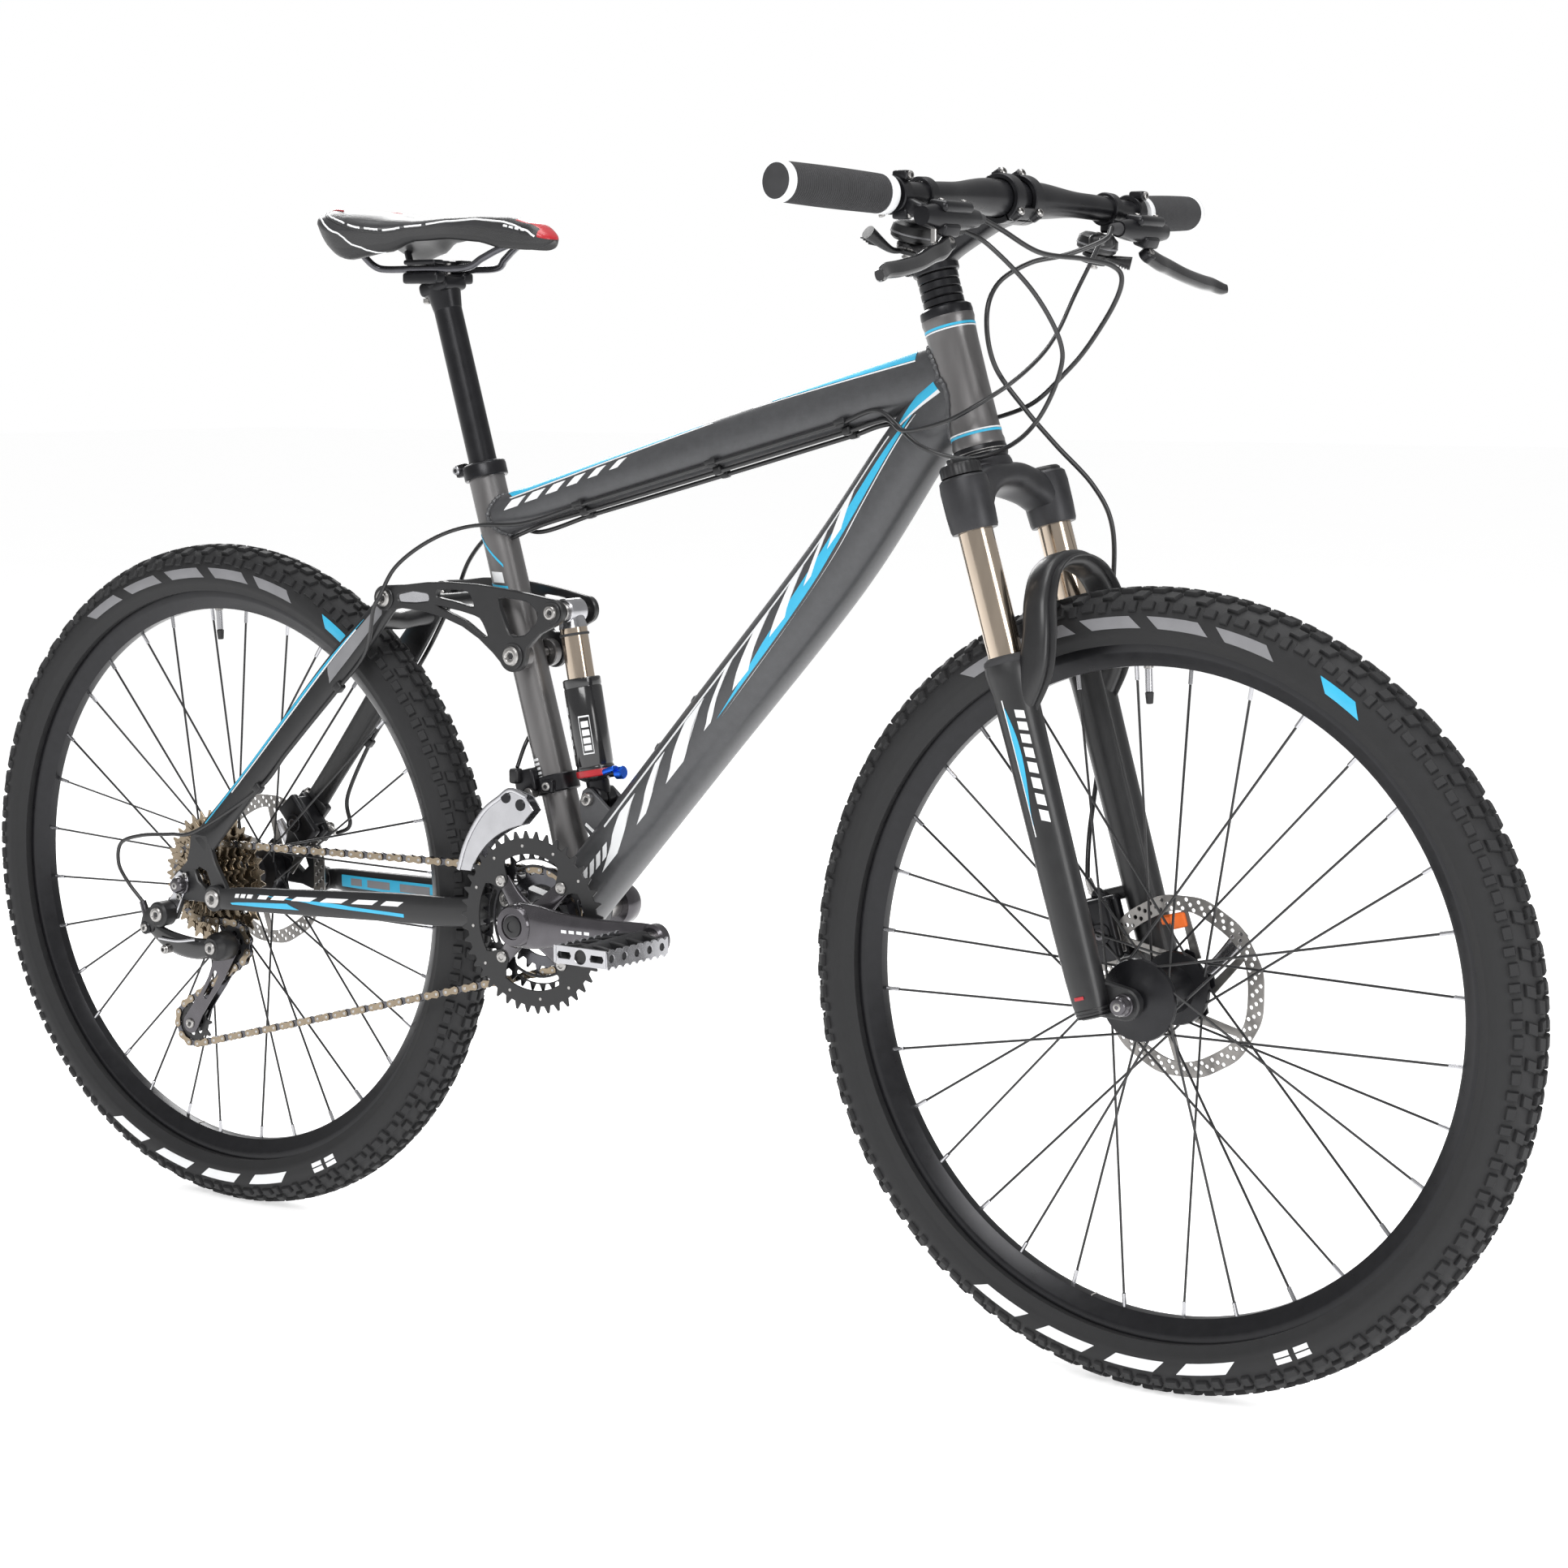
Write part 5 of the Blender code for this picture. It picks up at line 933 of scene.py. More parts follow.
def seatpost():
    shape = Shape(ANODISED)
    rise = (POST_TOP_Z - SEAT_TOP.z) / SEAT_AXIS.z
    top = SEAT_TOP + SEAT_AXIS * rise
    shape.rod(SEAT_TOP - SEAT_AXIS * 0.088, top - SEAT_AXIS * 0.022, SEATPOST_RADIUS, ANODISED, 64)
    shape.rod(top - SEAT_AXIS * 0.03, top - SEAT_AXIS * 0.004, SEATPOST_RADIUS + 0.0002, ANODISED, 48,
        0.001, 0.0175)
    shape.box(top - SEAT_AXIS * 0.006, (0.036, 0.034, 0.014), ANODISED, SEAT_LEAN, 0.005, 4)
    for side in FRAME_SIDES:
        shape.box((CLAMP_X, side * 0.0205, RAIL_Z - 0.0088), (0.044, 0.015, 0.011), ANODISED, None, 0.003, 3)
        shape.box((CLAMP_X, side * 0.0205, RAIL_Z + 0.0062), (0.04, 0.015, 0.0048), ANODISED, None, 0.002, 3)
    shape.box((CLAMP_X, 0.0, RAIL_Z - 0.0095), (0.038, 0.034, 0.009), ANODISED, None, 0.002, 2)
    shape.box((CLAMP_X, 0.0, RAIL_Z + 0.006), (0.026, 0.034, 0.004), ANODISED, None, 0.0015, 2)
    for reach in (-0.013, 0.013):
        foot = Vector((CLAMP_X + reach, 0.0, RAIL_Z - 0.028))
        shape.rod(foot, foot + Vector((0, 0, 0.034)), 0.003, STEEL, 16)
        shape.bolt(foot, (0, 0, -1), 0.0048, 0.005)
    shape.piece("seatpost_with_clamp", "seat", "black_alloy", ("seatpost",))


def rails():
    half = [(-0.228, 0.034, 0.986), (-0.224, 0.032, 0.979), (-0.216, 0.0265, 0.97),
        (-0.204, RAIL_Y, RAIL_Z), (-0.16, RAIL_Y, RAIL_Z), (-0.105, RAIL_Y, RAIL_Z),
        (-0.088, 0.017, 0.9755), (-0.074, 0.012, 0.983), (-0.06, 0.007, 0.989)]
    path = smooth_path(half, 6) + smooth_path([(x, -y, z) for x, y, z in half[::-1]], 6)
    shape = Shape(DARK_STEEL)
    shape.tube(path, RAIL_RADIUS, DARK_STEEL, 16)
    shape.piece("saddle_wire_rails", "seat", "steel", ("saddle_rails",))


SADDLE_PROFILE = ((0.0, 1.0, 0.9825), (0.08, 1.0085, 0.9825), (0.2, 1.0155, 0.9845), (0.32, 1.0175, 0.9915),
    (0.44, 1.0165, 0.9945), (0.56, 1.0145, 0.9925), (0.64, 1.0165, 0.983), (0.8, 1.023, 0.9755),
    (0.94, 1.0285, 0.99), (1.0, 1.029, 1.0))


def along_table(table, share, column=1):
    """A smooth value from rows that start with a share."""
    for before, after in zip(table, table[1:]):
        if share <= after[0] or after is table[-1]:
            t = (share - before[0]) / (after[0] - before[0])
            return before[column] + (after[column] - before[column]) * (0.4 * t + 0.6 * ease(t))


def saddle_half_width(share):
    """From the nose (0) to the back (1)."""
    flare = ease((share - 0.34) / 0.52)
    return 0.017 + 0.006 * share + 0.05 * flare


def saddle_ring(share, count):
    """One cross-section: a crowned pad over a turned-in skirt."""
    nose = math.sqrt(max(0.0, 1.0 - (1.0 - min(share, 0.075) / 0.075) ** 2))
    tail = math.sqrt(max(0.0, 1.0 - (1.0 - min(1.0 - share, 0.17) / 0.17) ** 2))
    close = 0.02 + 0.98 * min(nose, tail)
    half = saddle_half_width(share) * close
    groove = 0.0035 * ease((share - 0.12) / 0.25) * ease((0.97 - share) / 0.25)
    top = along_table(SADDLE_PROFILE, share)
    skirt = (top - along_table(SADDLE_PROFILE, share, 2)) / 1.37
    pad = skirt * 0.62
    ring = []
    for k in range(count):
        angle = TAU * k / count
        c = math.cos(angle)
        s = math.sin(angle)
        across = math.copysign(abs(c) ** 0.75, c) * half
        if s >= 0:
            dip = groove * math.exp(-(across / 0.009) ** 2) * close
            z = top - pad + pad * close * s ** 0.8 - dip
        else:
            droop = ease(-s / 0.6) - 0.6 * ease((-s - 0.6) / 0.4)
            z = top - pad - skirt * 0.75 * close * droop
            across *= 1.0 - 0.3 * abs(s) ** 1.5
        ring.append(Vector((SADDLE_NOSE_X - SADDLE_LENGTH * share, across, z)))
    return ring


def saddle_share(i, steps):
    """Stations crowd towards both ends."""
    return 0.5 - 0.5 * math.cos(math.pi * i / steps)


def saddle_surface(shape):
    steps = 56
    count = 56
    rings = [saddle_ring(saddle_share(i, steps), count) for i in range(steps + 1)]
    made = [[shape.bm.verts.new(p) for p in ring] for ring in rings]
    for i, (a, b) in enumerate(zip(made, made[1:])):
        share = saddle_share(i, steps)
        for k in range(count):
            degrees = 360.0 * (k + 0.5) / count
            upper = degrees < 180
            side_panel = upper and (degrees < 40 or degrees > 140) and 0.1 < share < 0.94
            nose_tip = upper and (share < 0.03 or share < 0.13 and 58 < degrees < 122)
            tail_trim = share > 0.955 and upper and 35 < degrees < 145
            look = RED if nose_tip or tail_trim else LEATHER_SMOOTH if side_panel else LEATHER
            if degrees > 200 and degrees < 340:
                look = PLASTIC
            shape.face((a[k], a[(k + 1) % count], b[(k + 1) % count], b[k]), look)
    shape.face(made[0][::-1], RED)
    shape.face(made[-1], LEATHER)


def saddle_line(side, away, first, last, lift=0.0004, count=40):
    """Points on the saddle's top; away is the angle from its middle in degrees, or a table of it by share."""
    points = []
    for i in range(count + 1):
        share = first + (last - first) * i / count
        degrees = along_table(away, share) if isinstance(away, tuple) else away
        points.append(saddle_ring(share, 360)[int(90 - side * degrees) % 360] + Vector((0, 0, lift)))
    return points


MAIN_PIPING = ((0.04, 96), (0.08, 76), (0.14, 64), (0.22, 60), (0.32, 62), (0.42, 70), (0.52, 82),
    (0.62, 88), (0.72, 82), (0.84, 60), (0.96, 34))
SKIRT_PIPING = ((0.66, 126), (0.74, 110), (0.82, 90), (0.9, 70), (0.96, 50))


SEAM = tuple((share, degrees + 6) for share, degrees in MAIN_PIPING)
PIPING_DASHES = ((0.045, 0.5), (0.515, 0.57), (0.585, 0.64), (0.655, 0.7), (0.715, 0.76), (0.775, 0.96))


def saddle():
    shape = Shape(LEATHER, LEATHER_SMOOTH, RED, PLASTIC)
    saddle_surface(shape)
    for side in FRAME_SIDES:
        for first, last in PIPING_DASHES:
            shape.tube(saddle_line(side, MAIN_PIPING, first, last), 0.001, WHITE, 8)
        shape.tube(saddle_line(side, SKIRT_PIPING, 0.66, 0.955), 0.0009, WHITE, 8)
        shape.tube(saddle_line(side, SEAM, 0.1, 0.95, 0.0), 0.0007, LEATHER, 8)
        shape.tube(saddle_line(side, 30, 0.86, 0.962), 0.0011, RED, 8)
        for k in range(4):
            start = 0.085 + 0.026 * k
            shape.tube(saddle_line(side, 74, start, start + 0.017, 0.0, 6), 0.0012, WHITE, 8)
    shape.piece("saddle_cover", "seat", "saddle_cover", ("saddle",), 60)


def seat():
    seat_clamp()
    seatpost()
    rails()
    saddle()


# --- fork ----------------------------------------------------------------------------------

SOCKET_TOP = 0.029
SOCKET_FOOT = 0.0758
LOWERS_FOOT = 0.497
STANCHION_RADIUS = 0.015
LEAN = turn_y(-math.atan2(-STEER_UP.x, STEER_UP.z))


def leg_point(along, side):
    return steer(along, LEG_AHEAD, side * LEG_SPREAD)


def crown():
    """One casting: a neck, two arms and the sockets, with the stanchions pressed in."""
    shape = Shape(CASTING)
    half = [(0.0, 0.0295, 0.005), (0.022, 0.031, 0.007), (0.042, 0.039, 0.0115), (0.056, 0.048, 0.015),
        (0.066, 0.0545, 0.016)]
    sizes = [(0.05, 0.024), (0.046, 0.026), (0.037, 0.03), (0.036, 0.033), (0.034, 0.03)]
    points = [steer(a, ahead, -y) for y, a, ahead in half[::-1]] + [steer(a, ahead, y) for y, a,
        ahead in half[1:]]
    arms = Form(points, sizes[::-1] + sizes[1:], 2.6, 8, STEER_AHEAD)
    arms.body(shape, CASTING, 64, 40)
    neck = [(0.015, -0.0125), (0.0236, -0.0125), (0.025, -0.0165), (0.0262, -0.03), (0.024, -0.0365),
        (0.015, -0.038)]
    shape.lathe(neck, HEAD_PLACE, CASTING, 64)
    for side in FRAME_SIDES:
        place = toward(-STEER_UP, leg_point(0.0, side))
        profile = [(0.0, SOCKET_TOP), (0.0185, SOCKET_TOP), (0.0205, SOCKET_TOP + 0.002),
            (0.0214, SOCKET_TOP + 0.01), (0.0212, 0.06), (0.0205, 0.073), (0.0195, SOCKET_FOOT),
            (0.0, SOCKET_FOOT)]
        shape.lathe(profile, place, CASTING, 64)
        shape.lathe([(0.0, 0.07), (STANCHION_RADIUS, 0.07), (STANCHION_RADIUS, 0.299), (0.014, 0.3),
            (0.0, 0.3)], place, CHAMPAGNE, 64)
    cap = toward(STEER_UP, leg_point(SOCKET_TOP, LEFT))
    shape.lathe([(0.0, -0.001), (0.0172, -0.001), (0.0172, 0.0022), (0.0155, 0.004), (0.0095, 0.004),
        (0.009, 0.003), (0.0, 0.003)], cap, PLASTIC, 48)
    shape.rod(steer(0.03), steer(-0.1935), 0.0143, ANODISED, 40)
    shape.piece("fork_crown_and_stanchions", "steering", "stanchion", ("fork_upper",))


def fork_knob():
    """A ribbed turning knob with white index marks."""
    shape = Shape(PLASTIC)
    place = toward(STEER_UP, leg_point(SOCKET_TOP - 0.0004, RIGHT))
    count = 96
    rings = []
    for radius, height, rib in ((0.016, 0.0, 0.0), (0.0178, 0.001, 0.0), (0.0178, 0.0088, 0.0007),
            (0.016, 0.011, 0.0)):
        points = [polar((0.0, 0.0), radius - rib * (k % 4 > 1), TAU * k / count) for k in range(count)]
        rings.append([place @ Vector((x, y, height)) for x, y in points])
    shape.sections(rings, PLASTIC)
    lever = place @ Matrix.Translation((0.0, 0.0, 0.0125))
    shape.box(lever.translation, (0.03, 0.0065, 0.006), PLASTIC, lever.to_3x3().to_4x4(), 0.0018, 3)
    for k in (-1, 0, 1):
        spot = place @ Matrix.Rotation(0.5 * k - 1.2, 4, "Z") @ Matrix.Translation((0.0135, 0.0, 0.0104))
        shape.box(spot.translation, (0.005, 0.0012, 0.0008), WHITE, spot.to_3x3().to_4x4(), 0.0002, 1)
    shape.piece("fork_turning_knob", "fork_knob", "plastic", ("fork_knob",))


def lower_leg(shape, side):
    place = toward(-STEER_UP, leg_point(0.0, side))
    foot = LOWERS_FOOT
    profile = [(0.0, foot), (0.01, foot), (0.0142, foot - 0.003), (0.0158, foot - 0.015), (0.0166, 0.46),
        (0.0172, 0.42), (0.0178, 0.34), (0.0183, 0.26), (0.019, 0.215), (0.0203, 0.203), (0.0206, 0.196),
        (0.02, 0.191), (0.0154, 0.1908), (0.0154, 0.4), (0.0, 0.4)]
    shape.lathe(profile, place, BLACK, 64)
    seal = [(0.0154, 0.1912), (0.0198, 0.1912), (0.0202, 0.189), (0.0196, 0.1868), (0.0172, 0.185),
        (0.016, 0.1842), (0.0154, 0.1846)]
    shape.lathe(seal, place, GRIP, 64)
    outline = lobes(((leg_point(0.48, side), 0.016, 80), (FRONT_AXLE, 0.014, -100)), 14)
    shape.plate([outline], *sorted((side * 0.0503, side * 0.0602)), BLACK, 0.0015)
    for k in range(3):
        shape.collar(leg_point(0.4885 + 0.003 * k, side), leg_point(0.49 + 0.003 * k, side), 0.012,
            0.0157 - 0.0008 * k, BLACK, 40)


def arch(shape):
    """The ribbed brace ahead of the tyre."""
    half = [(0.0665, 0.225, 0.02), (0.0655, 0.202, 0.04), (0.063, 0.176, 0.05), (0.055, 0.148, 0.0535),
        (0.04, 0.127, 0.055), (0.02, 0.117, 0.0555), (0.0, 0.1145, 0.0555)]
    points = [steer(a, ahead, y) for y, a, ahead in half] + [steer(a, ahead, -y) for y, a,
        ahead in half[-2::-1]]
    thick = [(0.03, 0.022), (0.028, 0.021), (0.026, 0.019), (0.025, 0.018), (0.025, 0.016), (0.026, 0.015),
        (0.027, 0.015)]
    form = Form(points, thick + thick[-2::-1], 3.2, 8, STEER_AHEAD)
    form.body(shape, BLACK, 96, 32)
    rib = Form([p + STEER_AHEAD * 0.002 for p in points], [(0.033, 0.004)] * len(points), 3.5, 8, STEER_AHEAD)
    rib.body(shape, BLACK, 96, 20)


def leg_marks(shape):
    """A blue line beside white bars, down the outside of each leg."""
    def swell(t):
        return -6 + 16 * math.sin(math.pi * min(1.0, t * 1.1))

    for side in FRAME_SIDES:
        path = [leg_point(a, side) for a in (0.2, 0.26, 0.34, 0.42)]
        leg = Form(path, [(0.04, 0.04), (0.0366, 0.0366), (0.0356, 0.0356), (0.0346, 0.0346)], 2.0, 12)
        leg.mark(shape, side, CYAN, 0.16, 0.62, -6, swell, 0.0, 0.0004)
        leg.mark(shape, side, WHITE, 0.12, 0.66, -9, -6.5, 0.0, 0.0004)
        for k in range(8):
            start = 0.185 + 0.056 * k
            leg.mark(shape, side, WHITE, start, start + 0.038, 20, 43, 0.014, 0.0005, 4, 8)
    centre = leg_point(0.478, RIGHT) + sideways(-0.0166)
    shape.box(centre, (0.009, 0.0008, 0.003), RED, LEAN, 0.0003, 1)


def caliper_tabs(shape):
    """The two posts behind the left leg that the caliper bolts to."""
    for along in (0.402, 0.456):
        tab = steer(along, -0.008, 0.0)
        shape.box((tab.x, 0.059, tab.z), (0.034, 0.012, 0.012), BLACK, LEAN, 0.003, 3)


def lowers():
    shape = Shape(BLACK)
    for side in FRAME_SIDES:
        lower_leg(shape, side)
    arch(shape)
    caliper_tabs(shape)
    shape.piece("fork_lower_legs", "lower_fork", "black_paint", ("fork_lowers",), 38)
    marks = Shape(CYAN, WHITE)
    leg_marks(marks)
    marks.piece("fork_decals", "lower_fork", "black_paint")


def caliper(centre, rotor_y, axis_point, turn, size):
    """Two bolted halves either side of the disc, with a bridge, pads and a hose union."""
    shape = Shape(ANODISED)
    outward = (shift_y(centre, 0) - shift_y(axis_point, 0)).normalized()
    long, deep = size
    for sign, width in ((-1, 0.0105), (1, 0.012)):
        y = rotor_y + sign * (0.0022 + width / 2)
        shape.box((centre.x, y, centre.z), (deep, width, long), ANODISED, turn, 0.0042, 4)
        hub_point = shift_y(centre, rotor_y + sign * (0.0018 + width)) - outward * 0.004
        shape.rod(hub_point, hub_point + sideways(sign * 0.003), 0.0095, ANODISED, 40, 0.0012)
        shape.bolt(hub_point + sideways(sign * 0.003), (0, sign, 0), 0.005, 0.0012, GLOSS)
    bridge = shift_y(centre, rotor_y) + outward * (deep * 0.4)
    shape.box(bridge, (deep * 0.34, 0.018, long * 0.72), ANODISED, turn, 0.003, 3)
    tangent = turn @ Vector((0, 0, 1))
    for sign in (-1, 1):
        foot = shift_y(centre, rotor_y + 0.013) + tangent * sign * (long * 0.44)
        shape.rod(foot - outward * 0.004, foot + outward * 0.012, 0.0062, ANODISED, 28, 0.001)
        shape.bolt(foot + outward * 0.012, outward, 0.0046, 0.0045)
    union = shift_y(centre, rotor_y + 0.012) + tangent * (long * 0.3) + outward * 0.01
    shape.rod(union, union + tangent * 0.018 + outward * 0.006, 0.004, STEEL, 20, end_radius=0.0032)
    pad = shift_y(centre, rotor_y) - outward * (deep * 0.45)
    for sign in (-1, 1):
        shape.box(pad + sideways(sign * 0.0026), (0.01, 0.0018, long * 0.42), STEEL, turn, 0.0004, 1)
    return shape


def front_caliper():
    centre = steer(0.43, -0.017, 0.042)
    shape = caliper(centre, FRONT_ROTOR_Y, FRONT_AXLE, LEAN, (0.056, 0.033))
    spacer = Vector((0.64, FRONT_ROTOR_Y, 0.403))
    shape.box(spacer, (0.015, 0.0075, 0.013), ORANGE, LEAN, 0.002, 3)
    shape.box(spacer + Vector((-0.01, 0.0085, 0.0)), (0.024, 0.006, 0.008), ORANGE, LEAN, 0.002, 3)
    shape.piece("front_brake_caliper", "lower_fork", "black_alloy", ("front_caliper",))


def quick_release(centre, outside, lean, name, body, node):
    """The skewer's nut and cam lever."""
    shape = Shape(SILVER)
    shape.pin(centre, -outside - 0.002, outside + 0.002, 0.0048, STEEL, 24)
    nut = toward((0, -1, 0), shift_y(centre, -outside))
    profile = [(0.0, 0.0), (0.0094, 0.0), (0.0096, 0.0022), (0.0086, 0.003), (0.0084, 0.009),
        (0.0066, 0.0118), (0.004, 0.0122), (0.0, 0.0122)]
    shape.lathe(profile, nut, GLOSS, 36)
    shape.bolt(shift_y(centre, -outside - 0.0115), (0, -1, 0), 0.0036, 0.0012)
    cam = toward((0, 1, 0), shift_y(centre, outside))
    shape.lathe([(0.0, 0.0), (0.0092, 0.0), (0.0095, 0.002), (0.008, 0.0045), (0.0084, 0.012),
        (0.006, 0.0145), (0.0, 0.015)], cam, GLOSS, 36)
    y = outside + 0.01
    path = [(centre.x + lean * ahead, y + out, centre.z + up) for ahead, out,
        up in ((0.0, 0.0, 0.0), (0.008, 0.005, 0.009), (0.02, 0.008, 0.022), (0.032, 0.0072, 0.036),
        (0.04, 0.006, 0.046))]
    Form(path, [(0.008, 0.01), (0.006, 0.011), (0.0055, 0.013), (0.005, 0.014), (0.004, 0.011)],
        2.4).body(shape, SILVER, 32, 20)
    shape.piece(name, body, "steel", (node,))


def fork():
    crown()
    fork_knob()
    lowers()
    front_caliper()
    quick_release(FRONT_AXLE, 0.0603, 1.0, "front_quick_release", "lower_fork", "front_axle")


# --- cockpit -------------------------------------------------------------------------------

STEM_FOOT = -0.1555
STEM_TOP = -0.1955
GRIP_INNER = 0.203
GRIP_OUTER = 0.333
LEVER_PIVOT_Y = 0.165
POD_AXIS = Vector((0.259, 0.0, 0.966)).normalized()


def bar_point(y):
    """A point on the handlebar's axis, at a sideways position."""
    reach = abs(y)
    for before, after in zip(BAR_BENDS, BAR_BENDS[1:]):
        if reach <= after[0] or after is BAR_BENDS[-1]:
            share = (reach - before[0]) / (after[0] - before[0])
            x, z = [a + (b - a) * share for a, b in zip(before[1:], after[1:])]
            return Vector((x, y, z))


def spacers():
    shape = Shape(ANODISED)
    start = -HEAD_LENGTH - 0.01
    length = (start - STEM_FOOT - GAP) / 4
    for k in range(4):
        low = start - length * k - 0.0002
        shape.collar(steer(low), steer(low - length + 0.0006), 0.0147, 0.018 + 0.0002 * (k % 2), ANODISED,
            56, 0.0008)
    shape.piece("stack_spacers", "steering", "black_alloy", ("headset_spacers",))


def stem_line():
    clamp = steer((STEM_FOOT + STEM_TOP) / 2)
    return clamp, (BAR_CENTRE - clamp).normalized()


def bar_arc(radius, first, sweep):
    """Half a ring round the bar's centre; the first angle counts from the stem's heading."""
    run = stem_line()[1]
    start = math.atan2(run.z, run.x) + first
    return [polar(BAR_CENTRE, radius, start + sweep * k / 24) for k in range(25)]


def stem():
    clamp, run = stem_line()
    shape = Shape(ANODISED)
    place = toward(STEER_UP, steer(STEM_FOOT))
    height = STEM_FOOT - STEM_TOP
    shape.lathe([(0.0146, 0.0), (0.0196, 0.0), (0.0205, 0.0012), (0.0205, height - 0.0012),
        (0.0196, height), (0.0146, height)], place, ANODISED, 56)
    arm = Form([clamp + run * 0.012, clamp + run * 0.028, BAR_CENTRE - run * 0.026,
        BAR_CENTRE - run * 0.012], [(0.034, 0.037), (0.031, 0.034), (0.034, 0.033), (0.042, 0.036)], 2.8, 8)
    arm.body(shape, ANODISED, 40, 40)
    cap = toward(STEER_UP, steer(STEM_TOP))
    shape.lathe([(0.0, 0.0), (0.0165, 0.0), (0.0168, 0.0015), (0.015, 0.003), (0.0, 0.0034)], cap, ANODISED,
        48)
    shape.bolt(steer(STEM_TOP - 0.003), STEER_UP, 0.0046, 0.0022)
    for along in (STEM_FOOT - 0.009, STEM_FOOT - 0.031):
        for side in FRAME_SIDES:
            lug = steer(along, -0.0205, side * 0.007)
            shape.rod(lug, lug + sideways(side * 0.006), 0.0052, ANODISED, 28)
        shape.bolt(steer(along, -0.0205, -0.013), (0, -1, 0), 0.0036, 0.0024)
    outline = bar_arc(0.0215, math.pi / 2, math.pi) + bar_arc(0.0161, 1.5 * math.pi, -math.pi)
    for low, high, edge in ((-0.022, -0.009, 0.0008), (0.009, 0.022, 0.0008), (-0.009, 0.009, 0.0002)):
        shape.plate([outline], low, high, ANODISED, edge)
    shape.piece("stem_body", "steering", "black_alloy", ("stem",))


def faceplate():
    """The front half of the bar clamp, with a window and four bolts."""
    _, run = stem_line()
    heading = math.atan2(run.z, run.x)
    sweep = math.pi - 0.12
    outline = bar_arc(0.0212, -sweep / 2, sweep) + bar_arc(0.0161, sweep / 2, -sweep)
    shape = Shape(ANODISED)
    for low, high in ((-0.022, -0.0085), (0.0085, 0.022)):
        shape.plate([outline], low, high, ANODISED, 0.001)
    for sign in (-1, 1):
        start = heading + sign * 1.2
        block = [polar(BAR_CENTRE, 0.021, start - 0.3 + 0.6 * k / 6) for k in range(7)]
        block += [polar(BAR_CENTRE, 0.0162, start + 0.3 - 0.6 * k / 6) for k in range(7)]
        shape.plate([block], -0.0095, 0.0095, ANODISED, 0.0008)
    across = Vector((-run.z, 0.0, run.x))
    for sign in (-1, 1):
        for side in FRAME_SIDES:
            point = BAR_CENTRE + across * sign * 0.019 + sideways(side * 0.0155) + run * 0.0022
            shape.rod(point, point + run * 0.009, 0.005, ANODISED, 28, 0.001)
            shape.bolt(point + run * 0.009, run, 0.0036, 0.0026)
    shape.piece("bar_faceplate", "steering", "black_alloy", ("stem_faceplate",))


def handlebar():
    shape = Shape(ANODISED)
    half = smooth_path([Vector((x, y, z)) for y, x, z in BAR_BENDS], 14)
    path = [Vector((p.x, -p.y, p.z)) for p in half[:0:-1]] + half
    radii = [0.0158 - (0.0158 - BAR_RADIUS) * ease((abs(p.y) - 0.036) / 0.07) for p in path]
    shape.tube(path, radii, ANODISED, 32)
    form = Form([bar_point(y) for y in (-0.11, -0.085, -0.06)], [(0.0262, 0.0262)] * 3, 2.0, 8, (0, 0, 1))
    for k in range(3):
        form.decal(shape, GREY_MARK, 0.1 + 0.2 * k, 0.22 + 0.2 * k, 200, 250, 0.05, 0.001, 4, 6)
    shape.piece("riser_bar", "steering", "black_alloy", ("handlebar",))


def grip(side, label):
    """A rubber sleeve with fine ribs between two white lock rings, and an end cap."""
    start = bar_point(side * GRIP_INNER)
    end = bar_point(side * GRIP_OUTER)
    length = (end - start).length
    place = toward(end - start, start)
    shape = Shape(GRIP)
    first = 0.0095
    last = length - 0.0085
    profile = [(BAR_RADIUS + GAP, first), (0.0152, first)]
    count = 46
    for k in range(count):
        base = first + (last - first) * (k + 0.1) / count
        step = (last - first) / count
        swell = 0.0152 + 0.0005 * math.sin(math.pi * k / count)
        profile += [(swell, base), (swell + 0.0006, base + step * 0.2),
            (swell + 0.0006, base + step * 0.65), (swell, base + step * 0.85)]
    profile += [(0.0152, last), (BAR_RADIUS + GAP, last)]
    shape.lathe(profile, place, GRIP, 48)
    for low, high in ((0.0, first - 0.0002), (last + 0.0002, length - 0.0008)):
        ring = [(BAR_RADIUS + GAP, low), (0.0158, low), (0.0164, low + 0.001), (0.0164, high - 0.001),
            (0.0158, high), (BAR_RADIUS + GAP, high)]
        shape.lathe(ring, place, WHITE, 56)
    shape.lathe([(0.0, length - 0.0026), (0.0135, length - 0.0026), (0.014, length - 0.0008),
        (0.012, length), (0.0, length + 0.0002)], place, GRIP, 48)
    lock = bar_point(side * (GRIP_INNER + 0.0048)) + Vector((0.0, 0.0, -0.016))
    shape.bolt(lock, (0.2, 0, -1), 0.0026, 0.002)
    shape.piece(f"lock_on_grip_{label}", "steering", "grip_rubber", (f"grip_{label}",))


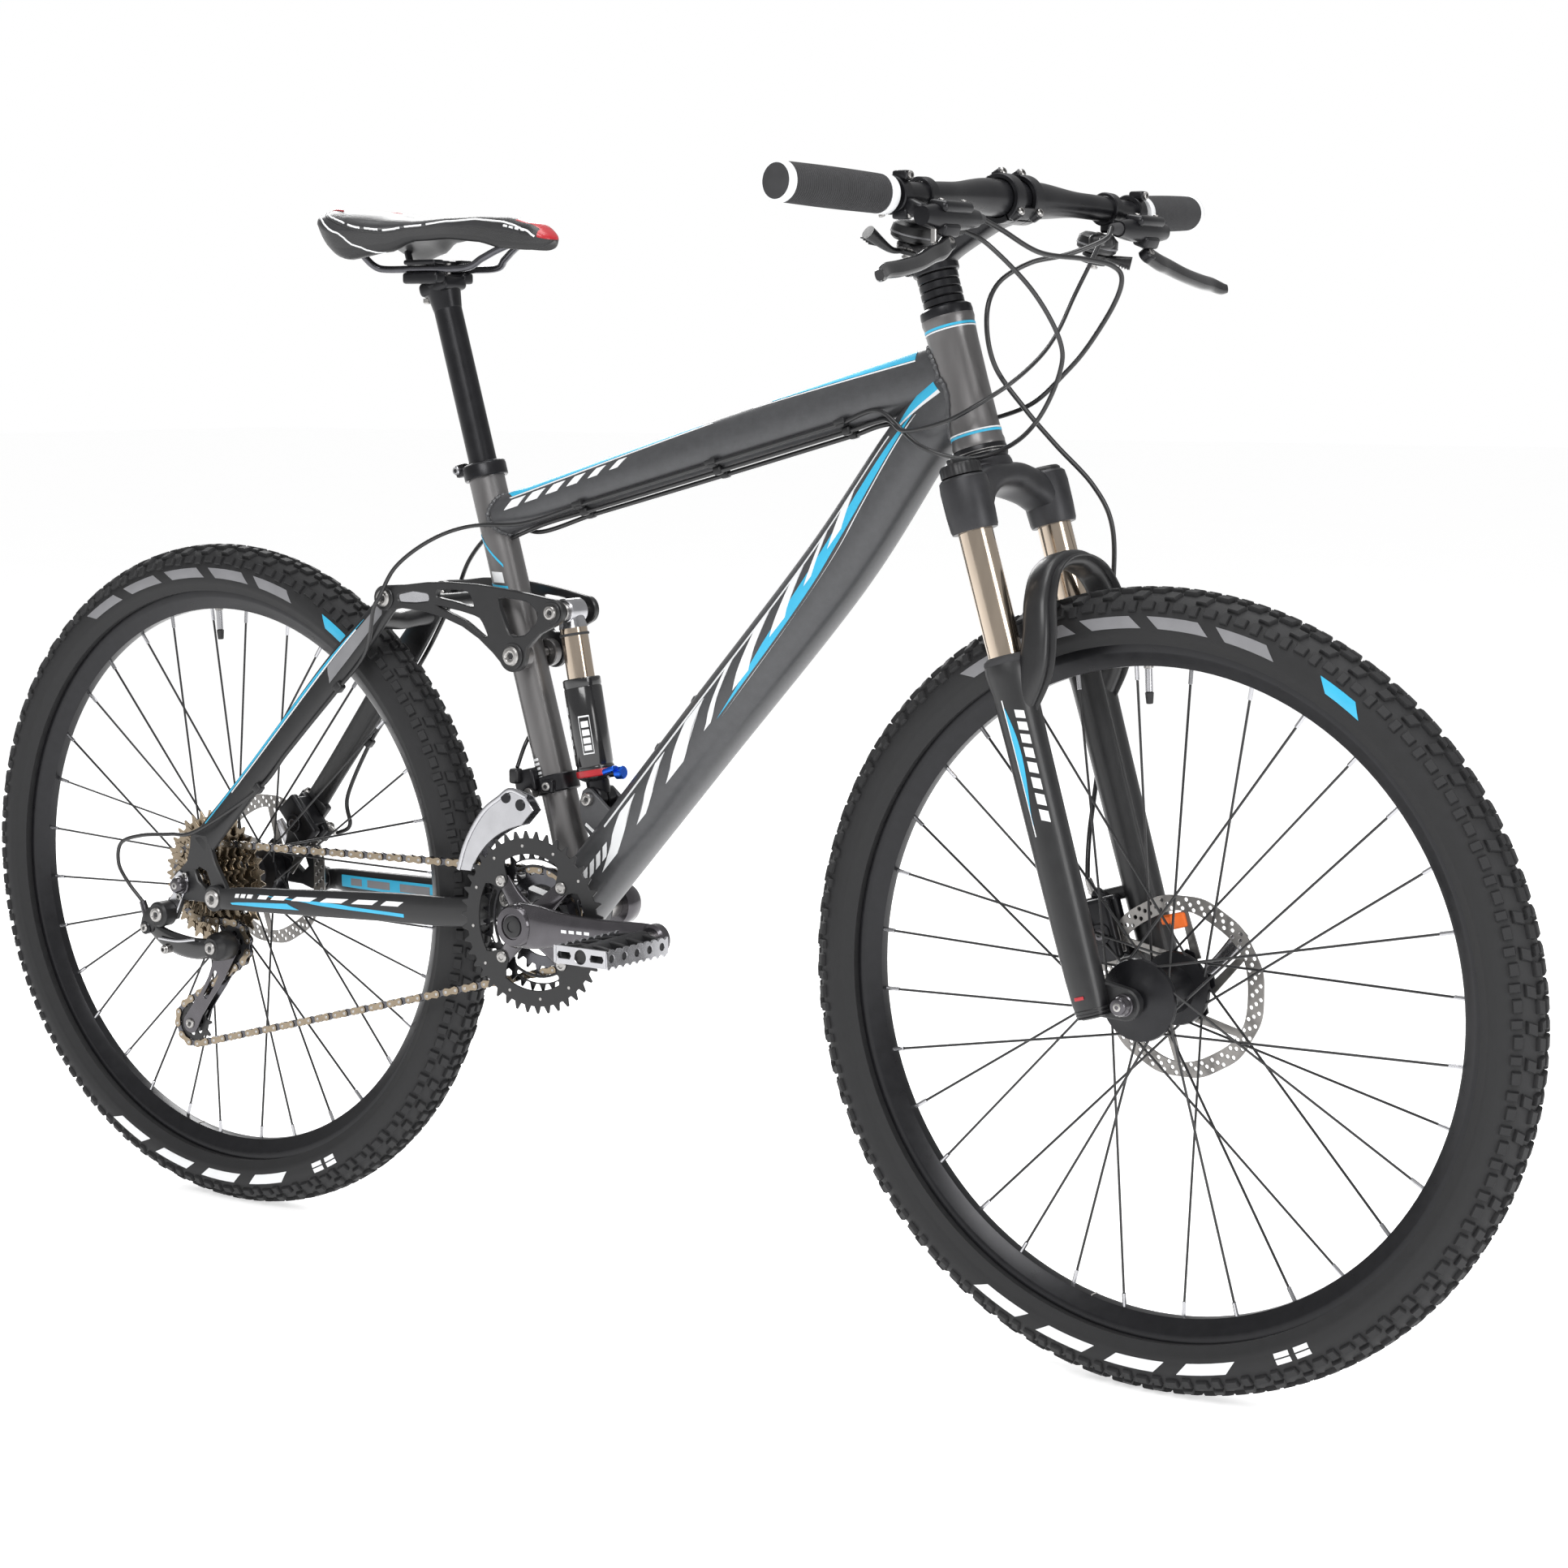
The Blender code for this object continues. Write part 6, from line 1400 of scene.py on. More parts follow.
def brake_master(side, label):
    """Hinged clamp, cylinder with its reservoir, hose boot and lever bracket."""
    shape = Shape(ANODISED)
    shape.collar(bar_point(side * 0.186), bar_point(side * 0.198), BAR_RADIUS + GAP, 0.0158, ANODISED, 48,
        0.001)
    for drop in (-0.0155, 0.015):
        ear = bar_point(side * 0.192) + Vector((0.0085, 0, drop))
        shape.box(ear, (0.014, 0.011, 0.008), ANODISED, None, 0.002, 3)
        shape.bolt(ear + Vector((0.0068, 0, 0)), (1, 0, 0), 0.0034, 0.0024)
    inner = Vector((0.527, side * 0.118, 0.993))
    outer = Vector((0.527, side * 0.198, 0.993))
    barrel = Form([inner, inner.lerp(outer, 0.3), inner.lerp(outer, 0.7), outer],
        [(0.014, 0.014), (0.0185, 0.02), (0.0195, 0.0215), (0.015, 0.015)], 2.3, 8, (1, 0, 0))
    barrel.body(shape, ANODISED, 32, 32)
    tank = inner.lerp(outer, 0.52) + Vector((0.0035, 0, 0.0085))
    shape.box(tank, (0.019, 0.044, 0.0095), ANODISED, turn_y(0.15), 0.0042, 4)
    for sign in (-1, 1):
        shape.bolt(tank + Vector((0.0012, sign * 0.0165, 0.0044)), (0.15, 0, 1), 0.0022, 0.0014)
    shape.box(outer.lerp(inner, 0.1) + Vector((-0.011, 0, 0.006)), (0.018, 0.012, 0.013), ANODISED,
        turn_y(0.4), 0.003, 3)
    bracket = Vector((0.529, side * LEVER_PIVOT_Y, 0.9838))
    shape.box(bracket, (0.015, 0.024, 0.011), ANODISED, turn_y(0.35), 0.003, 3)
    boot = inner + Vector((0, -side * 0.012, 0.0004))
    shape.rod(inner + sideways(side * 0.004), boot, 0.0062, GRIP, 24, 0.001, 0.004)
    shape.piece(f"brake_cylinder_{label}", "steering", "plastic", (f"brake_master_{label}",))


def brake_lever(side, label):
    """A flattened two-finger blade with a hooked tip and a reach screw."""
    joint = pivot(f"{label}_brake_pull")
    axis = Vector(JOINTS[f"{label}_brake_pull"]["axis"]).normalized()
    shape = Shape(DARK_STEEL)
    shape.rod(joint - axis * 0.0046, joint + axis * 0.0046, 0.0072, ANODISED, 36, 0.001)
    for sign in (-1, 1):
        shape.bolt(joint + axis * sign * 0.0046, axis * sign, 0.0036, 0.0014)
    path = [joint] + [flat(x, z, side * y) for x, z,
        y in ((0.5335, 0.9655, 0.18), (0.5345, 0.962, 0.195), (0.538, 0.955, 0.22), (0.5392, 0.95, 0.248),
        (0.5395, 0.9478, 0.268), (0.543, 0.9445, 0.28), (0.5455, 0.944, 0.2855))]
    sizes = [(0.0105, 0.014), (0.01, 0.015), (0.0098, 0.0145), (0.0095, 0.0135), (0.0095, 0.0135),
        (0.0092, 0.0128), (0.0088, 0.0112), (0.007, 0.0085)]
    Form(path, sizes, 2.6, 8, (1, 0, 0.2)).body(shape, GLOSS_PLASTIC, 56, 28)
    shape.rod(joint + Vector((-0.004, side * 0.013, 0.0)), joint + Vector((-0.004, side * 0.013, 0.012)),
        0.0028, STEEL, 16)
    shape.piece(f"brake_blade_{label}", f"{label}_brake_lever", "black_alloy", (f"brake_lever_{label}",))


def shifter(side, label):
    """A moulded pod under the bar with a cover, a cable port and its clamp."""
    centre = pivot(f"{label}_shift_push")
    shape = Shape(PLASTIC)
    shape.collar(bar_point(side * 0.145), bar_point(side * 0.156), BAR_RADIUS + GAP, 0.0148, ANODISED, 48,
        0.001)
    under = bar_point(side * 0.1505) + Vector((0.004, 0, -0.015))
    shape.box(under, (0.015, 0.011, 0.011), ANODISED, None, 0.002, 3)
    shape.bolt(under + Vector((0.007, 0, -0.002)), (1, 0, -0.2), 0.0032, 0.0022)
    place = toward(POD_AXIS, centre)
    pod = [(0.0, -0.0075), (0.015, -0.0072), (0.0178, -0.005), (0.0186, 0.0), (0.0176, 0.0055),
        (0.0135, 0.0085), (0.0, 0.0095)]
    shape.lathe(pod, place, PLASTIC, 56)
    shape.collar(centre - POD_AXIS * 0.0022, centre - POD_AXIS * 0.0004, 0.015, 0.0189, GREY_MARK, 56)
    nose = centre + Vector((0.012, -side * 0.014, 0.001))
    shape.box(nose, (0.023, 0.02, 0.013), PLASTIC, Matrix.Rotation(side * 0.6, 4, "Z"), 0.0045, 4)
    port = nose + Vector((0.006, -side * 0.009, 0.0))
    shape.rod(port, port + Vector((0.007, -side * 0.013, 0.001)), 0.0042, PLASTIC, 24, 0.0008, 0.0034)
    shape.rod(centre - POD_AXIS * 0.0205, centre, 0.004, STEEL, 20)
    shape.bolt(centre - POD_AXIS * 0.02, -POD_AXIS, 0.005, 0.002)
    shape.bolt(centre + POD_AXIS * 0.0088, POD_AXIS, 0.0036, 0.0014)
    shape.piece(f"shifter_pod_{label}", "steering", "plastic", (f"shifter_{label}",))


def thumb_lever(side, label, name, node, level, reach, angle, pad, lift):
    """A moulded lever with a ribbed thumb pad."""
    centre = pivot(f"{label}_shift_push") + POD_AXIS * level
    direction = Vector((math.cos(angle), side * math.sin(angle), 0.0))
    direction = (direction - POD_AXIS * direction.dot(POD_AXIS)).normalized()
    aside = POD_AXIS.cross(direction)
    shape = Shape(PLASTIC)
    shape.collar(centre - POD_AXIS * 0.0018, centre + POD_AXIS * 0.0018, 0.0042, 0.0112, PLASTIC, 40, 0.0006)
    path = [centre + direction * 0.007, centre + direction * (reach * 0.6) + aside * 0.001,
        centre + direction * (reach + 0.009) + POD_AXIS * lift]
    Form(path, [(0.014, 0.0034), (0.011, 0.006), (pad, 0.012)], 2.2, 8, aside).body(shape, PLASTIC, 24, 24)
    for k in range(4):
        spot = centre + direction * (reach - 0.0005 + 0.0026 * k) + POD_AXIS * (lift * (0.6 + 0.12 * k)
            - 0.0052)
        shape.box(spot, (pad * 0.7, 0.0009, 0.0012), GRIP,
            toward(POD_AXIS, (0, 0, 0)) @ Matrix.Rotation(angle, 4, "Z"), 0.0003, 1)
    shape.piece(name, f"{label}_{node}", "plastic", (f"{node}_{label}",))


def controls():
    for side, label in SIDE_LABELS:
        grip(side, label)
        brake_master(side, label)
        brake_lever(side, label)
        shifter(side, label)
        thumb_lever(side, label, f"thumb_paddle_{label}", "shift_lever", -0.016, 0.03, math.radians(125),
            0.019, 0.01)
        thumb_lever(side, label, f"release_trigger_{label}", "release_lever", -0.0104, 0.024,
            math.radians(30), 0.011, 0.0)


def cockpit():
    spacers()
    stem()
    faceplate()
    handlebar()
    controls()


# --- rear suspension -----------------------------------------------------------------------

def cap_bolt(shape, point, direction, radius, height=0.003):
    """A silver pivot cap; the black hexagon in its centre is painted shade in the socket."""
    place = toward(direction, point)
    profile = [(0.0, 0.0), (radius, 0.0), (radius, height * 0.4), (radius * 0.86, height * 0.9),
        (radius * 0.62, height), (radius * 0.56, height * 0.7), (radius * 0.42, height * 0.6),
        (radius * 0.38, height * 0.35), (0.0, height * 0.35)]
    shape.lathe(profile, place, STEEL, 40)
    # A black hexagon in the socket: painted shade in the recess.
    shape.rod(Vector(point) + Vector(direction) * height * 0.2,
        Vector(point) + Vector(direction) * height * 0.5, radius * 0.36, BLACK, 6)


STAY_PATH = ((MAIN_PIVOT.x, MAIN_PIVOT.z, 0.035), (-0.095, 0.348, 0.0385), (-0.19, 0.345, 0.05),
    (-0.32, 0.3405, 0.0685), (-0.366, 0.3392, 0.075), (-0.383, 0.338, 0.0792), (-0.398, 0.3372, 0.0792))
STAY_SIZES = ((0.009, 0.0245), (0.0125, 0.029), (0.014, 0.029), (0.0115, 0.0255), (0.01, 0.024),
    (0.008, 0.0222), (0.0078, 0.021))


def stay_form(side):
    return Form([flat(x, z, side * y) for x, z, y in STAY_PATH], STAY_SIZES, 2.8, 8)


def chainstays():
    shape = Shape(BLACK)
    for side in FRAME_SIDES:
        stay_form(side).body(shape, BLACK, 72, 32)
        low, high = side * 0.0303, side * 0.04
        shape.pin(MAIN_PIVOT, low, high, 0.014, BLACK, 48, 0.0015)
        shape.pin(HORST_PIVOT, side * 0.075, side * 0.0832, 0.0132, BLACK, 48, 0.0012)
        cap_bolt(shape, shift_y(MAIN_PIVOT, high), (0, side, 0), 0.0088)
        cap_bolt(shape, shift_y(HORST_PIVOT, side * 0.0832), (0, side, 0), 0.0094)
    yoke = [(-0.066, 0.34), (-0.1, 0.336), (-0.106, 0.349), (-0.1, 0.361), (-0.068, 0.36)]
    shape.plate([yoke], -0.0345, 0.0345, BLACK, 0.004)
    shape.pin(MAIN_PIVOT, -0.0345, 0.0345, 0.005, STEEL, 24)
    shape.piece("chainstay_pair", "chainstay", "black_paint", ("chainstay",), 36)
    marks = Shape(CYAN, WHITE)
    right = stay_form(RIGHT)
    right.decal(marks, CYAN, 0.3, 0.56, lambda t: 168 + 34 * t, lambda t: 168 + 34 * t - 14 * (1 - t), 0.0,
        0.0004)
    right.decal(marks, CYAN, 0.47, 0.76, lambda t: 156 + 6 * t, lambda t: 178 - 8 * t, 0.02, 0.0004)
    for k in range(9):
        start = 0.305 + 0.044 * k + (0.016 if k > 5 else 0.0)
        right.decal(marks, WHITE, start, start + 0.03, 184, 200, -0.01, 0.0006, 4, 5)
    left = stay_form(LEFT)
    left.decal(marks, CYAN, 0.18, 0.66, 158, 202, 0.0, 0.0004)
    for k in range(4):
        left.decal(marks, GREY_MARK, 0.3 + 0.075 * k, 0.355 + 0.075 * k, 170, 190, 0.0, 0.0006, 4, 5)
    left.decal(marks, CYAN, 0.3, 0.62, -20, 4, 0.03, 0.0004)
    left.decal(marks, WHITE, 0.3, 0.62, 7, 11, 0.03, 0.0004)
    marks.piece("chainstay_decals", "chainstay", "black_paint")


DROPOUT_LOW_Y = 0.0678
DROPOUT_HIGH_Y = 0.0745


def dropout(shape, side):
    """The flat end that joins the stay, the lower pivot and the axle."""
    outline = [(-0.4165, 0.4), (-0.406, 0.372), (-0.3905, 0.348), (-0.3885, 0.3345), (-0.3955, 0.326),
        (-0.408, 0.3262), (-0.422, 0.33), (-0.44, 0.3305)]
    if side < 0:
        outline += [(-0.455, 0.329), (-0.464, 0.3085), (-0.472, 0.3055), (-0.48, 0.3095), (-0.4815, 0.317),
            (-0.4745, 0.33)]
    outline += [(-0.4625, 0.3345), (-0.468, 0.345), (-0.465, 0.356), (-0.456, 0.362), (-0.447, 0.37),
        (-0.442, 0.385), (-0.44, 0.401)]
    hole = [(-0.429, 0.366), (-0.418, 0.362), (-0.413, 0.35), (-0.42, 0.344), (-0.431, 0.352),
        (-0.435, 0.362)]
    low, high = sorted((side * DROPOUT_LOW_Y, side * DROPOUT_HIGH_Y))
    shape.plate([outline, hole], low, high, BLACK, 0.0012)
    if side < 0:
        hanger = [(-0.443, 0.348), (-0.444, 0.356), (-0.456, 0.36), (-0.467, 0.35), (-0.466, 0.334),
            (-0.48, 0.321), (-0.479, 0.308), (-0.47, 0.305), (-0.463, 0.312), (-0.453, 0.331)]
        shape.plate([hanger], low - 0.002, low, SILVER, 0.0006)
        for x, z in ((-0.447, 0.356), (-0.456, 0.333)):
            shape.bolt((x, low - 0.0018, z), (0, -1, 0), 0.0036, 0.002)


def seatstay_form(side):
    foot = shift_y(SEATSTAY_FOOT, side * 0.071)
    head = shift_y(ROCKER_REAR, side * 0.0374)
    middle = foot.lerp(head, 0.5)
    head = head + (foot - head).normalized() * 0.003
    return Form([foot, foot.lerp(head, 0.25), middle, foot.lerp(head, 0.75), head],
        [(0.0082, 0.03), (0.011, 0.0265), (0.0125, 0.029), (0.012, 0.032), (0.0086, 0.0225)], 2.6, 8)


def seatstays():
    shape = Shape(BLACK)
    for side in FRAME_SIDES:
        seatstay_form(side).body(shape, BLACK, 56, 32)
        low, high = side * 0.0336, side * 0.0415
        shape.ring(ROCKER_REAR, low, high, 0.0062, 0.0122, BLACK, 48, 0.0012)
        dropout(shape, side)
    bridge = ROCKER_REAR.lerp(SEATSTAY_FOOT, 0.085)
    path = [shift_y(bridge, y) + Vector((-0.004 * (1 - abs(y) / 0.04), 0, -0.004 * (1 - abs(y) / 0.04)))
        for y in (-0.04, -0.02, 0.0, 0.02, 0.04)]
    Form(path, [(0.019, 0.02), (0.0165, 0.018), (0.016, 0.0175), (0.0165, 0.018), (0.019, 0.02)], 2.3, 8,
        (0.7, 0, 0.7)).body(shape, BLACK, 32, 32)
    shape.box((-0.399, 0.066, 0.413), (0.032, 0.01, 0.03), BLACK, turn_y(-0.84), 0.003, 3)
    shape.piece("seatstay_pair", "seatstay", "black_paint", ("seatstay",), 36)
    marks = Shape(CYAN, WHITE)
    for side in FRAME_SIDES:
        form = seatstay_form(side)
        form.mark(marks, side, CYAN, 0.06, 0.9, (38, -8),
            lambda t: 38 - 8 * t + 18 * math.sin(math.pi * min(1.0, t * 0.9 + 0.1)), 0.0, 0.0004)
        form.mark(marks, side, WHITE, 0.2, 0.86, 24, 29, 0.0, 0.0004)
        form.mark(marks, side, GREY_MARK, 0.7, 0.97, -16, 20, 0.03, 0.0004)
    marks.piece("seatstay_decals", "seatstay", "black_paint")


def rear_caliper():
    turn = turn_y(0.84) @ turn_y(math.pi / 2)
    centre = REAR_AXLE + Vector((0.051, 0.049, 0.057))
    shape = caliper(centre, REAR_ROTOR_Y, REAR_AXLE, turn, (0.052, 0.028))
    shape.piece("rear_brake_caliper", "seatstay", "black_alloy", ("rear_caliper",))


def arc(centre, radius, first, last, count=10):
    return [polar(centre, radius, math.radians(first + (last - first) * k / count))
        for k in range(count + 1)]


def round_corners(points, share=0.28):
    """Cut each corner of a closed outline into three."""
    made = []
    count = len(points)
    for i, (x, z) in enumerate(points):
        px, pz = points[i - 1]
        nx, nz = points[(i + 1) % count]
        made += [(x + (px - x) * share, z + (pz - z) * share),
            (x * 0.88 + (px + nx) * 0.06, z * 0.88 + (pz + nz) * 0.06),
            (x + (nx - x) * share, z + (nz - z) * share)]
    return made


ROCKER_FRONT_Y = 0.0262
ROCKER_REAR_Y = 0.0468


def rocker():
    """Two open trusses with three windows each, a bridge and the pivot bolts."""
    rear = arc(ROCKER_REAR, 0.0125, 95, 285, 12)
    foot = arc(ROCKER_PIVOT, 0.0155, 205, 355, 12)
    eye = arc(SHOCK_EYE, 0.013, -55, 95, 12)
    under = [(-0.17, 0.641), (-0.145, 0.639), (-0.1202, 0.6335), (-0.099, 0.626), (-0.08, 0.615),
        (-0.064, 0.602)]
    front = [(-0.0245, 0.608), (-0.01, 0.622)]
    top = [(-0.025, 0.6605), (-0.053, 0.6642), (-0.0824, 0.6672), (-0.115, 0.6682), (-0.14, 0.6672),
        (-0.165, 0.664)]
    outline = rear + under + foot + front + eye + top
    windows = [[(-0.128, 0.653), (-0.127, 0.66), (-0.11, 0.661), (-0.0905, 0.66), (-0.0835, 0.644),
        (-0.105, 0.6495)], [(-0.129, 0.645), (-0.101, 0.641), (-0.078, 0.6355), (-0.069, 0.618),
        (-0.073, 0.6165), (-0.095, 0.632), (-0.115, 0.6395)],
        [(-0.06, 0.656), (-0.024, 0.653), (-0.0115, 0.642), (-0.014, 0.632), (-0.027, 0.62),
        (-0.044, 0.6185)]]
    pocket = [(-0.172, 0.647), (-0.174, 0.654), (-0.156, 0.658), (-0.138, 0.656), (-0.137, 0.649),
        (-0.153, 0.647)]
    holes = [round_corners(window) for window in windows + [pocket]]
    span = SHOCK_EYE.x - ROCKER_REAR.x
    slope = (ROCKER_REAR_Y - ROCKER_FRONT_Y) / span
    shape = Shape(BLACK)
    for side in FRAME_SIDES:
        lean = Matrix.Identity(4)
        lean[1][0] = -side * slope
        lean[1][3] = side * (ROCKER_FRONT_Y + slope * SHOCK_EYE.x)
        shape.plate([outline] + holes, -0.0034, 0.0034, BLACK, 0.0011, lean)
        shape.plate([pocket], -0.0016, 0.0016, SILVER, 0.0002, lean)
        for point, radius in ((ROCKER_PIVOT, 0.0095), (SHOCK_EYE, 0.0072), (ROCKER_REAR, 0.0082)):
            y = side * (ROCKER_FRONT_Y + slope * (SHOCK_EYE.x - point.x) + 0.003)
            shape.pin(point, y - side * 0.002, y + side * 0.0012, radius + 0.0035, BLACK, 48, 0.0008)
            cap_bolt(shape, shift_y(point, y + side * 0.0012), (0, side, 0), radius)
        low, high = side * 0.0325, side * 0.0475
        shape.pin(ROCKER_REAR, low, high, 0.0045, STEEL, 24)
    bridge = [flat(-0.1345, 0.649, y) for y in (-0.042, -0.021, 0.0, 0.021, 0.042)]
    Form(bridge, [(0.02, 0.015), (0.015, 0.013), (0.014, 0.0125), (0.015, 0.013), (0.02, 0.015)], 2.4, 8,
        (1, 0, 0)).body(shape, BLACK, 32, 28)
    shape.pin(ROCKER_PIVOT, -0.033, 0.033, 0.005, STEEL, 24)
    shape.pin(SHOCK_EYE, -0.026, 0.026, 0.004, STEEL, 24)
    shape.piece("rocker_truss", "rocker", "black_alloy", ("rocker_link",), 36)


def shock_axis():
    return (SHOCK_EYE - SHOCK_FOOT).normalized()


def shock_can():
    """Air can with bands and bars, red dial, blue lever and knob."""
    axis = shock_axis()
    foot = SHOCK_FOOT
    place = toward(axis, foot)
    shape = Shape(GLOSS_PLASTIC)
    can = [(0.0134, 0.115), (0.017, 0.115), (0.0182, 0.114), (0.0184, 0.108), (0.0178, 0.107),
        (0.0178, 0.1058), (0.0182, 0.105), (0.0182, 0.033), (0.0176, 0.032), (0.0176, 0.03),
        (0.0184, 0.029), (0.0184, 0.022), (0.0165, 0.019), (0.012, 0.016), (0.0134, 0.03)]
    shape.lathe(can, place, GLOSS_PLASTIC, 64)
    shape.rod(foot + axis * 0.003, foot + axis * 0.019, 0.0112, ANODISED, 40)
    for side in FRAME_SIDES:
        shape.pin(foot, side * 0.001, side * 0.012, 0.0112, ANODISED, 40, 0.0012)
        cap_bolt(shape, shift_y(foot, side * 0.02), (0, side, 0), 0.0064)
    shape.pin(foot, -0.02, 0.02, 0.004, STEEL, 24)
    shape.collar(foot + axis * 0.0205, foot + axis * 0.0275, 0.015, 0.019, RED, 64, 0.001)
    lever = foot + axis * 0.026 + Vector((0.018, -0.006, 0.001))
    shape.box(lever, (0.023, 0.009, 0.0055), BLUE, turn_y(-0.35), 0.002, 3)
    knob_foot = foot + axis * 0.0245 + Vector((0.017, 0, 0.0))
    shape.rod(knob_foot, knob_foot + Vector((0.013, 0, 0.002)), 0.004, ANODISED, 24)
    shape.rod(knob_foot + Vector((0.008, 0, 0.001)), knob_foot + Vector((0.017, 0, 0.002)), 0.0064, BLUE,
        20, 0.0012)
    form = Form([foot + axis * d for d in (0.034, 0.054, 0.078, 0.104)], [(0.0364, 0.0364)] * 4, 2.0, 8)
    for k in range(4):
        form.decal(shape, WHITE, 0.2 + 0.11 * k, 0.28 + 0.11 * k, 196, 218, 0.0, 0.0003, 4, 6)
    for first, last in ((0.14, 0.16), (0.66, 0.68)):
        form.decal(shape, WHITE, first, last, 190, 224, 0.0, 0.0003, 3, 8)
    for start, end in ((190, 191.5), (222.5, 224)):
        form.decal(shape, WHITE, 0.14, 0.68, start, end, 0.0, 0.0003, 12, 2)
    for k in range(5):
        form.decal(shape, WHITE, 0.16 + 0.14 * k, 0.25 + 0.14 * k, 128, 146, 0.0, 0.0003, 4, 6)
    shape.piece("shock_air_can", "shock_can", "black_alloy", ("shock_body",), 36)


def shock_shaft():
    axis = shock_axis()
    top = SHOCK_EYE
    shape = Shape(CHAMPAGNE)
    place = toward(-axis, top)
    shape.lathe([(0.0, 0.015), (0.0118, 0.015), (0.0132, 0.0165), (0.0132, 0.118), (0.0, 0.118)], place,
        CHAMPAGNE, 56)
    shape.collar(top - axis * 0.024, top - axis * 0.0215, 0.0132, 0.0143, GRIP, 48, 0.0006)
    head = Form([top - axis * d for d in (0.0, 0.008, 0.0165)],
        [(0.022, 0.02), (0.0236, 0.023), (0.0262, 0.0262)], 2.4, 8)
    head.body(shape, SILVER, 20, 40)
    shape.ring(top, -0.012, 0.012, 0.006, 0.0122, SILVER, 48, 0.0012)
    for side in FRAME_SIDES:
        shape.ring(top, side * 0.0121, side * 0.015, 0.0057, 0.0088, STEEL, 40, 0.0005)
    shape.piece("shock_shaft_and_eye", "shock_rod", "steel", ("shock_shaft",), 36)


def suspension():
    chainstays()
    seatstays()
    rear_caliper()
    quick_release(REAR_AXLE, 0.0748, -0.6, "rear_quick_release", "seatstay", "rear_axle")
    rocker()
    shock_can()
    shock_shaft()


# --- drive train ---------------------------------------------------------------------------

CRANK_LENGTH = 0.165
CRANK_ANGLE = math.radians(1.5)
OUTER_BOLTS = 0.052
INNER_BOLTS = 0.032
SPIDER = [45 + 90 * k for k in range(4)]
ROLLER_ROOM = 0.004
TOOTH = ((-0.2, -1.0), (0.0, -1.06), (0.2, -1.0), (0.34, 0.0), (0.43, 0.7), (0.57, 0.7), (0.66, 0.0))


def toothed(centre, teeth, phase=0.0):
    """The outline of a sprocket; phase is the angle of one valley."""
    middle = pitch_radius(teeth)
    points = []
    for k in range(teeth):
        for share, lift in TOOTH:
            points.append(polar(centre, middle + lift * ROLLER_ROOM, phase + TAU * (k + share) / teeth))
    return points


def hole(centre, radius, count=20):
    return [polar(centre, radius, TAU * k / count) for k in range(count)]


def slot(centre, inner, outer, first, last, count=9):
    """A curved window between two radii, with rounded ends."""
    middle = (inner + outer) / 2
    half = (outer - inner) / 2
    cap = math.degrees(half / middle)
    points = []
    for radius, start, end, turn in ((outer, first + cap, last - cap, 0),
            (inner, last - cap, first + cap, -180)):
        middle_of_cap = polar(centre, middle, math.radians(end))
        points += arc(centre, radius, start, end, count)
        points += [polar(middle_of_cap, half, math.radians(end + turn + a)) for a in (30, 60, 90, 120, 150)]
    return points


def tip(radius, degrees):
    """A point round the crank axis."""
    return polar(BB, radius, math.radians(degrees))


def bolt_ring(inner_edge, tab_radius, bolt_radius):
    """The inside edge of a ring that reaches in to four bolt tabs."""
    points = []
    for k in range(360, 0, -3):
        off = abs((k - 45) % 90 - (90 if (k - 45) % 90 > 45 else 0))
        share = ease((off - 6) / 9)
        points.append(tip(tab_radius + (inner_edge - tab_radius) * share, k))
    return points, [hole(tip(bolt_radius, a), 0.0046, 14) for a in SPIDER]


def chainrings():
    looks = (("large", 0.0655, 0.0462, OUTER_BOLTS, "chainring_outer", PLASTIC),
        ("medium", 0.052, 0.0462, OUTER_BOLTS, "chainring_middle", ANODISED),
        ("small", 0.0345, 0.0264, INNER_BOLTS, "chainring_inner", DARK_STEEL))
    for index, (label, edge, tab, bolts, node, look) in enumerate(looks):
        shape = Shape(look)
        y = RING_Y[index]
        inner, holes = bolt_ring(edge, tab, bolts)
        outlines = [toothed(BB, RING_TEETH[index], math.pi / 2)] + [inner] + holes
        if index == 1:
            outlines += [slot(BB, 0.0545, 0.0595, a + 18, a + 72) for a in SPIDER]
        shape.plate(outlines, y - 0.001, y + 0.001, look, 0.0004)
        if index == 0:
            for k in range(12):
                x, z = tip(0.0735, 30 * k + 8)
                shape.rod((x, y - 0.0014, z), (x, y - 0.0006, z), 0.0016, STEEL, 12, 0.0002)
        shape.piece(f"{label}_chainring", "crank", "steel", (node,), 36)


def crank_end(side):
    return BB + around(CRANK_ANGLE, -side * CRANK_LENGTH)


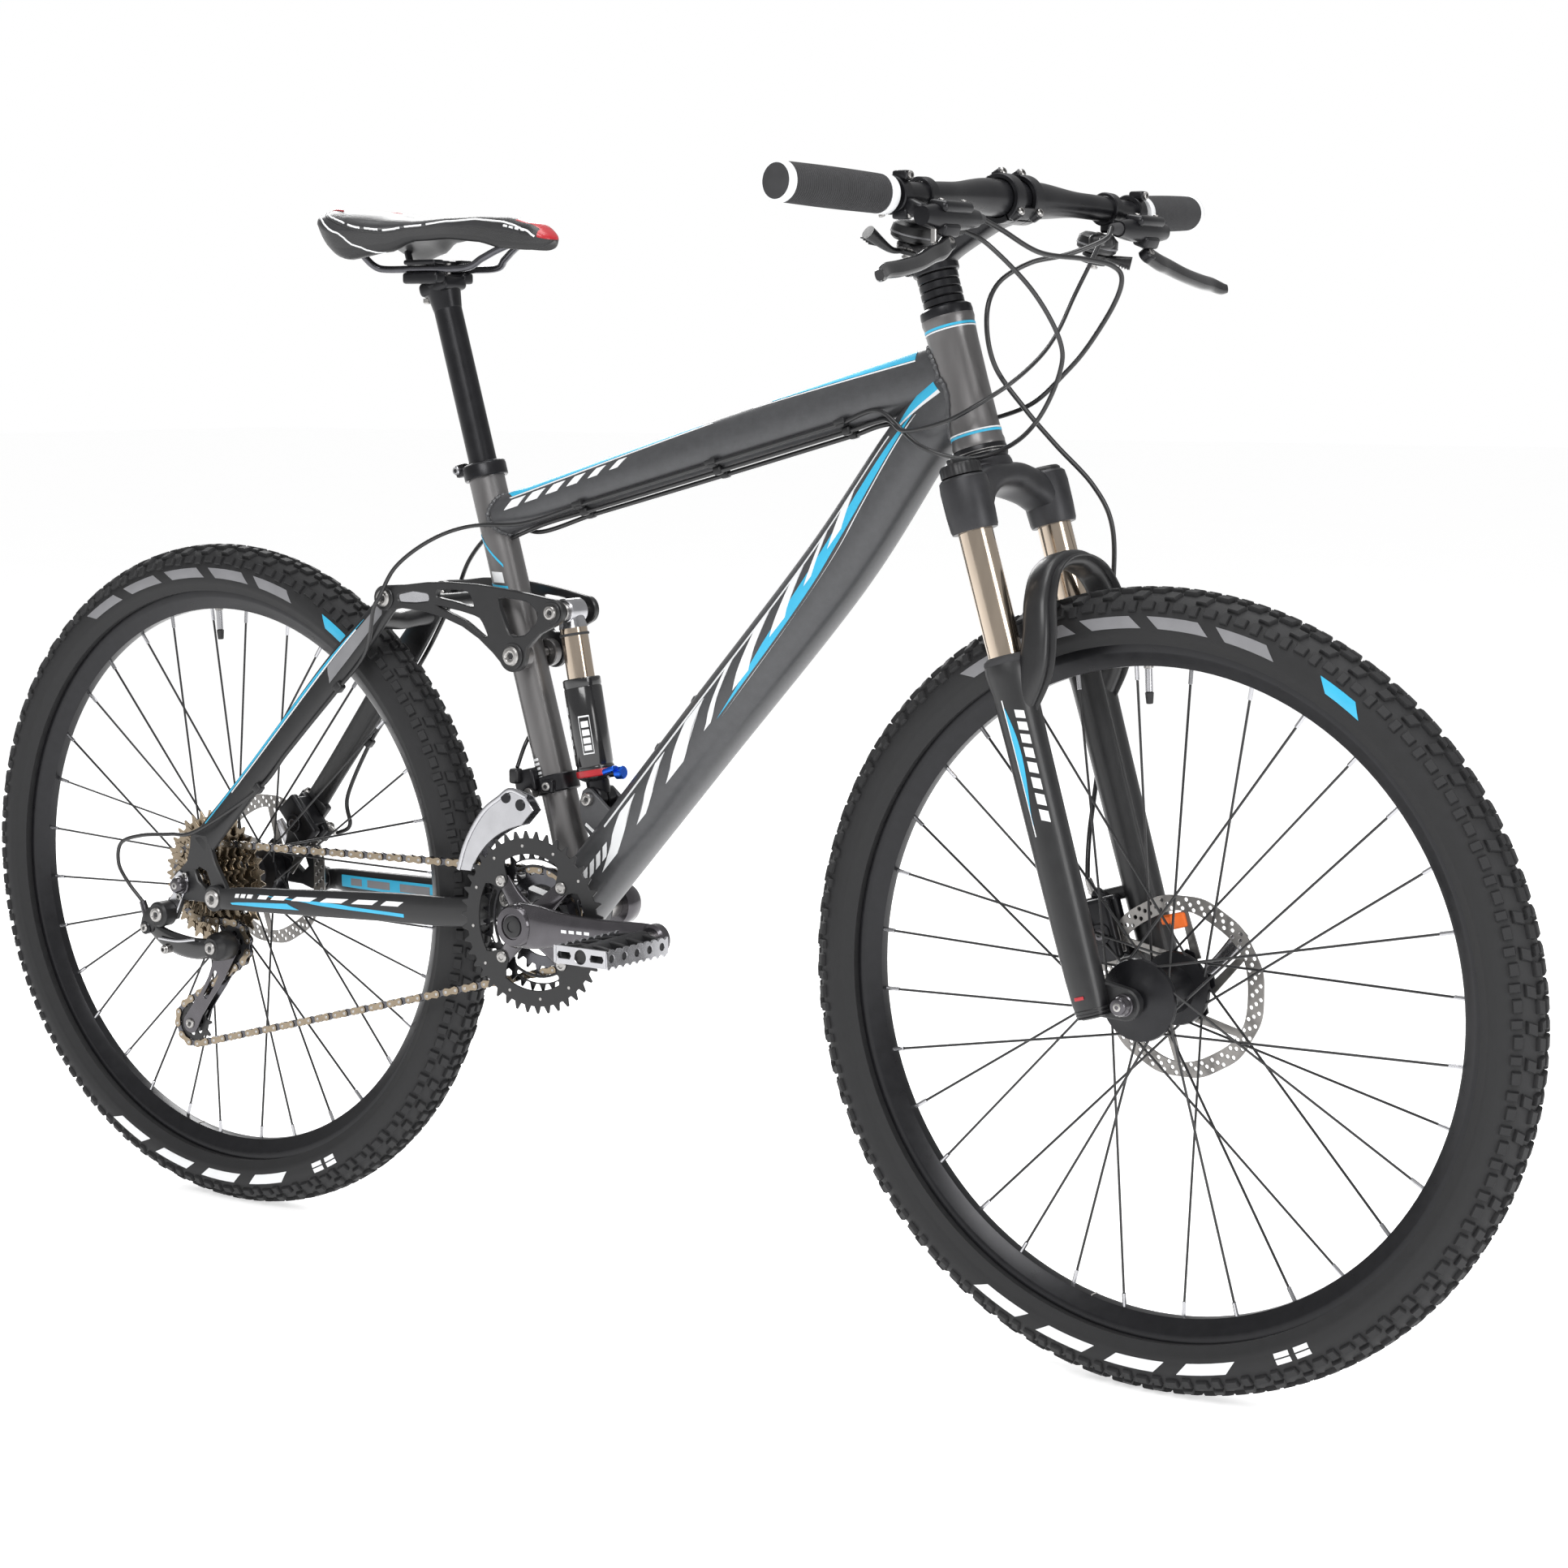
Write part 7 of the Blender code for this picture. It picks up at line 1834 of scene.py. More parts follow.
def crank_arm(shape, side):
    end = crank_end(side)
    out = (end - BB).normalized()
    path = [shift_y(BB + out * reach, side * y) for reach,
        y in ((-0.004, 0.0745), (0.022, 0.0765), (0.055, 0.0775), (0.105, 0.079), (0.153, 0.0808),
        (0.171, 0.0815))]
    sizes = [(0.017, 0.043), (0.0185, 0.042), (0.0165, 0.032), (0.014, 0.027), (0.014, 0.0285),
        (0.0135, 0.024)]
    Form(path, sizes, 2.5, 8).body(shape, GLOSS, 56, 40)
    shape.pin(end, side * 0.074, side * 0.0878, 0.0146, GLOSS, 48, 0.0025)
    hub = toward((0, side, 0), shift_y(BB, side * 0.065))
    shape.lathe([(0.0, 0.0), (0.02, 0.0), (0.0215, 0.004), (0.021, 0.018), (0.0185, 0.0225),
        (0.0125, 0.023), (0.012, 0.0215), (0.0, 0.0215)], hub, GLOSS, 64)
    shape.bolt(shift_y(BB, side * 0.0865), (0, side, 0), 0.0105, 0.0018, PLASTIC)
    shape.pin(end, side * 0.087, side * 0.096, 0.008, STEEL, 24)
    shape.pin(end, side * 0.087, side * 0.184, 0.0052, STEEL, 20)
    for k in range(4):
        point = BB + out * (0.062 + 0.009 * k)
        shape.box(shift_y(point, side * (0.0862 - 0.0002 * k)), (0.0062, 0.0008, 0.003), WHITE, None,
            0.0002, 1)


def ring_bolts(shape):
    for degrees in SPIDER:
        x, z = tip(OUTER_BOLTS, degrees)
        arm = [flat(BB.x, BB.z, -0.059), flat(BB.x + (x - BB.x) * 0.55, BB.z + (z - BB.z) * 0.55, -0.058),
            flat(x, z, -0.0545)]
        Form(arm, [(0.018, 0.03), (0.01, 0.019), (0.0054, 0.0155)], 2.4, 8).body(shape, GLOSS, 20, 28)
        shape.rod((x, -0.0604, z), (x, -0.0486, z), 0.0044, STEEL, 20)
        cap_bolt(shape, (x, -0.0592, z), (0, -1, 0), 0.0058, 0.0022)
        x, z = tip(INNER_BOLTS, degrees)
        shape.rod((x, -0.056, z), (x, -0.0411, z), 0.0042, STEEL, 16)


def cranks():
    shape = Shape(GLOSS)
    crank_arm(shape, RIGHT)
    ring_bolts(shape)
    shape.pin(BB, -0.07, -0.045, 0.019, GLOSS, 48)
    shape.piece("right_crank_arm_and_spider", "crank", "grey_alloy", ("crank_right",), 36)
    shape = Shape(GLOSS)
    crank_arm(shape, LEFT)
    shape.pin(BB, -0.086, 0.07, 0.012, STEEL, 40)
    shape.piece("left_crank_arm_and_axle", "crank", "grey_alloy", ("crank_left",), 36)


PEDAL_INNER = 0.097
PEDAL_OUTER = 0.19
PEDAL_HALF_LENGTH = 0.0295


def moved(outline, centre):
    return [(centre.x + x, centre.z + z) for x, z in outline]


def pedal_cage(shape, centre, side, sign):
    """A silver plate along the pedal's edge, with holes and a toothed lower edge."""
    low = PEDAL_INNER + 0.002
    high = PEDAL_OUTER
    count = 9
    step = (high - low) / count
    outline = [(low, 0.0085)]
    for k in range(count):
        base = low + step * k
        outline += [(base + step * 0.2, 0.0085), (base + step * 0.5, 0.0062), (base + step * 0.8, 0.0085)]
    outline += [(high, 0.0085), (high, -0.007)]
    for k in range(count):
        base = high - step * k
        outline += [(base - step * 0.15, -0.007), (base - step * 0.5, -0.0098), (base - step * 0.85, -0.007)]
    outline += [(low, -0.007)]
    holes = [hole((low + (high - low) * (k + 0.5) / 5, 0.0004), 0.0036, 16) for k in range(5)]
    turn = Matrix(((0, 1, 0, centre.x + sign * (PEDAL_HALF_LENGTH - 0.001)), (side, 0, 0, 0),
        (0, 0, 1, centre.z), (0, 0, 0, 1)))
    shape.plate([outline] + holes, -0.0011, 0.0011, SILVER, 0.0003, turn)


def pedal(side, label):
    centre = crank_end(side)
    shape = Shape(PLASTIC)
    low, high = side * PEDAL_INNER, side * (PEDAL_OUTER - 0.003)
    shape.pin(centre, low, high, 0.0112, PLASTIC, 32, 0.0015, 0.0098)
    for k in range(4):
        y = side * (PEDAL_INNER + 0.009 + 0.023 * k)
        web = [(-0.0284, -0.006), (-0.0284, 0.0062), (-0.01, 0.0092), (0.01, 0.0092), (0.0284, 0.0062),
            (0.0284, -0.006), (0.01, -0.009), (-0.01, -0.009)]
        shape.plate([moved(web, centre)], y - 0.003, y + 0.003, PLASTIC, 0.0008)
    for sign in (-1, 1):
        shape.box((centre.x + sign * 0.0255, side * (PEDAL_INNER + 0.0465), centre.z),
            (0.004, 0.086, 0.011), PLASTIC, None, 0.001, 2)
        pedal_cage(shape, centre, side, sign)
    end = [(-0.0305, 0.006), (-0.029, 0.0085), (0.029, 0.0085), (0.0305, 0.006), (0.0305, -0.006),
        (0.029, -0.008), (0.006, -0.008), (-0.029, -0.008), (-0.0305, -0.006)]
    outline = moved(end, centre)
    opening = [(0.012, 0.003), (0.025, 0.003), (0.0265, 0.0), (0.025, -0.003), (0.012, -0.003), (0.0105, 0.0)]
    other = moved([(-x, z) for x, z in opening], centre)
    opening = moved(opening, centre)
    low, high = sorted((side * (PEDAL_OUTER - 0.0008), side * (PEDAL_OUTER - 0.003)))
    shape.plate([outline, hole(centre, 0.0066), opening, other], low, high, SILVER, 0.0003)
    shape.pin(centre, side * (PEDAL_OUTER - 0.0075), side * (PEDAL_OUTER - 0.0036), 0.007, BLACK, 24)
    shape.piece(f"{label}_platform_pedal", f"{label}_pedal", "silver_alloy", (f"pedal_{label}",), 36)


def cassette():
    shape = Shape(NICKEL)
    for index, teeth in enumerate(COG_TEETH):
        y = COG_FIRST_Y + COG_STEP * index
        middle = pitch_radius(teeth)
        phase = math.pi / 2 + (0.13 if teeth == CHAIN_COG else 0.37 * index)
        outlines = [toothed(REAR_AXLE, teeth, phase), hole(REAR_AXLE, 0.0168, 48)]
        if middle > 0.04:
            for first in range(9 * index, 360 + 9 * index, 60):
                outlines.append(slot(REAR_AXLE, 0.0245, middle - 0.0105, first, first + 36, 6))
        shape.plate(outlines, y - 0.0009, y + 0.0009, NICKEL, 0.0003)
        shape.ring(REAR_AXLE, y + 0.0009, y + COG_STEP - 0.0009, 0.0168, 0.02, DARK_STEEL, 48, 0.0002)
    lock = shift_y(REAR_AXLE, COG_FIRST_Y - 0.0022)
    shape.collar(lock, shift_y(REAR_AXLE, COG_FIRST_Y - 0.0009), 0.011, 0.0185, STEEL, 48, 0.0004)
    shape.piece("cassette_sprockets", "cassette", "chain_steel", ("cassette",), 36)


def front_derailleur():
    axis = SEAT_AXIS
    centre = SEAT_FOOT + axis * ((0.476 - SEAT_FOOT.z) / axis.z)
    shape = Shape(ANODISED)
    shape.collar(centre - axis * 0.0085, centre + axis * 0.0085, SEAT_TUBE_RADIUS + GAP, 0.0216, ANODISED,
        64, 0.0012)
    shape.box(centre + Vector((-0.0205, -0.019, 0.003)), (0.025, 0.015, 0.023), ANODISED, turn_y(-0.25),
        0.0035, 3)
    shape.box(centre + Vector((-0.029, -0.027, 0.008)), (0.011, 0.011, 0.015), PLASTIC, None, 0.003, 3)
    shape.rod(centre + Vector((-0.013, -0.029, -0.008)), centre + Vector((-0.013, -0.018, -0.008)), 0.0055,
        STEEL, 24)
    shape.bolt(centre + Vector((0.006, -0.0235, 0.0)), (0.2, -1, 0), 0.0042, 0.003)
    shape.box(centre + Vector((0.006, -0.0205, 0.0)), (0.014, 0.007, 0.013), ANODISED, None, 0.002, 3)
    shape.piece("front_derailleur_clamp", "frame", "black_alloy", ("front_derailleur_body",))
    crown = [(-0.004, 0.456), (-0.014, 0.468), (-0.033, 0.473), (-0.048, 0.464), (-0.065, 0.452),
        (-0.08, 0.434), (-0.0915, 0.414), (-0.1, 0.3905)]
    inner_edge = arc(BB, 0.0925, 154, 102, 10)
    outline = crown + inner_edge
    shape = Shape(SILVER)
    shape.plate([outline], -0.0378, -0.0364, SILVER, 0.0004)
    shape.plate([outline], -0.0496, -0.048, SILVER, 0.0005)
    rib = [(x + 0.0012, z + 0.0006) for x, z in crown[1:]]
    path = [flat(x, z, -0.0496) for x, z in rib]
    Form(path, [(0.003, 0.005)] * len(path), 2.2, 6).body(shape, SILVER, 36, 16)
    shape.box((-0.033, -0.0425, 0.459), (0.027, 0.013, 0.011), SILVER, turn_y(0.1), 0.003, 3)
    shape.rod((-0.083, -0.049, 0.419), (-0.083, -0.0368, 0.419), 0.0024, STEEL, 16)
    for x, z in ((-0.038, 0.466), (-0.02, 0.46)):
        shape.rod((x, -0.036, z), (x, -0.051, z), 0.0056, ANODISED, 32, 0.0006)
    shape.piece("front_derailleur_fin", "front_cage", "silver_alloy", ("front_derailleur_cage",), 36)


def upper_knuckle():
    """The knuckle on the hanger bolt, its adjuster and the fixed end of the links."""
    shape = Shape(PLASTIC)
    shape.pin(HANGER_BOLT, -0.0755, -0.0935, 0.013, PLASTIC, 48, 0.002)
    cap_bolt(shape, shift_y(HANGER_BOLT, -0.0935), (0, -1, 0), 0.0078)
    path = [flat(-0.472, 0.315, -0.086), flat(-0.485, 0.309, -0.0865), flat(-0.491, 0.299, -0.087)]
    Form(path, [(0.017, 0.024), (0.016, 0.022), (0.014, 0.018)], 2.5, 8).body(shape, PLASTIC, 24, 28)
    shape.rod((-0.489, -0.095, 0.3), (-0.489, -0.079, 0.3), 0.007, ANODISED, 32, 0.001)
    cap_bolt(shape, (-0.489, -0.095, 0.3), (0, -1, 0), 0.0044, 0.002)
    barrel = Vector((-0.493, -0.087, 0.311))
    shape.rod(barrel, barrel + Vector((-0.006, 0.0, 0.015)), 0.0042, GLOSS, 20, 0.0006, 0.0036)
    shape.piece("derailleur_hanger_knuckle", "seatstay", "black_alloy", ("derailleur_b_knuckle",), 36)


def lower_knuckle():
    """The outer link, the spring housing and the cable anchor."""
    shape = Shape(PLASTIC)
    place = toward((0, -1, 0), shift_y(GUIDE_PULLEY, -0.052))
    profile = [(0.0, 0.0), (0.014, 0.0), (0.0148, 0.002), (0.0148, 0.016), (0.0135, 0.021), (0.0105, 0.024),
        (0.01, 0.0262), (0.0, 0.0262)]
    shape.lathe(profile, place, PLASTIC, 56)
    cap_bolt(shape, shift_y(GUIDE_PULLEY, -0.0782), (0, -1, 0), 0.0066, 0.0024)
    for y, lift in ((-0.087, 0.005), (-0.076, -0.002)):
        path = [flat(-0.486, 0.296 + lift, y), flat(-0.465, 0.284 + lift, y + 0.003),
            flat(-0.438, 0.28 + lift * 0.4, y + 0.009), flat(-0.414, 0.284, y + 0.013)]
        look = GLOSS_PLASTIC if lift > 0 else PLASTIC
        Form(path, [(0.006, 0.014), (0.0075, 0.02), (0.0085, 0.022), (0.007, 0.016)], 2.6, 8).body(shape,
            look, 32, 28)
    shape.rod((-0.465, -0.091, 0.279), (-0.465, -0.079, 0.279), 0.0048, STEEL, 28, 0.0008)
    shape.bolt((-0.465, -0.0905, 0.279), (0, -1, 0), 0.004, 0.0025)
    rim = [flat(-0.472, 0.2905, -0.0915), flat(-0.45, 0.289, -0.0875), flat(-0.428, 0.292, -0.083)]
    Form(rim, [(0.0016, 0.003)] * 3, 2.2, 8).body(shape, SILVER, 20, 12)
    shape.piece("derailleur_outer_link", "derailleur_knuckle", "black_alloy", ("derailleur_p_knuckle",), 36)


def cage_outline():
    """A curved cage plate with an offset nose at each pulley."""
    run = Vector((TENSION_PULLEY.x - GUIDE_PULLEY.x, TENSION_PULLEY.z - GUIDE_PULLEY.z)).normalized()
    side = Vector((-run.y, run.x))
    length = (TENSION_PULLEY - GUIDE_PULLEY).length
    heading = math.degrees(math.atan2(run.y, run.x))
    points = []
    for centre, radius, first, edge in ((GUIDE_PULLEY, 0.013, 90,
            ((0.25, -0.01), (0.45, -0.0062), (0.65, -0.006), (0.82, -0.0085))),
            (TENSION_PULLEY, 0.0105, -90, ((0.82, 0.009), (0.65, 0.01), (0.45, 0.012), (0.25, 0.013)))):
        points += [polar(centre, radius, math.radians(heading + first + 20 * k)) for k in range(10)]
        points += [(GUIDE_PULLEY.x + run.x * length * share + side.x * off,
            GUIDE_PULLEY.z + run.y * length * share + side.y * off) for share, off in edge]
    return points


def derailleur_cage():
    shape = Shape(GLOSS)
    window = []
    run = TENSION_PULLEY - GUIDE_PULLEY
    for share, off in ((0.34, 0.0045), (0.5, 0.0055), (0.66, 0.0045), (0.66, -0.0015), (0.5, -0.0015),
            (0.34, -0.0035)):
        point = GUIDE_PULLEY + run * share
        side = Vector((-run.z, 0, run.x)).normalized()
        window.append((point.x + side.x * off, point.z + side.z * off))
    shape.plate([cage_outline(), round_corners(window)], -0.0512, -0.0496, GLOSS, 0.0004)
    shape.plate([cage_outline()], -0.0407, -0.0393, DARK_STEEL, 0.0004)
    for point in (GUIDE_PULLEY, TENSION_PULLEY):
        shape.pin(point, -0.05, -0.0396, 0.0031, STEEL, 24)
    cap_bolt(shape, shift_y(TENSION_PULLEY, -0.0512), (0, -1, 0), 0.0054, 0.0022)
    shape.pin(GUIDE_PULLEY, -0.052, -0.0505, 0.011, PLASTIC, 40)
    shape.piece("derailleur_cage_plates", "derailleur_cage", "black_alloy", ("derailleur_cage",), 36)


def guide_wheel(point, body, label):
    shape = Shape(PLASTIC)
    outlines = [toothed(point, PULLEY_TEETH, 0.4), hole(point, 0.0045, 24)]
    outlines += [slot(point, 0.009, 0.014, 60 * k, 60 * k + 34, 4) for k in range(6)]
    shape.plate(outlines, CHAIN_REAR_Y - 0.0011, CHAIN_REAR_Y + 0.0011, PLASTIC, 0.0003)
    shape.ring(point, CHAIN_REAR_Y - 0.0034, CHAIN_REAR_Y + 0.0034, 0.0033, 0.0068, STEEL, 32, 0.0005)
    shape.piece(label, body, "plastic", (body,), 36)


# --- chain ---------------------------------------------------------------------------------

def chain_route():
    """The chain's path as runs and wraps: (name, points spaced finely) in order."""
    wheels = [(BB, pitch_radius(CHAIN_RING)), (TENSION_PULLEY, pitch_radius(PULLEY_TEETH)),
        (GUIDE_PULLEY, -pitch_radius(PULLEY_TEETH)), (REAR_AXLE, pitch_radius(CHAIN_COG))]
    touches = []
    for i, (a, r0) in enumerate(wheels):
        b, r1 = wheels[(i + 1) % 4]
        span = math.hypot(b.x - a.x, b.z - a.z)
        heading = math.atan2(b.z - a.z, b.x - a.x)
        touches.append(heading + math.pi / 2 - math.asin((r0 - r1) / span))
    names = (("ring_wrap", "lower_run"), ("tension_wrap", "cage_run"), ("guide_wrap", "guide_run"),
        ("sprocket_wrap", "upper_run"))
    route = []
    for i, (centre, radius) in enumerate(wheels):
        first, last = touches[i - 1], touches[i]
        sweep = (last - first) % TAU
        if radius > 0:
            sweep -= TAU
        wrap = [polar(centre, radius, first + sweep * k / 48) for k in range(49)]
        route.append((names[i][0], wrap))
        following, next_radius = wheels[(i + 1) % 4]
        route.append((names[i][1], [wrap[-1], polar(following, next_radius, last)]))
    return route


def chain_pins():
    """Pins at even steps along the route, each with the name of the stretch that it lies on."""
    marks = []
    walked = 0.0
    for name, points in chain_route():
        for a, b in zip(points, points[1:]):
            length = math.hypot(b[0] - a[0], b[1] - a[1])
            if length > 1e-9:
                marks.append((walked, walked + length, a, b, name))
            walked += length
    count = 2 * round(walked / CHAIN_PITCH / 2)
    pins = []
    for k in range(count):
        place = walked * k / count
        for low, high, a, b, name in marks:
            if low <= place < high:
                t = (place - low) / (high - low)
                pins.append((Vector((a[0] + (b[0] - a[0]) * t, 0.0, a[1] + (b[1] - a[1]) * t)), name))
                break
    return pins


def chain_y(x):
    """The chain drifts sideways between its ring and its sprocket."""
    share = min(1.0, max(0.0, x / CHAIN_DRIFT_END))
    return CHAIN_FRONT_Y + (CHAIN_REAR_Y - CHAIN_FRONT_Y) * share


def link_plate(shape, a, b, y, look):
    """A waisted plate from pin to pin."""
    run = (b - a).normalized()
    side = Vector((-run.z, 0, run.x))
    half = (b - a).length / 2
    middle = (a + b) / 2
    outline = [(-half - 0.0038, 0.0), (-half - 0.003, 0.0026), (-half, 0.004), (-half + 0.0028, 0.0034),
        (0.0, 0.0026), (half - 0.0028, 0.0034), (half, 0.004), (half + 0.003, 0.0026), (half + 0.0038, 0.0)]
    outline += [(x, -z) for x, z in outline[-2:0:-1]]
    rings = []
    for offset in (-0.0004, 0.0004):
        rings.append([middle + run * x + side * z + sideways(chain_y(middle.x) + y + offset) for x,
            z in outline])
    shape.sections(rings, look)


CHAIN_DRIFT_END = -0.44
# The body of each chain piece; for a piece between two bodies, the second body and two x positions, which are
# passed on unused: such a piece hangs on no body and is not bent
CHAIN_PIECES = {
    "ring_wrap": ("frame", None),
    "upper_run_front": ("frame", "chainstay", -0.005, -0.2),
    "upper_run_rear": ("chainstay", "seatstay", -0.2, -0.44),
    "sprocket_wrap": ("seatstay", None),
    "guide_run": ("seatstay", "derailleur_knuckle"),
    "guide_wrap": ("derailleur_knuckle", None),
    "cage_run": ("derailleur_knuckle", "derailleur_cage"),
    "tension_wrap": ("derailleur_cage", None),
    "lower_run_front": ("frame", "chainstay", -0.01, -0.21),
    "lower_run_middle": ("chainstay", "seatstay", -0.21, -0.36),
    "lower_run_rear": ("seatstay", "derailleur_knuckle", -0.36, -0.41),
    "lower_run_end": ("derailleur_knuckle", "derailleur_cage", -0.41, -0.47),
}


def stretch_of(name, x):
    """The chain piece that a link belongs to."""
    labels = [label for label in CHAIN_PIECES if label.startswith(name)]
    for label in labels[:-1]:
        if x > CHAIN_PIECES[label][-1]:
            return label
    return labels[-1]


def chain():
    pins = chain_pins()
    count = len(pins)
    shapes = {name: Shape(NICKEL) for name in CHAIN_PIECES}
    spans = {name: [] for name in CHAIN_PIECES}
    for k, (a, name) in enumerate(pins):
        b = pins[(k + 1) % count][0]
        middle = (a + b) / 2
        label = stretch_of(name, middle.x)
        shape = shapes[label]
        spans[label].append(middle)
        gap = 0.0027 if k % 2 else 0.0017
        for sign in (-1, 1):
            link_plate(shape, a, b, sign * gap, NICKEL if k % 2 else DARK_STEEL)
        y = chain_y(a.x)
        shape.pin(a, y - 0.0034, y + 0.0034, 0.0017, STEEL, 10, 0.0003)
        shape.pin(a, y - 0.0012, y + 0.0012, 0.0037, DARK_STEEL, 14, 0.0003)
    for label, shape in shapes.items():
        body, far_body, *ends = CHAIN_PIECES[label]
        stands = ("chain",) if label == "ring_wrap" else ()
        obj = shape.piece(f"chain_{label}", None if far_body else body, "chain_steel", stands)
        if not far_body:
            continue
        first, last = spans[label][0], spans[label][-1]
        if ends:
            start, end = [flat(x, first.z, CHAIN_FRONT_Y) for x in ends]
        else:
            start, end = last.lerp(first, 0.45 if label == "guide_run" else 0.0), first
        across_blend(obj, body, far_body, start, end)


def drive():
    cranks()
    chainrings()
    for side, label in SIDE_LABELS:
        pedal(side, label)
    cassette()
    front_derailleur()
    upper_knuckle()
    lower_knuckle()
    derailleur_cage()
    guide_wheel(GUIDE_PULLEY, "guide_pulley", "upper_guide_wheel")
    guide_wheel(TENSION_PULLEY, "tension_pulley", "lower_tension_wheel")
    chain()


# --- cables --------------------------------------------------------------------------------

HOSE = 0.0022
HOUSING = 0.002
FIRST_LANE = 214
LANE_STEP = 24
ON_STAY = -62
TOP_TUBE_SLOPE = turn_y(-0.27)
STAY_SLOPE = turn_y(0.74)
CLIP_SHARES = (0.8, 0.52, 0.21)


def under_top_tube(share, lane, lift=0.004):
    """A point on one of three lanes below the top tube."""
    return TOP_TUBE.at(share, math.radians(FIRST_LANE + LANE_STEP * lane), lift)


def cable(name, points, radius, per, bodies, start, end):
    """A cable as a piece that hangs on no body."""
    shape = Shape(CABLE)
    shape.tube(smooth_path(points, per), radius, CABLE, 14)
    across_blend(shape.piece(name, None, "plastic"), *bodies, start, end)


def front_loop(name, lane, points, radius):
    """A cable from the bar past the head tube to the first clip."""
    ends = [under_top_tube(share, lane) for share in (0.88, CLIP_SHARES[0])]
    cable(name, points + ends, radius, 14, ("steering", "frame"), (0.53, 0.0, 0.965), (0.415, 0.0, 0.83))


def lane_run(shape, lane, radius, last):
    shares = [0.8 + (last - 0.8) * k / 10 for k in range(11)]
    shape.tube([under_top_tube(share, lane) for share in shares], radius, CABLE, 12)


def stay_point(side, share, lift):
    """A point on the line that a cable follows along one seatstay."""
    return seatstay_form(side).at(share, math.radians(side_angle(side, ON_STAY)), lift)


def stay_cable(side, last):
    """Points from the rocker's rear bolt down the front of one seatstay."""
    points = [shift_y(ROCKER_REAR, side * 0.058), ROCKER_REAR + Vector((-0.008, side * 0.057, -0.012))]
    share = 0.84
    while share > last:
        points.append(stay_point(side, share, 0.003))
        share -= 0.14
    return points


def rear_arc(name, side, lane, radius):
    """The cable's bridge from the top tube to the rocker's rear bolt."""
    start = under_top_tube(CLIP_SHARES[2], lane)
    points = [start, under_top_tube(0.08, lane) + Vector((0, side * 0.004, -0.001)),
        flat(-0.095, 0.722, side * 0.03), flat(-0.135, 0.708, side * 0.042),
        flat(-0.17, 0.682, side * 0.0535), shift_y(ROCKER_REAR, side * 0.058)]
    cable(name, points, radius, 12, ("frame", "rocker"), (-0.06, 0.0, 0.72), (-0.185, 0.0, 0.656))


def stay_clips(shape, side, shares):
    for share in shares:
        shape.box(stay_point(side, share, 0.002), (0.009, 0.009, 0.01), PLASTIC, STAY_SLOPE, 0.002, 3)


def rear_cables():
    rear_arc("shift_cable_arc", RIGHT, 0, HOUSING)
    rear_arc("brake_hose_arc", LEFT, 2, HOSE)
    shape = Shape(CABLE)
    loop = stay_cable(RIGHT, 0.16) + [(-0.418, -0.086, 0.406), (-0.452, -0.09, 0.4), (-0.49, -0.094, 0.396),
        (-0.519, -0.0955, 0.386), (-0.525, -0.0945, 0.364), (-0.515, -0.091, 0.344),
        (-0.499, -0.087, 0.3255)]
    shape.tube(smooth_path(loop, 10), HOUSING, CABLE, 14)
    stay_clips(shape, RIGHT, (0.7, 0.28))
    shape.piece("shift_cable_on_seatstay", "seatstay", "plastic")
    shape = Shape(CABLE)
    hose = stay_cable(LEFT, 0.3) + [(-0.35, 0.064, 0.43), (-0.348, 0.0645, 0.4), (-0.366, 0.0643, 0.3895)]
    shape.tube(smooth_path(hose, 10), HOSE, CABLE, 14)
    stay_clips(shape, LEFT, (0.7, 0.42))
    shape.piece("brake_hose_on_seatstay", "seatstay", "plastic")


def in_seat_tube(height, behind=0.0, side=0.0):
    """A point on the seat tube's axis, or that far behind it."""
    on_axis = SEAT_FOOT + SEAT_AXIS * ((height - SEAT_FOOT.z) / SEAT_AXIS.z)
    return on_axis + Vector((-behind, side, 0.0))


def frame_cables():
    shape = Shape(CABLE)
    for lane, radius in ((0, HOUSING), (1, HOUSING), (2, HOSE)):
        lane_run(shape, lane, radius, CLIP_SHARES[2])
    into = [under_top_tube(CLIP_SHARES[2], 1), under_top_tube(0.11, 1), in_seat_tube(0.705)]
    out = [in_seat_tube(0.54), in_seat_tube(0.515, SEAT_TUBE_RADIUS + 0.004, -0.006),
        flat(-0.044, 0.492, -0.025)]
    for points in (into, out):
        shape.tube(smooth_path(points, 10), HOUSING, CABLE, 12)
    for share in CLIP_SHARES:
        for lane in range(3):
            shape.box(under_top_tube(share, lane, 0.003), (0.009, 0.008, 0.008), PLASTIC, TOP_TUBE_SLOPE,
                0.0022, 3)
    shape.piece("cables_on_frame", "frame", "plastic")


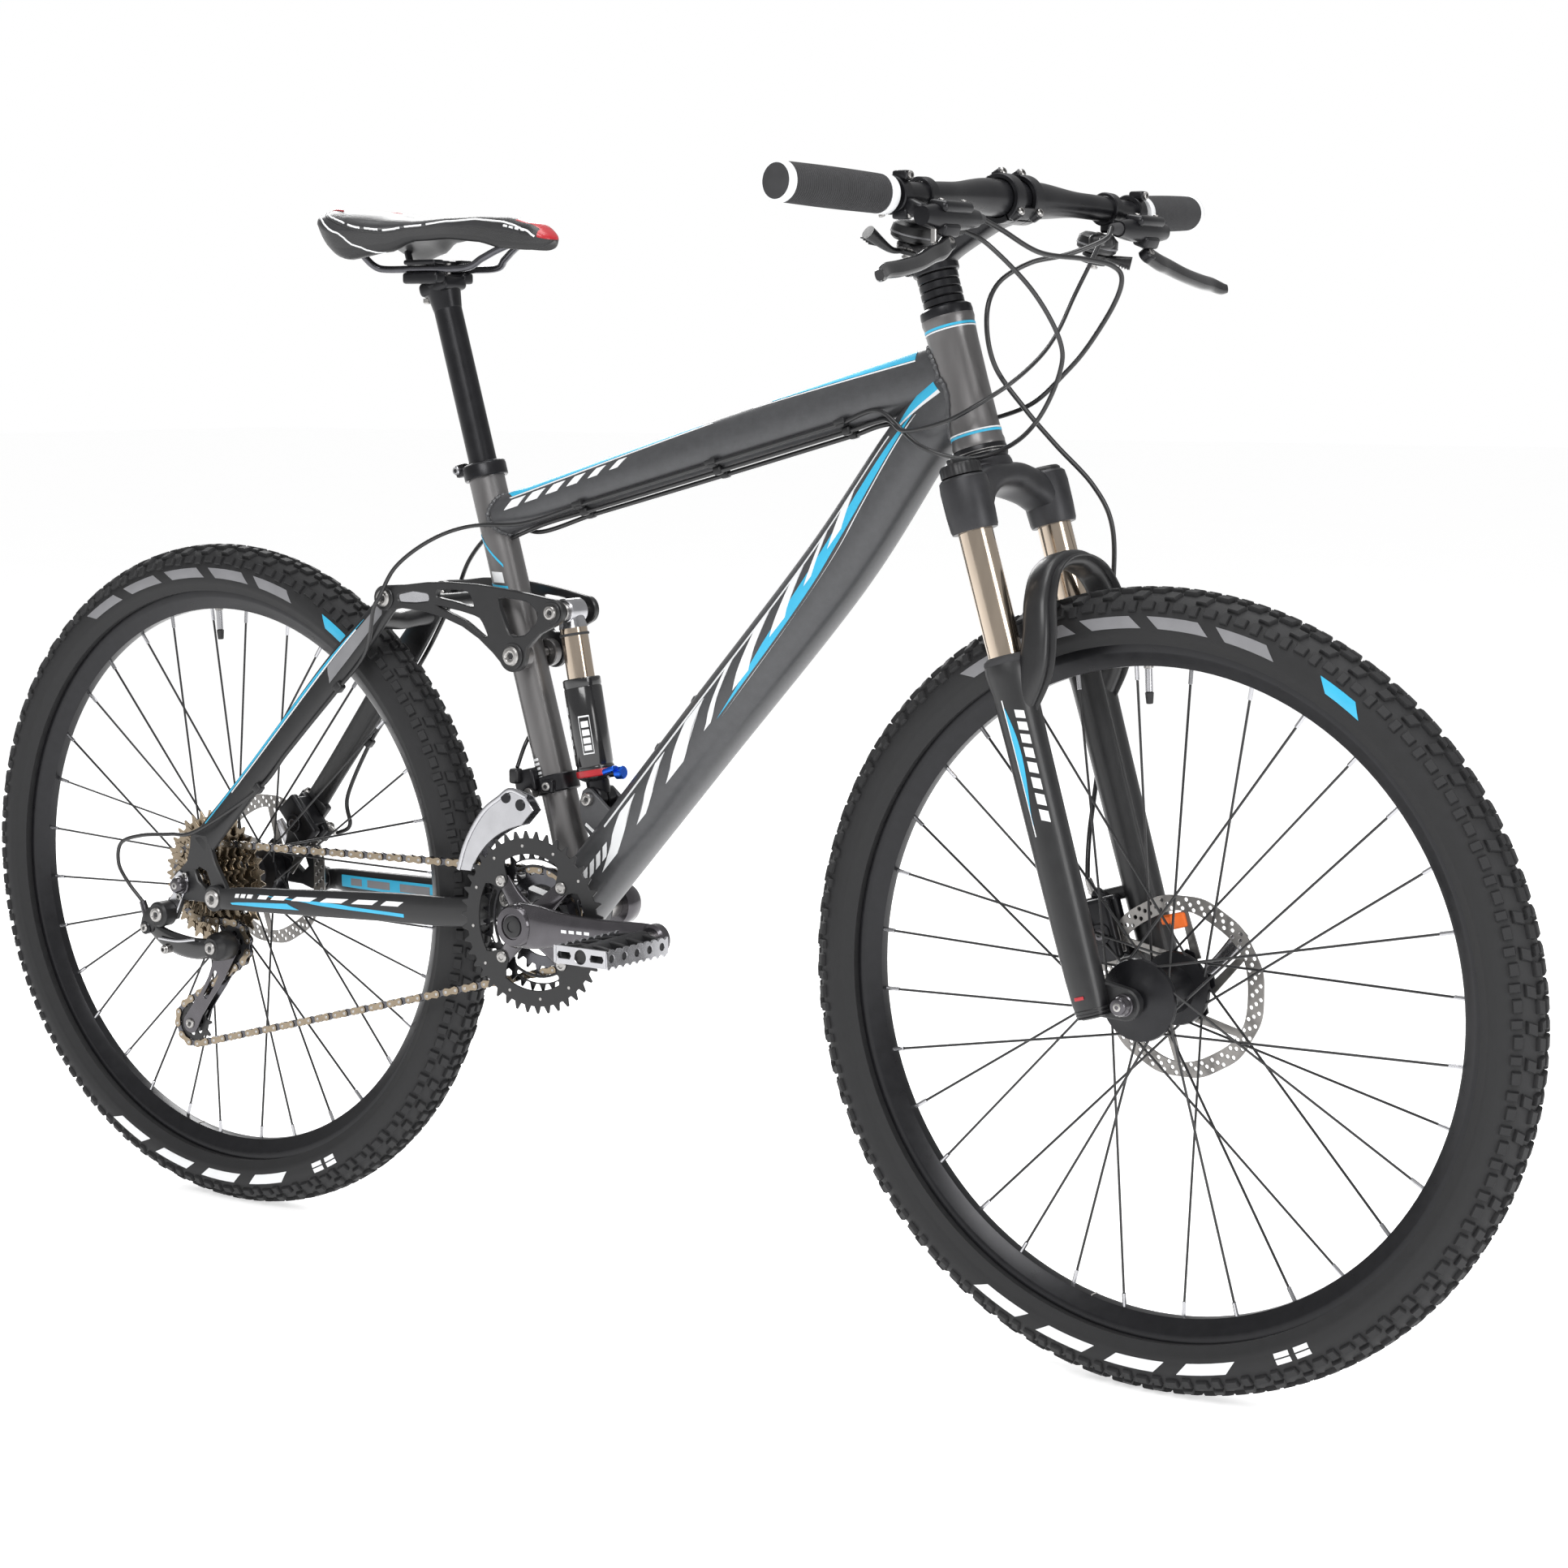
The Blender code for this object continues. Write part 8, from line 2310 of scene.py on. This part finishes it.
def front_cables():
    front_loop("shift_cable_loop_right", 0, [(0.513, -0.114, 0.985), (0.53, -0.1, 0.972),
        (0.5474, -0.06, 0.936), (0.5589, -0.035, 0.8961), (0.5563, -0.03, 0.8683), (0.536, -0.03, 0.83),
        (0.5, -0.02, 0.806), (0.464, -0.031, 0.796), (0.423, -0.04, 0.807)], HOUSING)
    front_loop("shift_cable_loop_left", 1, [(0.513, 0.114, 0.985), (0.51, 0.1, 0.964), (0.505, 0.08, 0.934),
        (0.507, 0.05, 0.904), (0.507, 0.02, 0.882), (0.498, -0.012, 0.86), (0.478, -0.036, 0.841),
        (0.4498, -0.042, 0.827), (0.408, -0.04, 0.819)], HOUSING)
    front_loop("rear_brake_hose_loop", 2, [(0.527, -0.1055, 0.9934), (0.533, -0.085, 0.985),
        (0.542, -0.04, 0.968), (0.5545, 0.01, 0.964), (0.564, 0.042, 0.959), (0.566, 0.056, 0.948),
        (0.556, 0.06, 0.926), (0.5357, 0.052, 0.891), (0.5185, 0.043, 0.8681), (0.49, 0.039, 0.843),
        (0.45, 0.038, 0.829), (0.405, 0.032, 0.82)], HOSE)
    points = [(0.527, 0.1055, 0.9934), (0.529, 0.09, 0.983), (0.511, 0.06, 0.97), (0.49, 0.03, 0.962),
        (0.474, 0.004, 0.944), (0.472, -0.01, 0.915), (0.478, -0.006, 0.875), (0.494, 0.018, 0.838),
        (0.509, 0.045, 0.807), (0.529, 0.075, 0.772), (0.54, 0.09, 0.738), (0.54, 0.0945, 0.69),
        steer(0.195, 0.018, 0.093), steer(0.28, -0.008, 0.087), steer(0.345, -0.03, 0.076),
        steer(0.382, -0.033, 0.06), steer(0.393, -0.029, 0.0522)]
    cable("front_brake_hose", points, HOSE, 12, ("steering", "lower_fork"), steer(-0.06), steer(0.21))
    shape = Shape(PLASTIC)
    shape.box(steer(0.28, -0.006, 0.0845), (0.012, 0.008, 0.014), PLASTIC, LEAN, 0.002, 3)
    shape.piece("front_hose_clip", "lower_fork", "plastic")


def cables():
    frame_cables()
    rear_cables()
    front_cables()


# --- stage ---------------------------------------------------------------------------------

FLOOR_HALF = 30.0
LENS = 73.07
CAMERA_AT = Vector((1.9215, -2.3496, 0.8762))
CAMERA_AZIMUTH = math.radians(35.386)
CAMERA_ELEVATION = math.radians(7.519)


def aimed(name, data, place, direction):
    obj = add_object(name, data)
    obj.location = place
    obj.rotation_mode = "QUATERNION"
    obj.rotation_quaternion = direction.to_track_quat("-Z", "Y")
    return obj


def camera():
    data = bpy.data.cameras.new("camera")
    data.lens = LENS
    data.sensor_width = 36.0
    back = Vector((math.sin(CAMERA_AZIMUTH) * math.cos(CAMERA_ELEVATION),
        -math.cos(CAMERA_AZIMUTH) * math.cos(CAMERA_ELEVATION), math.sin(CAMERA_ELEVATION)))
    bpy.context.scene.camera = aimed("camera", data, CAMERA_AT + TO_FRAME, -back)


def area_light(name, place, target, size, power):
    data = bpy.data.lights.new(name, "AREA")
    data.shape = "RECTANGLE"
    data.size = size[0]
    data.size_y = size[1]
    data.energy = power
    aimed(name, data, place, Vector(target) - Vector(place))


def floor():
    """A pale floor that meets the ground line of the tyres."""
    mesh = bpy.data.meshes.new("floor")
    corners = [(x * FLOOR_HALF, y * FLOOR_HALF, 0) for x, y in ((-1, -1), (1, -1), (1, 1), (-1, 1))]
    mesh.from_pydata(corners, [], [(0, 1, 2, 3)])
    pale = surface("pale_floor", (0.86, 0.86, 0.86), 0.75, 0.0, 0.01, 40.0, 0.0)
    shader = pale.node_tree.nodes["Principled BSDF"]
    set_inputs(shader, Emission_Color=(1.0, 1.0, 1.0, 1.0), Emission_Strength=0.62)
    mesh.materials.append(pale)
    add_object("floor", mesh)


def studio_world():
    """Soft white surroundings that look paler to the camera than the light they give."""
    world = bpy.data.worlds.new("studio")
    world.use_nodes = True
    tree = world.node_tree
    background = tree.nodes["Background"]
    seen = add_node(tree, "LightPath")
    strength = add_node(tree, "MapRange", To_Min=0.42, To_Max=1.0)
    tree.links.new(seen.outputs["Is Camera Ray"], strength.inputs["Value"])
    tree.links.new(strength.outputs["Result"], background.inputs["Strength"])
    set_inputs(background, Color=(1.0, 1.0, 1.0, 1.0))
    bpy.context.scene.world = world


def stage():
    studio_world()
    bpy.context.scene.view_settings.view_transform = "Standard"
    floor()
    area_light("key", (1.4, -3.4, 3.4), (0.0, 0.0, 0.5), (2.6, 1.6), 105)
    area_light("overhead", (0.2, 0.2, 3.6), (0.0, 0.0, 0.5), (3.0, 1.6), 70)
    area_light("rim_light", (-2.6, 2.2, 2.4), (0.0, 0.0, 0.6), (2.0, 1.2), 60)
    area_light("front_fill", (3.8, -0.6, 1.2), (0.3, 0.0, 0.6), (1.2, 1.8), 40)
    camera()


main_frame()
headset()
seat()
wheels()
fork()
cockpit()
suspension()
drive()
cables()
stage()
